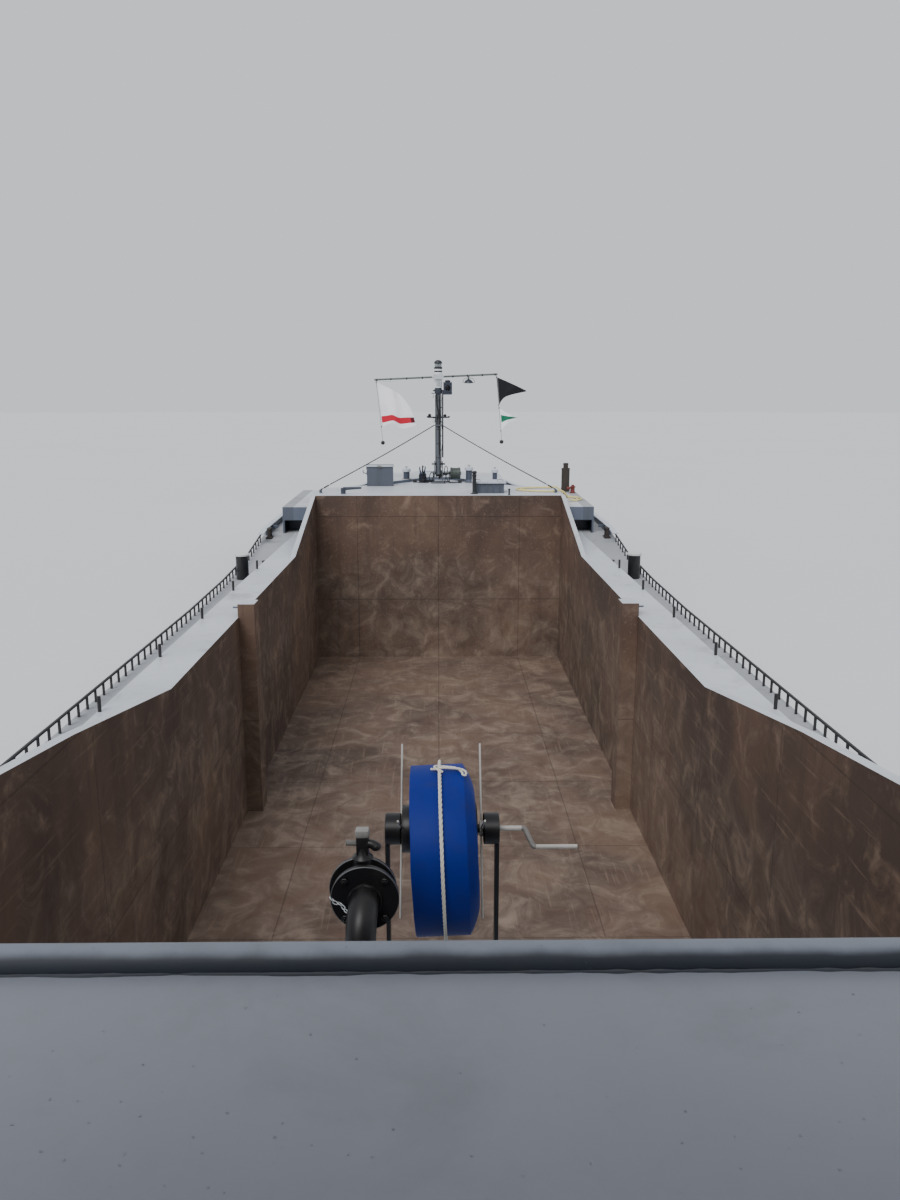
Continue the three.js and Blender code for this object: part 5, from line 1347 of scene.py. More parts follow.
def addHatchGear():
    rim = bmesh.new()
    addFrame(rim, (0.663, 13.972, 3.7955), (1.307, 14.516, 3.7955), 0.010, 0.03, "Z", 0.018)
    finished("hatch_lid_rim", rim, deckPaleCoat, "hatch_lid")
    grip = bmesh.new()
    for x in (0.76, 1.2):
        handle = ((-0.05, 3.811), (-0.045, 3.842), (0.045, 3.842), (0.05, 3.811))
        addTube(grip, curved([(x + shift, 14.1, z) for shift, z in handle], 5), 0.006, 8)
    addBox(grip, (1.309, 14.2, 3.782), (1.345, 14.24, 3.806), 0.004)
    addTube(grip, [(1.33, 14.22, 3.79), (1.352, 14.22, 3.776)], 0.009, 10)
    finished("hatch_grips", grip, steelDull, "hatch_lid")
    ribs = bmesh.new()
    for x in (0.8, 0.93, 1.06, 1.19):
        addBox(ribs, (x - 0.006, 13.985, 3.6), (x + 0.006, 13.9995, 3.78), 0.002)
    addFrame(ribs, (0.697, 13.997, 3.5945), (1.273, 14.503, 3.5945), 0.008, 0.008, "Z", 0.01)
    for x in (0.78, 1.19):
        addBox(ribs, (x - 0.03, 14.5005, 3.74), (x + 0.03, 14.526, 3.796), 0.003)
    finished("hatch_ribs", ribs, deckBlueCoat, "hull")


# Pin and post beside the hatch, at the trunk's front edge
def addFrontPosts():
    pin = bmesh.new()
    addTurned(pin, [(0, 0), (0.026, 0), (0.026, 0.01), (0.016, 0.014), (0.014, 0.085), (0.022, 0.09),
                    (0.022, 0.11), (0.014, 0.118), (0, 0.12)], (1.345, 13.66, 3.5905), sides=18)
    finished("coaming_pin", pin, plasticBlack, "hull")
    knob = bmesh.new()
    x, y = 0.69, 13.9
    addTurned(knob, [(0.0385, 0.0), (0.043, 0.004), (0.043, 0.035), (0.0385, 0.04)], (x, y, 3.92), sides=26)
    addTurned(knob, [(0, 0.0), (0.03, 0.0), (0.03, 0.012), (0.046, 0.02), (0.05, 0.04), (0.044, 0.058),
                     (0.02, 0.068), (0, 0.07)], (x, y, 3.9602), sides=26)
    addTurned(knob, [(0.0385, 0), (0.075, 0), (0.075, 0.01), (0.05, 0.014), (0.0385, 0.03)],
              (x, y, 3.5903), sides=28)
    finished("post_knob", knob, plasticBlack, "hull")


# Bands of the tall mooring post, and the red hydrant by it
def addPostGear():
    x, y = 2.74, 16.1
    level = wingLevel(y)
    bands = bmesh.new()
    for z in (0.05, 0.47):
        addTurned(bands, [(0.086, z), (0.0925, z + 0.002), (0.0925, z + 0.03), (0.086, z + 0.032)],
                  (x, y, level), sides=28)
    addTurned(bands, [(0, 0.569), (0.05, 0.5705), (0.058, 0.573), (0.058, 0.6), (0.05, 0.608), (0.02, 0.612),
                      (0, 0.612)], (x, y, level), sides=28)
    finished("post_bands", bands, railRust, "hull")
    base = bmesh.new()
    x, y = 2.86, 15.8
    level = wingLevel(y)
    addTurned(base, [(0, 0), (0.07, 0), (0.07, 0.012), (0.05, 0.016), (0.044, 0.05), (0.044, 0.11),
                     (0.06, 0.12), (0.06, 0.14), (0.03, 0.15), (0.03, 0.175), (0, 0.178)],
              (x, y, level + 0.0005), sides=26)
    addTurned(base, [(0, 0), (0.028, 0), (0.034, 0.05), (0.034, 0.075), (0, 0.078)],
              (x - 0.05, y, level + 0.1), (-1, 0, 0), 20)
    finished("hydrant_red", base, redPaint, "hull")


# Anchor winch: motor cover and lever, bolts in the drum end, chain from the drum to its deck pipe
winch = {"y": 16.7, "z": 3.78, "end": 0.486, "chainR": 0.0805, "link": 0.045}


def addWinchGear(along, sockets):
    y, z = winch["y"], winch["z"]
    fixed = bmesh.new()
    for lean, reach in ((-0.5, 0.13), (0.0, 0.16), (0.45, 0.14)):
        tip = Vector((-0.35 + 0.1 * lean, 16.66, 3.80)) + Vector((0.16 * lean, 0, 1)) * reach
        horn = curved([(-0.35 + 0.06 * lean, 16.68, 3.77), tip - Vector((0, 0, 0.06)), tip], 5)
        addTube(fixed, horn, 0.014, 10, sizes=[1.3 - 0.5 * index / 10 for index in range(11)])
    addBox(fixed, (-0.42, 16.62, 3.762), (-0.28, 16.77, 3.80), 0.012)
    for index in range(5):
        rib = 3.62 + index * 0.028
        addBox(fixed, (-0.436, 16.636, rib), (-0.4302, 16.81, rib + 0.012), 0.002)
    finished("winch_motor_cover", fixed, navyPaint, "hull")
    lever = bmesh.new()
    addTube(lever, curved([(-0.3, 16.6, 3.65), (-0.315, 16.58, 3.75), (-0.345, 16.56, 3.86),
                           (-0.34, 16.555, 3.93)], 6), 0.011, 10)
    addBall(lever, (-0.34, 16.554, 3.94), 0.019)
    addBox(lever, (-0.37, 16.57, 3.611), (-0.31, 16.63, 3.66), 0.006)
    finished("winch_lever", lever, rubberBlack, "hull")
    rings = bmesh.new()
    addTurned(rings, [(0, 0), (0.04, 0), (0.04, 0.012), (0.028, 0.018), (0, 0.02)], (winch["end"], y, z),
              (1, 0, 0), 6)
    for spot in circle((winch["end"], y, z), 0.09, 5, "X"):
        addTurned(rings, [(0, 0), (0.012, 0), (0.012, 0.009), (0, 0.009)], spot, (1, 0, 0), 6)
    finished("winch_end_bolts", rings, steelDull, "windlass_drum")
    link = bmesh.new()
    addTube(link, circle((0, 0, 0), 0.03, 18, flat=0.017 / 0.03), 0.0065, 8, closed=True)
    shape = hiddenShape("chainLink", link)
    turns = [math.radians(-30 + index * 9) for index in range(25)]
    wrap = [Vector((0.02, y + winch["chainR"] * math.cos(angle), z + winch["chainR"] * math.sin(angle)))
            for angle in turns]
    down = curved([wrap[0], (0.02, 16.81, 3.68), (0.03, 16.93, 3.664), (0.06, 17.3, 3.663),
                   (0.1, 17.75, 3.664), (0.1, 18.0, 3.664)], 8)
    values = {"Shape": shape, "Gap": winch["link"], "Twist": math.pi / 2, "Material": railRust}
    grown("anchor_chain", lineMesh("chainLine", down[::-1] + wrap), along, sockets, values, "hull")
    for side, sign in bothSides:
        start, end = Vector((sign * 2.36, 18.13, 3.18)), Vector((sign * 2.53, 18.24, 3.06))
        line = [start.lerp(end, share / 6) for share in range(7)]
        grown(f"anchor_links_{side}", lineMesh(f"anchorLine_{side}", line), along, sockets, values, "hull")
    bpy.data.objects.remove(shape)
    mouth = bmesh.new()
    addTurned(mouth, [(0.07, 0.0), (0.115, 0.0), (0.12, 0.01), (0.11, 0.03), (0.08, 0.036), (0.07, 0.03),
                      (0.07, 0.0)], (0.1, 18.06, 3.6505), sides=30)
    finished("chain_pipe", mouth, navyPaint, "hull")


# Side decks: fairleads by the bulwarks' ends, pins, and the bright caps of the bollards at x, y, z
bollards = [(3.1, 10.45, 2.5716), (3.03, -3.2, 2.5145), (2.5, -16.4, 2.617)]


def addDeckFittings():
    caps = bmesh.new()
    for x, y, level in bollards:
        for sign in (-1, 1):
            addTurned(caps, [(0.1, 0.3705), (0.1135, 0.3705), (0.1145, 0.376), (0.1145, 0.398),
                             (0.108, 0.404), (0.05, 0.409), (0, 0.41)], (sign * x, y, level), sides=36)
    finished("bollard_caps", caps, capWhite, "hull")
    fittings = bmesh.new()
    for sign in (-1, 1):
        addTurned(fittings, [(0, 0), (0.06, 0), (0.06, 0.01), (0.03, 0.018), (0.028, 0.11), (0.04, 0.12),
                             (0.02, 0.132), (0, 0.134)], (sign * 2.9, 11.2, 2.609), sides=20)
        addBox(fittings, (sign * 3.15 - 0.06, 13.1, 2.83), (sign * 3.15 + 0.06, 13.34, 2.86), 0.008)
        for y in (13.16, 13.28):
            addTurned(fittings, [(0, 0), (0.045, 0), (0.045, 0.012), (0.034, 0.02), (0.034, 0.13),
                                 (0.048, 0.145), (0.044, 0.165), (0.02, 0.172), (0, 0.172)],
                      (sign * 3.15, y, 2.858), sides=20)
    finished("fairlead_rollers", fittings, railRust, "hull")


# Light rails along the top of both bow bulwarks, and the ribs inside them
bulwark = {"heights": [(12.75, 2.96), (13.38, 3.01), (15.2, 3.05), (16.5, 3.2), (18.6, 3.35), (19.35, 3.68)],
           "aftRail": [(3.23, 12.78, 2.968), (3.23, 13.38, 3.018), (3.23, 14.4, 3.04), (3.225, 15.2, 3.058)],
           "half": 3.2, "railHalf": 3.23, "straight": 14.4, "end": 19.28, "length": 4.9, "power": 2.3}


def addBulwarkRails():
    straight, power = bulwark["straight"], bulwark["power"]
    for side, sign in bothSides:
        points = list(bulwark["aftRail"])
        for index in range(5, 29):
            angle = index / 28 * math.pi / 2
            y = straight + (bulwark["end"] - straight) * math.sin(angle) ** (2 / power)
            if y > 15.4:
                x = max(0.02, bulwark["railHalf"] * math.cos(angle) ** (2 / power))
                points.append((x, y, bulwarkTop(y) + 0.008))
        line = [Vector((sign * x, y, z)) for x, y, z in points]
        build = bmesh.new()
        section = [(-0.05, -0.008), (0.05, -0.008), (0.052, 0.0), (0.05, 0.012), (-0.05, 0.012),
                   (-0.052, 0.0)]
        addSweep(build, evenly(curved(line, 5), 0.14), section)
        finished(f"bulwark_rail_{side}", build, deckPaleCoat, "hull")
        ribs = bmesh.new()
        for y in (13.75, 14.75, 15.75, 16.75):
            ahead = max(0.0, (y - straight) / bulwark["length"])
            x = bulwark["half"] * (1 - ahead ** power) ** (1 / power)
            ends = sorted((sign * x, sign * (x - 0.12)))
            addBox(ribs, (ends[0], y - 0.006, 2.96 + (y - 13.75) * 0.04),
                   (ends[1], y + 0.006, bulwarkTop(y) - 0.01), 0.002)
        finished(f"bulwark_ribs_{side}", ribs, deckBlueCoat, "hull")


def bulwarkTop(y):
    heights = bulwark["heights"]
    for (y0, z0), (y1, z1) in zip(heights, heights[1:]):
        if y <= y1:
            return z0 + (z1 - z0) * (y - y0) / (y1 - y0)
    return heights[-1][1]


# Lay-flat hose wound on the reel: a spiral band whose inner turns lie a little to starboard
roll = {"middle": (0.005, -1.47, 3.922), "inner": 0.1515, "outer": 0.258, "turns": 17.0, "width": 0.164,
        "thick": 0.0054, "shift": 0.034, "port": -0.004, "tilt": 2.4}
tieKnot = [(-0.03, -0.006, -0.005), (-0.016, -0.016, -0.001), (0, -0.019, 0.004), (0.03, -0.014, 0.001),
           (0.058, -0.018, 0), (0.074, -0.028, -0.004), (0.075, -0.042, -0.009), (0.067, -0.044, -0.0095),
           (0.062, -0.026, -0.005), (0.046, -0.003, -0.003), (0.018, 0.004, -0.002), (-0.01, 0.003, 0.001),
           (-0.02, -0.008, 0.0035), (-0.009, -0.026, 0.001), (0.006, -0.032, -0.004)]


def rollGroup():
    group, sockets, start, end = newGroup("woundHose", [
        ("Turns", "NodeSocketFloat"), ("Inner", "NodeSocketFloat"), ("Outer", "NodeSocketFloat"),
        ("Width", "NodeSocketFloat"), ("Thickness", "NodeSocketFloat"), ("Shift", "NodeSocketFloat"),
        ("Material", "NodeSocketMaterial")])
    spiral = nodeWith(group, "GeometryNodeCurveSpiral", {
        "Resolution": 72, "Height": 0.0, "Rotations": start.outputs["Turns"],
        "Start Radius": start.outputs["Inner"], "End Radius": start.outputs["Outer"]})
    spot = nodeWith(group, "GeometryNodeInputPosition").outputs[0]
    away = nodeWith(group, "ShaderNodeVectorMath", {0: spot}, operation="LENGTH")
    share = nodeWith(group, "ShaderNodeMapRange", {
        "Value": away.outputs["Value"], "From Min": start.outputs["Inner"],
        "From Max": start.outputs["Outer"]})
    inner = mathNode(group, "SUBTRACT", 1.0, mathNode(group, "POWER", share.outputs["Result"], 2.0))
    shifted = mathNode(group, "MULTIPLY", inner, start.outputs["Shift"])
    wander = nodeWith(group, "ShaderNodeTexNoise", {"Vector": spot, "Scale": 9.0})
    wavy = mathNode(group, "MULTIPLY", mathNode(group, "SUBTRACT", wander.outputs["Fac"], 0.5), 0.006)
    offset = nodeWith(group, "ShaderNodeCombineXYZ", {"Z": mathNode(group, "ADD", shifted, wavy)})
    laid = nodeWith(group, "GeometryNodeSetPosition", {
        "Geometry": spiral.outputs[0], "Offset": offset.outputs[0]})
    upright = nodeWith(group, "GeometryNodeSetCurveNormal", {"Curve": laid.outputs[0]}, mode="Z_UP")
    profile = nodeWith(group, "GeometryNodeCurvePrimitiveQuadrilateral", {
        "Width": start.outputs["Thickness"], "Height": start.outputs["Width"]})
    rounded = nodeWith(group, "GeometryNodeFilletCurve", {
        "Curve": profile.outputs[0], "Radius": 0.0025, "Count": 2}, mode="POLY")
    band = nodeWith(group, "GeometryNodeCurveToMesh", {
        "Curve": upright.outputs[0], "Profile Curve": rounded.outputs[0], "Fill Caps": True})
    turned = nodeWith(group, "GeometryNodeTransform", {
        "Geometry": band.outputs[0], "Rotation": (0, math.pi / 2, 0)})
    smooth = nodeWith(group, "GeometryNodeSetShadeSmooth", {"Geometry": turned.outputs[0]})
    closeGroup(group, start, end, smooth.outputs[0])
    return group, sockets


def addHoseRoll():
    group, sockets = rollGroup()
    piece = grown("hose_roll", bpy.data.meshes.new("rollStart"), group, sockets, {
        "Turns": roll["turns"], "Inner": roll["inner"], "Outer": roll["outer"], "Width": roll["width"],
        "Thickness": roll["thick"], "Shift": roll["shift"], "Material": hoseBlueCoat}, None)
    tilt = Matrix.Rotation(math.radians(-roll["tilt"]), 4, "Y")
    piece.data.transform(Matrix.Translation(Vector(roll["middle"]) + Vector((roll["port"], 0, 0))) @ tilt)
    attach(piece, "hose_reel")
    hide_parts("reel_hose")
    x, y, z = roll["middle"]
    tie = bmesh.new()
    ring = []
    for index in range(73):
        angle = 2 * math.pi * index / 72
        reach = roll["outer"] + roll["thick"] / 2 + 0.0072 + 0.0008 * math.sin(angle * 5)
        ring.append(Vector((x + 0.006 - 0.01 * math.sin(angle), y + reach * math.cos(angle),
                            z + reach * math.sin(angle))))
    addRope(tie, ring, 0.0055, 3, closed=True, lay=9.0)
    finished("hose_tie", tie, ropeWhite, "hose_reel")
    knot = bmesh.new()
    middle = Vector((x, y, z + roll["outer"] + 0.012))
    addRope(knot, curved([middle + Vector(spot) for spot in tieKnot], 8), 0.0037, 3, lay=9.0)
    finished("hose_tie_knot", knot, ropeWhite, "hose_reel")
    print("hose wound:", len(piece.data.polygons), "faces")


# Reel: two thin rods crossed on each side, a black core on its axle, and the galvanised crank
reel = {"axle": (-1.47, 3.99), "guides": (-0.117, 0.129), "reach": 0.262, "wire": 0.0032, "turn": 30}


def addReelDrum():
    y, z = reel["axle"]
    core = bmesh.new()
    addTurned(core, [(0, -0.172), (0.0135, -0.172), (0.0135, -0.1185), (0.07, -0.1185), (0.072, -0.1155),
                     (0.072, -0.094), (0.08, -0.09), (0.08, 0.108), (0.064, 0.111), (0.0135, 0.112),
                     (0.0135, 0.18), (0, 0.18)], (0.005, y, z), (1, 0, 0), 40)
    piece = finished("reel_core", core, reelBlack, "hose_reel")
    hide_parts("reel_drum")
    wires = bmesh.new()
    for x in reel["guides"]:
        middle = Vector((x, y, z))
        for quarter in (0, 90):
            angle = math.radians(quarter + reel["turn"])
            out = Vector((0, math.sin(angle), math.cos(angle))) * reel["reach"]
            addTube(wires, [middle - out, middle + out], reel["wire"], 10)
        addTurned(wires, [(0.0137, -0.005), (0.024, -0.005), (0.024, 0.005), (0.0137, 0.005),
                          (0.0137, -0.005)], middle, (1, 0, 0), 28)
    finished("reel_guides", wires, galvanised, "hose_reel")
    crank = bmesh.new()
    addTube(crank, [(0.184, y, z), (0.262, y, z)], 0.0078, 16)
    addTube(crank, [(0.287, y - 0.06, z - 0.032), (0.418, y - 0.06, z - 0.032)], 0.0066, 16)
    finished("reel_crank", crank, galvanised, "hose_reel")
    arm = bmesh.new()
    addTube(arm, curved([(0.255, y, z), (0.263, y - 0.004, z - 0.001), (0.27, y - 0.022, z - 0.01),
                         (0.279, y - 0.044, z - 0.024), (0.285, y - 0.057, z - 0.031),
                         (0.293, y - 0.06, z - 0.032)], 6), 0.0082, 12)
    finished("crank_arm", arm, armSteel, "hose_reel")


# Caps on the reel's bearings, and the bolts of its stand
def addReelGear(stamp, sockets, bolt):
    blocks = bmesh.new()
    for x in (-0.142, 0.16):
        addTurned(blocks, [(0.0455, -0.024), (0.048, -0.022), (0.048, 0.022), (0.0455, 0.024),
                           (0.0455, -0.024)], (x, *reel["axle"]), (1, 0, 0), 36)
    finished("reel_bearing_caps", blocks, reelBlack, "hull")
    spots = [(x, y, 3.3604, 0, 0, 1) for x in (-0.16, 0.178) for y in (-1.66, -1.6, -1.34, -1.28)]
    grown("reel_bolts", pointMesh("reelBoltSpots", spots), stamp, sockets,
          {"Shape": bolt, "Spread": 0.0, "Seed": 3, "Material": steelDull}, "hull")


# Deck pipe: bend, two flanges with bolts and lighter grey rims, welds, valve and small chain
pipe = {"flange": (-0.195, -1.9, 4.006), "flangeR": 0.089, "bend": 0.11, "deck": 3.3203,
        "valve": (-0.008, 0.028, 0.005)}


def addPipeGear(stamp, stampSockets, bolt, along, alongSockets):
    x, y, z = pipe["flange"]
    riser, deck, wide = y - pipe["bend"], pipe["deck"], pipe["flangeR"]
    mate = Vector(pipe["flange"]) + Vector(pipe["valve"])
    body = bmesh.new()
    bend = curved([(x - 0.006, riser, deck), (x - 0.006, riser, 3.6), (x - 0.006, riser, z - 0.15),
                   (x - 0.006, riser + 0.006, z - 0.09), (x - 0.005, riser + 0.03, z - 0.04),
                   (x - 0.002, riser + 0.066, z - 0.01), (x, y - 0.008, z)], 10)
    addTube(body, bend, 0.0395, 40)
    addTurned(body, [(0, 0), (wide, 0), (wide, 0.0145), (wide - 0.0015, 0.016), (0, 0.016)],
              (x, riser, deck), sides=48)
    addTurned(body, [(0, -0.016), (wide - 0.0015, -0.016), (wide, -0.0145), (wide, 0), (0, 0)],
              (x, y, z), (0, 1, 0), 60)
    addTurned(body, [(0, 0), (0.045, 0), (0.045, 0.03), (0, 0.03)], (mate.x, y - 0.001, mate.z),
              (0, 1, 0), 36)
    addTurned(body, [(0, 0), (wide, 0), (wide, 0.0125), (wide - 0.0015, 0.014), (0, 0.014)],
              mate, (0, 1, 0), 60)
    addBox(body, (x - 0.024, y + 0.024, z + 0.06), (x + 0.008, y + 0.052, z + 0.152), 0.004)
    piece = finished("bent_pipe", body, reelBlack, "hull", sharp=35)
    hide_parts("deck_pipe")
    spots = []
    for index in range(4):
        angle = math.radians(45 + 90 * index)
        spots.append((x + 0.074 * math.cos(angle), y - 0.0161, z + 0.074 * math.sin(angle), 0, -1, 0))
    for index in range(8):
        angle = math.radians(22.5 + 45 * index)
        spots.append((x + 0.071 * math.cos(angle), riser + 0.071 * math.sin(angle), 3.3364, 0, 0, 1))
    grown("pipe_bolts", pointMesh("pipeBoltSpots", spots), stamp, stampSockets,
          {"Shape": bolt, "Spread": 0.06, "Seed": 5, "Material": reelBlack}, "hull")
    rim = bmesh.new()
    for at, low, high in (((x, y, z), -0.0168, -0.0125), (mate, -0.001, 0.003)):
        addTurned(rim, [(0.0885, low), (0.09, low + 0.001), (0.0902, high - 0.001), (0.0888, high),
                        (0.0885, low)], at, (0, 1, 0), 60)
    finished("flange_rims", rim, rimGrey, "hull")
    welds = bmesh.new()
    turns = [2 * math.pi * index / 40 for index in range(40)]
    loop = [(x + 0.042 * math.cos(turn), y - 0.018 - 0.002 * math.sin(7 * turn),
             z - 0.004 + 0.042 * math.sin(turn)) for turn in turns]
    addTube(welds, loop, 0.005, 8, closed=True)
    loop = [(x + 0.0415 * math.cos(turn), riser + 0.0415 * math.sin(turn), 3.34 + 0.001 * math.sin(9 * turn))
            for turn in turns]
    addTube(welds, loop, 0.005, 8, closed=True)
    finished("pipe_welds", welds, reelBlack, "hull")
    addValve(Vector((mate.x, y + 0.038, z + 0.145)))
    link = bmesh.new()
    addTube(link, circle((0, 0, 0), 0.0072, 14, flat=0.0042 / 0.0072), 0.0015, 6, closed=True)
    shape = hiddenShape("smallLink", link)
    line = curved([(x - 0.086, y - 0.019, z + 0.002), (x - 0.076, y - 0.0215, z - 0.008),
                   (x - 0.066, y - 0.0215, z - 0.0095), (x - 0.055, y - 0.026, z - 0.019),
                   (x - 0.048, y - 0.034, z - 0.024)], 6)
    grown("valve_chain", lineMesh("chainSpots", line), along, alongSockets,
          {"Shape": shape, "Gap": 0.0105, "Twist": math.pi / 2, "Material": steelBright}, "hull")
    bpy.data.objects.remove(shape)


# Handle, lever and cap of the valve behind the flange
def addValve(middle):
    valve = bmesh.new()
    addTurned(valve, [(0, 0), (0.024, 0), (0.028, 0.006), (0.028, 0.03), (0.018, 0.04), (0.014, 0.062),
                      (0, 0.062)], middle - Vector((0, 0, 0.083)), sides=24)
    lobe = curved([middle - Vector((0, 0, 0.012)), middle + Vector((0.022, -0.004, -0.014)),
                   middle + Vector((0.036, -0.006, -0.021))], 6)
    addTube(valve, lobe, 0.0125, 12, sizes=[0.8 + 0.25 * index / 12 for index in range(13)])
    addBall(valve, lobe[-1], 0.0135, 0.9)
    finished("valve_handle", valve, reelBlack, "hull")
    lever = bmesh.new()
    addTube(lever, curved([middle - Vector((0, 0, 0.014)), middle + Vector((-0.02, -0.004, -0.012)),
                           middle + Vector((-0.043, -0.008, -0.009))], 6), 0.0078, 10)
    finished("valve_lever", lever, armSteel, "hull")
    cap = bmesh.new()
    addBox(cap, middle + Vector((-0.018, -0.016, 0.0055)), middle + Vector((0.018, 0.016, 0.027)), 0.005)
    finished("valve_cap", cap, steelDull, "hull")


# Casing roof: round tube along its edge, rain beads, screws, and the uneven weld under the tube, painted dark
# for the weld and the shadow in the joint under the tube
roof = {"x": 2.19, "front": -2.46, "aft": -4.19, "z": 4.12, "tubeY": -2.3747, "tubeZ": 4.122, "tubeR": 0.04,
        "tubeHalf": 2.2}


def addCasingDetails(beads, beadSockets, stamp, stampSockets):
    tube = bmesh.new()
    reach, radius = roof["tubeHalf"], roof["tubeR"]
    addTurned(tube, [(0, -reach), (radius - 0.003, -reach), (radius, 0.003 - reach), (radius, reach - 0.003),
                     (radius - 0.003, reach), (0, reach)], (0, roof["tubeY"], roof["tubeZ"]), (1, 0, 0), 96)
    piece = finished("edge_tube", tube, ownFinish("casing_tube"), "hull")
    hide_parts("casing_tube")
    addRoofBeads(beads, beadSockets)
    addTubeBeads(beads, beadSockets)
    screw = bmesh.new()
    addTurned(screw, [(0, 0.0006), (0.0026, 0.0006), (0.0026, 0.0022), (0.0062, 0.0026), (0.0078, 0.0012),
                      (0.0078, 0), (0, 0)], (0, 0, 0), sides=20)
    shape = hiddenShape("roofScrew", screw)
    places = [(-0.372, -3.327), (0.143, -3.318)]
    places += [(x, -3.33) for x in (-2.0, -1.45, 0.72, 1.3, 1.88)]
    places += [(x, -4.1) for x in (-2.0, -1.2, -0.4, 0.4, 1.2, 2.0)]
    spots = [(x, y, roof["z"] + 0.0001, 0, 0, 1) for x, y in places]
    grown("roof_screws", pointMesh("roofScrewSpots", spots), stamp, stampSockets,
          {"Shape": shape, "Spread": 0.05, "Seed": 2, "Material": screwDark}, "hull")
    bpy.data.objects.remove(shape)
    # the bead is painted dark: partly the weld, partly a painted shadow along the foot of the tube
    weld = bmesh.new()
    line, sizes = [], []
    for index in range(361):
        x = -2.195 + 4.39 * index / 360
        rough = noise.noise(Vector((x * 9.0, 0.3, 1.0)))
        line.append((x, -2.4162 - 0.0035 * rough, 4.1205))
        sizes.append(1.0 + 0.7 * noise.noise(Vector((x * 23.0, 5.0, 2.0))) + 0.5 * rough)
    addTube(weld, line, 0.0042, 8, sizes=sizes)
    finished("tube_weld", weld, weldAndShadowDark, "hull")


def addRoofBeads(beads, sockets):
    build = bmesh.new()
    wet = build.verts.layers.float.new("wet")
    columns, rows = 40, 26
    grid = []
    for row in range(rows + 1):
        y = roof["front"] + (roof["aft"] - roof["front"]) * row / rows
        line = []
        for column in range(columns + 1):
            x = -roof["x"] + 2 * roof["x"] * column / columns
            vert = build.verts.new((x, y, roof["z"] + 0.0004))
            patch = noise.noise(Vector((x * 1.6, y * 1.6, 3.0))) * 0.5 + 0.5
            vert[wet] = 0.15 + 1.1 * smoothed(-y, 2.5, 3.4) * patch + 0.35 * patch
            line.append(vert)
        grid.append(line)
    for before, after in zip(grid, grid[1:]):
        for column in range(columns):
            build.faces.new((before[column], after[column], after[column + 1], before[column + 1]))
    bmesh.ops.recalc_face_normals(build, faces=build.faces)
    for face in build.faces:
        if face.normal.z < 0:
            face.normal_flip()
    mesh = bpy.data.meshes.new("beadField")
    build.to_mesh(mesh)
    build.free()
    piece = grown("rain_beads", mesh, beads, sockets, {
        "Density": 260.0, "Smallest": 0.0009, "Largest": 0.0026, "Seed": 11, "Material": waterBead}, "hull")
    print("rain beads:", len(piece.data.polygons), "faces")


def addTubeBeads(beads, sockets):
    build = bmesh.new()
    wet = build.verts.layers.float.new("wet")
    rings = []
    for index in range(9):
        angle = math.radians(20 + 20 * index)
        y = roof["tubeY"] - roof["tubeR"] * math.cos(angle)
        z = roof["tubeZ"] + roof["tubeR"] * math.sin(angle)
        rings.append([build.verts.new((x, y, z)) for x in (-2.19, -1.1, 0.0, 1.1, 2.19)])
    for vert in build.verts:
        vert[wet] = 1.0
    for before, after in zip(rings, rings[1:]):
        for column in range(4):
            build.faces.new((before[column], before[column + 1], after[column + 1], after[column]))
    for face in build.faces:
        middle = face.calc_center_median()
        face.normal_update()
        if face.normal.dot(middle - Vector((middle.x, roof["tubeY"], roof["tubeZ"]))) < 0:
            face.normal_flip()
    mesh = bpy.data.meshes.new("tubeField")
    build.to_mesh(mesh)
    build.free()
    grown("tube_beads", mesh, beads, sockets, {
        "Density": 260.0, "Smallest": 0.0008, "Largest": 0.0019, "Seed": 17, "Material": waterBead}, "hull")


# Wheelhouse and deckhouse: lowest and highest corner of each window, and the axis it looks along
windows = {
    "front": [((-1.36, -4.2, 4.68), (1.36, -4.2, 5.6), "Y", 1)],
    "rear": [((-1.2, -6.9, 4.68), (1.2, -6.9, 5.6), "Y", -1)],
    "side": [((1.5, -4.95, 4.68), (1.5, -4.35, 5.6), "X", 1)],
    "house": [((2.45, y, 3.12), (2.45, y + 0.9, 3.62), "X", 1) for y in (-13.6, -11.9, -10.2, -8.5)],
}


def mirroredCorners(low, high):
    return (-high[0], low[1], low[2]), (-low[0], high[1], high[2])


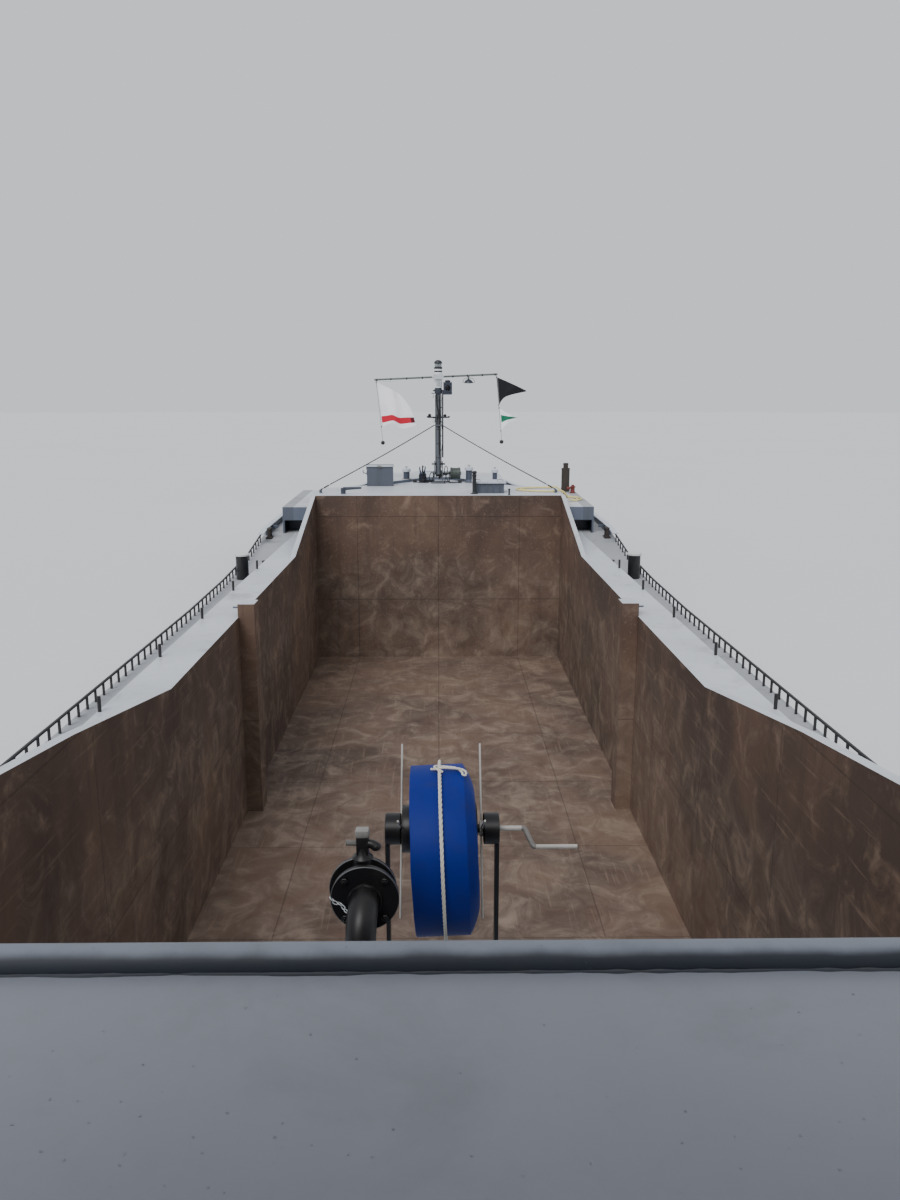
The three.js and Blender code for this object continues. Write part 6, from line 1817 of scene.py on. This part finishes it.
def addWindows(stamp, stampSockets, bolt):
    seals, panes, spots = bmesh.new(), bmesh.new(), []
    for group, items in windows.items():
        for low, high, axis, sign in items:
            pairs = [(low, high, sign)]
            if axis == "X":
                pairs.append((*mirroredCorners(low, high), -sign))
            for first, last, way in pairs:
                first, last = Vector(first), Vector(last)
                out = Vector((way, 0, 0)) if axis == "X" else Vector((0, way, 0))
                addFrame(seals, first + out * 0.004, last + out * 0.004, 0.05, 0.012, axis, 0.06)
                addFrame(seals, first - out * 0.054, last - out * 0.054, 0.05, 0.008, axis, 0.06)
                if group == "house":
                    inset, half = Vector((0, 0.002, 0.002)), Vector((0.003, 0, 0))
                    addBox(panes, first + inset - out * 0.03 - half, last - inset - out * 0.03 + half, 0.0008)
                    for y in (first.y - 0.022, last.y + 0.022):
                        for z in (3.14, 3.37, 3.6):
                            spots.append((first.x + out.x * 0.0105, y, z, out.x, 0, 0))
    for x in (-0.45, 0.45):
        addBox(seals, (x - 0.022, -4.243, 4.682), (x + 0.022, -4.205, 5.598), 0.004)
    addBox(seals, (-0.02, -6.895, 4.682), (0.02, -6.857, 5.598), 0.004)
    finished("window_frames", seals, sealDark, "hull")
    finished("house_panes", panes, ownFinish("wheelhouse_glass_front"), "hull")
    grown("window_screws", pointMesh("windowScrewSpots", spots), stamp, stampSockets,
          {"Shape": bolt, "Spread": 0.1, "Seed": 7, "Material": steelBright}, "hull")
    for side, sign in bothSides:
        build = bmesh.new()
        for shift in (0.0, 0.042):
            x = sign * (1.4955 - shift)
            addFrame(build, (x, -5.79, 4.68), (x, -5.21, 5.51), 0.036, 0.008, "X", 0.05)
        least, most = sorted((sign * 1.4955, sign * 1.503))
        addBox(build, (least, -5.86, 4.56), (most, -5.82, 4.76), 0.003)
        finished(f"door_{side}_seal", build, sealDark, f"door_{side}")
    wipers = bmesh.new()
    for x in (-0.9, 0.0, 0.9):
        addTurned(wipers, [(0, 0), (0.022, 0), (0.024, 0.01), (0.018, 0.026), (0, 0.03)],
                  (x + 0.2, -4.1985, 5.63), (0, 1, 0), 18)
        arm = curved([(x + 0.2, -4.176, 5.63), (x + 0.12, -4.184, 5.4), (x + 0.06, -4.196, 5.22)], 5)
        addTube(wipers, arm, 0.005, 8)
        addBox(wipers, (x + 0.045, -4.204, 4.98), (x + 0.065, -4.192, 5.46), 0.003)
    finished("wipers", wipers, plasticBlack, "hull")


def addSideLights():
    for (side, sign), tint in zip(bothSides, (shade(190, 24, 26), shade(20, 140, 84))):
        build = bmesh.new()
        addTurned(build, [(0, 0), (0.048, 0.0), (0.056, 0.01), (0.056, 0.02), (0.052, 0.03), (0.056, 0.04),
                          (0.052, 0.05), (0.056, 0.06), (0.052, 0.07), (0.056, 0.08), (0.056, 0.11),
                          (0.04, 0.124), (0, 0.126)], (sign * 1.595, -6.2885, 5.067), (0, 0, 1), 30)
        finished(f"side_light_{side}", build, clearCoat(f"sideGlass_{side}", tint, 0.15), "hull")


# Wheelhouse roof: radar bar on its hub, searchlight in its yoke, gutter and aerials
radar = {"y": -5.9, "hubZ": 6.3806, "barZ": 6.466, "half": 0.62}
searchlight = (0.9, -4.6, 6.18)


def addRadar():
    y, z = radar["y"], radar["barZ"]
    scanner = bmesh.new()
    addTurned(scanner, [(0, 0), (0.075, 0), (0.08, 0.006), (0.08, 0.03), (0.06, 0.046), (0, 0.05)],
              (0, y, radar["hubZ"]), sides=36)
    line = [Vector((radar["half"] * (index / 12 - 1), y, z)) for index in range(25)]
    sizes = [0.55 + 0.45 * min(1.0, 6 * min(index, 24 - index) / 24) for index in range(25)]
    section = [(0.055 * math.copysign(abs(u) ** 0.5, u), 0.043 * math.copysign(abs(v) ** 0.6, v))
               for u, v in ringSection(1.0, 28)]
    addSweep(scanner, line, section, sizes=sizes)
    piece = finished("radar_bar", scanner, lanternWhite, "radar")
    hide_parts("radar_scanner")
    trim = bmesh.new()
    addBox(trim, (-0.5, y - 0.0565, z - 0.008), (0.5, y - 0.055, z + 0.008), 0.0006)
    finished("radar_stripe", trim, navyPaint, "radar")


def addSearchlight():
    x, y, z = middle = searchlight
    lamp = bmesh.new()
    addTurned(lamp, [(0, -0.118), (0.05, -0.116), (0.092, -0.09), (0.1, -0.05), (0.108, 0.05), (0.12, 0.06),
                     (0.12, 0.11), (0.113, 0.11), (0.105, 0.082), (0, 0.05)], middle, (0, 1, 0), 40)
    for index in range(4):
        at = index * 0.022
        addTurned(lamp, [(0.1, at - 0.03), (0.112, at - 0.029), (0.112, at - 0.021), (0.1, at - 0.02)],
                  middle, (0, 1, 0), 40)
    addTurned(lamp, [(0, 0.0005), (0.03, 0.0005), (0.03, 0.03), (0.024, 0.036), (0.022, 0.07), (0, 0.07)],
              (x, y, 5.97), sides=24)
    yoke = curved([(x - 0.128, y, z), (x - 0.126, y, 6.08), (x - 0.07, y, 6.035), (x, y, 6.03),
                   (x + 0.07, y, 6.035), (x + 0.126, y, 6.08), (x + 0.128, y, z)], 6)
    addSweep(lamp, yoke, [(-0.016, -0.003), (0.016, -0.003), (0.016, 0.003), (-0.016, 0.003)])
    for sign in (-1, 1):
        addTurned(lamp, [(0, 0), (0.02, 0), (0.02, 0.01), (0, 0.012)], (x + sign * 0.118, y, z),
                  (sign, 0, 0), 16)
    piece = finished("searchlight_head", lamp, lanternWhite, "searchlight")
    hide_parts("searchlight")
    glass = bmesh.new()
    addTurned(glass, [(0, 0.088), (0.107, 0.088), (0.109, 0.094), (0.06, 0.104), (0, 0.107)],
              middle, (0, 1, 0), 40)
    finished("searchlight_glass", glass, lensClear, "searchlight")


def addRoofGear():
    gutter = bmesh.new()
    addFrame(gutter, (-1.624, -7.024, 5.79), (1.624, -4.016, 5.79), 0.012, 0.085, "Z", 0.05)
    finished("roof_gutter", gutter, ownFinish("wheelhouse_roof"), "hull")
    whip = bmesh.new()
    for x, y, height in ((-1.2, -6.6, 0.5), (1.25, -6.5, 0.42)):
        addTurned(whip, [(0, 0), (0.03, 0), (0.03, 0.01), (0.014, 0.02), (0.012, 0.09), (0.004, 0.1),
                         (0.002, height), (0, height)], (x, y, 5.8305), sides=14)
    finished("roof_aerials", whip, plasticBlack, "hull")


# Deckhouse roof: exhaust sleeve, skylight, box fittings and lifebuoy; then the staff at the stern
exhaust = {"x": 1.45, "y": -7.45, "aim": (0, -0.817, 0.577)}
buoy = {"middle": (-2.42, -9.3, 4.24), "radius": 0.29, "thick": 0.062}


def addExhaust():
    x, y = exhaust["x"], exhaust["y"]
    hot = bmesh.new()
    addTurned(hot, [(0.096, 0), (0.12, 0), (0.122, 0.01), (0.122, 0.4), (0.11, 0.42), (0.096, 0.42)],
              (x, y, 4.06), sides=40)
    for index in range(9):
        angle = 2 * math.pi * index / 9
        u, v = x + 0.1235 * math.cos(angle), y + 0.1235 * math.sin(angle)
        for z in (4.14, 4.24, 4.34):
            addBox(hot, (u - 0.004, v - 0.004, z), (u + 0.004, v + 0.004, z + 0.06), 0.002)
    addTurned(hot, [(0.0955, -0.03), (0.104, -0.028), (0.104, 0.0), (0.0955, 0.004)],
              (x, y - 0.16, 4.773), exhaust["aim"], 40)
    finished("exhaust_sleeve", hot, sootSteel, "hull")


def addSkylight():
    panes, glass = bmesh.new(), bmesh.new()
    for x in (-0.24, 0.24):
        addFrame(panes, (x - 0.2, -11.1, 4.094), (x + 0.2, -10.2, 4.094), 0.03, 0.012, "Z", 0.03)
        addBox(glass, (x - 0.19, -11.09, 4.0905), (x + 0.19, -10.21, 4.097), 0.001)
    finished("skylight_frames", panes, steelDull, "hull")
    finished("skylight_panes", glass, ownFinish("wheelhouse_glass_front"), "hull")
    box = bmesh.new()
    addFrame(box, (-1.905, -13.805, 4.26), (-0.995, -13.195, 4.26), 0.008, 0.03, "Z", 0.01)
    for x in (-1.7, -1.2):
        addBox(box, (x - 0.02, -13.195, 4.2), (x + 0.02, -13.188, 4.3), 0.002)
        addBox(box, (x - 0.03, -13.812, 4.21), (x + 0.03, -13.8, 4.29), 0.002)
    finished("roof_box_fittings", box, steelDull, "hull")


def addLifebuoy():
    x, y, z = buoy["middle"]
    ring = bmesh.new()
    addTube(ring, circle(buoy["middle"], buoy["radius"], 64, "X"), buoy["thick"], 20, closed=True)
    finished("lifebuoy", ring, buoyCoat(), "hull")
    line = []
    for index in range(65):
        angle = 2 * math.pi * index / 64
        reach = 0.357 + 0.018 * abs(math.sin(2 * angle))
        line.append(Vector((x, y + reach * math.cos(angle), z + reach * math.sin(angle))))
    rope = bmesh.new()
    addRope(rope, line, 0.0055, closed=True, lay=9.0)
    finished("lifebuoy_line", rope, ropeWhite, "hull")


def addStaffGear():
    staff = bmesh.new()
    addTurned(staff, [(0.0155, -0.01), (0.03, -0.002), (0.033, 0.012), (0.026, 0.03), (0, 0.036)],
              (0, -19.275, 4.6), sides=24)
    addTurned(staff, [(0.021, 0), (0.045, 0), (0.045, 0.012), (0.028, 0.02), (0.0205, 0.05)],
              (0, -19.275, 3.252), sides=24)
    addBox(staff, (-0.045, -19.257, 3.9), (0.045, -19.249, 3.914), 0.003)
    finished("staff_fittings", staff, steelBright, "hull")


def buoyCoat():
    material, tree, shader = startMaterial("buoyOrange", 0.45)
    y, z = axes(tree, objectPlace(tree))[1:]
    rise, run = calc(tree, "SUBTRACT", z, buoy["middle"][2]), calc(tree, "SUBTRACT", y, buoy["middle"][1])
    turn = calc(tree, "ARCTAN2", rise, run)
    band = over(tree, calc(tree, "COSINE", times(tree, turn, 4.0)), 0.86)
    tint = mixed(tree, band, shade(222, 84, 34), shade(228, 226, 220))
    coated(tree, shader, tint, {"fade": 0.12, "grime": 0.25, "rust": 0.0, "gloss": (0.4, 0.6)})
    return material


# Cushion: a crowned block whose sides pull in between its corners, with a sewn channel and a pinched edge
# where top and underside meet
def addCushion(name, middle, size, turn):
    build = bmesh.new()
    width, depth, thick = size
    count = 18
    spin = Matrix.Rotation(turn, 4, "X")
    rows = {}
    for face, sign in (("top", 1), ("under", -1)):
        for i in range(count + 1):
            for j in range(count + 1):
                u, v = 2 * i / count - 1, 2 * j / count - 1
                edge = (1 - abs(u) ** 4) * (1 - abs(v) ** 4)
                crown = (edge ** 0.42) * (0.5 if sign > 0 else 0.42)
                channel = 0.05 * math.exp(-((abs(u) - 0.52) / 0.05) ** 2) if sign > 0 else 0.0
                x = u * width / 2 * (1 - 0.03 * (1 - abs(v) ** 2) * abs(u) ** 3)
                y = v * depth / 2 * (1 - 0.035 * (1 - abs(u) ** 2) * abs(v) ** 3)
                z = sign * thick * crown * (1 - channel * 4 * edge)
                rows[face, i, j] = build.verts.new(Vector(middle) + spin @ Vector((x, y, z)))
    for face, order in (("top", 1), ("under", -1)):
        for i in range(count):
            for j in range(count):
                corners = [rows[face, i + u, j + v] for u, v in ((0, 0), (1, 0), (1, 1), (0, 1))]
                build.faces.new(corners[::order])
    bmesh.ops.remove_doubles(build, verts=build.verts, dist=1e-4)
    piece = finished(name, build, leatherCoat, "helm_chair", sharp=70)


chair = {"seatY": -5.56, "armX": 0.262}


def addChair():
    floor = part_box("helm_chair")[0].z
    seatY, armX = chair["seatY"], chair["armX"]
    base = bmesh.new()
    addTurned(base, [(0, 0.0), (0.215, 0.0), (0.22, 0.004), (0.215, 0.014), (0.09, 0.03), (0.05, 0.05),
                     (0.045, 0.06), (0.045, 0.3), (0.034, 0.305), (0.034, 0.46), (0.06, 0.47), (0.06, 0.48),
                     (0, 0.48)], (0, seatY, floor), sides=36)
    addBox(base, (-0.2, seatY - 0.2, floor + 0.48), (0.2, seatY + 0.2, floor + 0.5), 0.006)
    spine = curved([(0, -5.72, floor + 0.49), (0, -5.845, floor + 0.5), (0, -5.872, floor + 0.6),
                    (0, -5.86, floor + 0.9)], 6)
    addSweep(base, spine, [(-0.04, -0.008), (0.04, -0.008), (0.04, 0.008), (-0.04, 0.008)])
    for sign in (-1, 1):
        addTube(base, curved([(sign * 0.2, -5.6, floor + 0.5), (sign * armX, -5.62, floor + 0.55),
                              (sign * 0.268, -5.64, floor + 0.74)], 6), 0.013, 12)
    piece = finished("chair_base", base, steelDull, "helm_chair")
    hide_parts("helm_chair")
    addCushion("chair_seat", (0, seatY, floor + 0.555), (0.49, 0.47, 0.115), 0.0)
    addCushion("chair_back", (0, -5.80, floor + 0.86), (0.46, 0.56, 0.1), math.radians(96))
    for side, sign in bothSides:
        addCushion(f"chair_arm_{side}", (sign * armX, -5.6, floor + 0.765), (0.07, 0.3, 0.05), 0.0)


# Console: instrument panels, throttle levers and small dials on the sloped top
console = {"front": -4.85, "depth": 0.4, "height": 0.82, "rise": 0.16}


def onConsole(foot, x, share):
    return Vector((x, console["front"] + console["depth"] * share,
                   foot + console["height"] + console["rise"] * share))


def addConsoleGear():
    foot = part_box("helm_console")[0].z
    slope = math.atan2(console["rise"], console["depth"])
    dark, bright, screens = bmesh.new(), bmesh.new(), bmesh.new()
    for x in (-0.52, 0.5):
        spot = onConsole(foot, x, 0.6)
        addBox(dark, spot - Vector((0.13, 0.1, -0.002)), spot + Vector((0.13, 0.1, 0.035)), 0.006)
        addBox(screens, spot - Vector((0.115, 0.085, -0.034)), spot + Vector((0.115, 0.085, 0.038)), 0.002)
    for x in (-0.3, -0.24, 0.26):
        spot = onConsole(foot, x, 0.35)
        addTube(bright, [spot, spot + Vector((0, -0.02, 0.11))], 0.006, 10)
        addBall(dark, spot + Vector((0, -0.022, 0.118)), 0.019)
    for index in range(6):
        addTurned(bright, [(0, 0), (0.022, 0), (0.024, 0.004), (0.022, 0.01), (0, 0.011)],
                  onConsole(foot, -0.15 + index * 0.06, 0.82), (0, -math.sin(slope), math.cos(slope)), 20)
    finished("console_modules", dark, plasticBlack, "hull")
    finished("console_dials", bright, steelBright, "hull")
    finished("console_screens", screens, screenGlass, "hull")


# Screw: four swept blades on a tapered boss, and the ribs of the rudder behind it
screwPlan = {"y": -16.62, "z": 0.72, "root": 0.085, "tip": 0.572, "levels": 12, "sides": 16}


def addScrew():
    build = bmesh.new()
    y, z = screwPlan["y"], screwPlan["z"]
    levels, sides = screwPlan["levels"], screwPlan["sides"]
    addTurned(build, [(0, -0.15), (0.06, -0.149), (0.088, -0.12), (0.1, 0.0), (0.128, 0.19),
                      (0.128, 0.1997), (0, 0.1997)], (0, y, z), (0, 1, 0), 40)
    for blade in range(4):
        spin = Matrix.Rotation(blade * math.pi / 2, 3, "Y")
        rings = []
        for level in range(levels + 1):
            share = level / levels
            radius = screwPlan["root"] + (screwPlan["tip"] - screwPlan["root"]) * share
            chord = 0.19 + 0.23 * math.sin(math.pi * min(1.0, share * 0.86 + 0.1)) * (1 - share ** 6)
            chord *= math.sqrt(max(0.02, 1 - share ** 5))
            pitch = math.atan2(0.9, 2 * math.pi * (radius + 0.05))
            thick = 0.026 * (1 - share) + 0.005
            sweep = 0.07 * share ** 2
            ring = []
            for u, v in ringSection(0.5, sides):
                across, up = chord * u, thick * v
                local = Vector((across * math.cos(pitch) - up * math.sin(pitch) + sweep,
                                across * math.sin(pitch) + up * math.cos(pitch), radius))
                ring.append(build.verts.new(Vector((0, y + 0.02, z)) + spin @ local))
            rings.append(ring)
        for before, after in zip(rings, rings[1:]):
            for part in range(sides):
                mate = (part + 1) % sides
                build.faces.new((before[part], before[mate], after[mate], after[part]))
        build.faces.new(rings[0][::-1])
        build.faces.new(rings[-1])
    piece = finished("screw", build, ownFinish("propeller"), "propeller", sharp=50)
    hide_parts("propeller")
    ribs = bmesh.new()
    for level in (0.4, 0.72, 1.04):
        for sign in (-1, 1):
            addTube(ribs, [(sign * 0.076, -17.46, level), (sign * 0.079, -17.62, level),
                           (sign * 0.034, -18.2, level)], 0.012, 8)
    finished("rudder_ribs", ribs, ownFinish("rudder_blade"), "rudder")


# Hopper: ladder rungs in a corner, lashing rings on the coaming, louvres in the casing's sides
def addHoldGear():
    ladders = bmesh.new()
    for sign in (-1, 1):
        wall = sign * 2.3195
        bar = [(wall, -0.17), (wall - sign * 0.08, -0.17), (wall - sign * 0.1, -0.14),
               (wall - sign * 0.1, 0.14), (wall - sign * 0.08, 0.17), (wall, 0.17)]
        for rung in range(8):
            addTube(ladders, curved([(x, -0.72 + y, 0.75 + rung * 0.28) for x, y in bar], 5), 0.011, 10)
    finished("hold_ladders", ladders, railRust, "hull")
    rings = bmesh.new()
    for sign in (-1, 1):
        for y in (2.2, 3.87, 5.54, 7.2, 8.87, 10.2):
            addTube(rings, circle((sign * 2.752, y, 2.72), 0.035, 20, "X"), 0.007, 8, closed=True)
            addBox(rings, (sign * 2.751 - 0.012, y - 0.012, 2.745), (sign * 2.751 + 0.012, y + 0.012, 2.775),
                   0.003)
    finished("lashing_rings", rings, railRust, "hull")
    louvres = bmesh.new()
    for sign in (-1, 1):
        x = sign * 2.2
        least, most = sorted((x, x + sign * 0.012))
        for y in (-3.9, -3.1):
            addFrame(louvres, (x, y - 0.25, 3.45), (x, y + 0.25, 3.95), 0.03, 0.014, "X", 0.02)
            for index in range(9):
                z = 3.49 + index * 0.05
                addBox(louvres, (least, y - 0.235, z), (most, y + 0.235, z + 0.03), 0.003)
    finished("casing_louvres", louvres, ownFinish("engine_casing"), "hull")


# Bolt head: washer, six-sided nut and the thread's end
def boltShape():
    washer = [(0, 0), (0.0125, 0), (0.0125, 0.002), (0, 0.002)]
    nut = [(0, 0.0022), (0.0095, 0.0022), (0.0095, 0.0075), (0.008, 0.0088), (0, 0.0088)]
    thread = [(0, 0.009), (0.0048, 0.009), (0.0048, 0.0125), (0.004, 0.0135), (0, 0.0135)]
    build = bmesh.new()
    for profile, sides in ((washer, 20), (nut, 6), (thread, 12)):
        addTurned(build, profile, (0, 0, 0), sides=sides)
    return hiddenShape("boltHead", build)


addCamera()
addStage()
addLights()
dressNodes()
print("nodes dressed")
addDeckHose()
addFlags()
addStays()
stamp, stampSockets = stampGroup()
along, alongSockets = alongGroup()
beads, beadSockets = beadGroup()
bolt = boltShape()
addLantern()
addMastHead()
addYardLamps()
addArmLamps()
addMastRungs(along, alongSockets)
addHeelCables()
print("mast fitted")
addVentCaps()
addLockerGear()
addHatchGear()
addFrontPosts()
addPostGear()
addWinchGear(along, alongSockets)
addDeckFittings()
addBulwarkRails()
print("foredeck fitted")
addHoseRoll()
addReelDrum()
addReelGear(stamp, stampSockets, bolt)
addPipeGear(stamp, stampSockets, bolt, along, alongSockets)
addCasingDetails(beads, beadSockets, stamp, stampSockets)
print("after deck fitted")
addWindows(stamp, stampSockets, bolt)
addSideLights()
addRadar()
addSearchlight()
addRoofGear()
addExhaust()
addSkylight()
addLifebuoy()
addStaffGear()
addChair()
addConsoleGear()
addScrew()
addHoldGear()
bpy.data.objects.remove(bolt)
print("houses fitted")
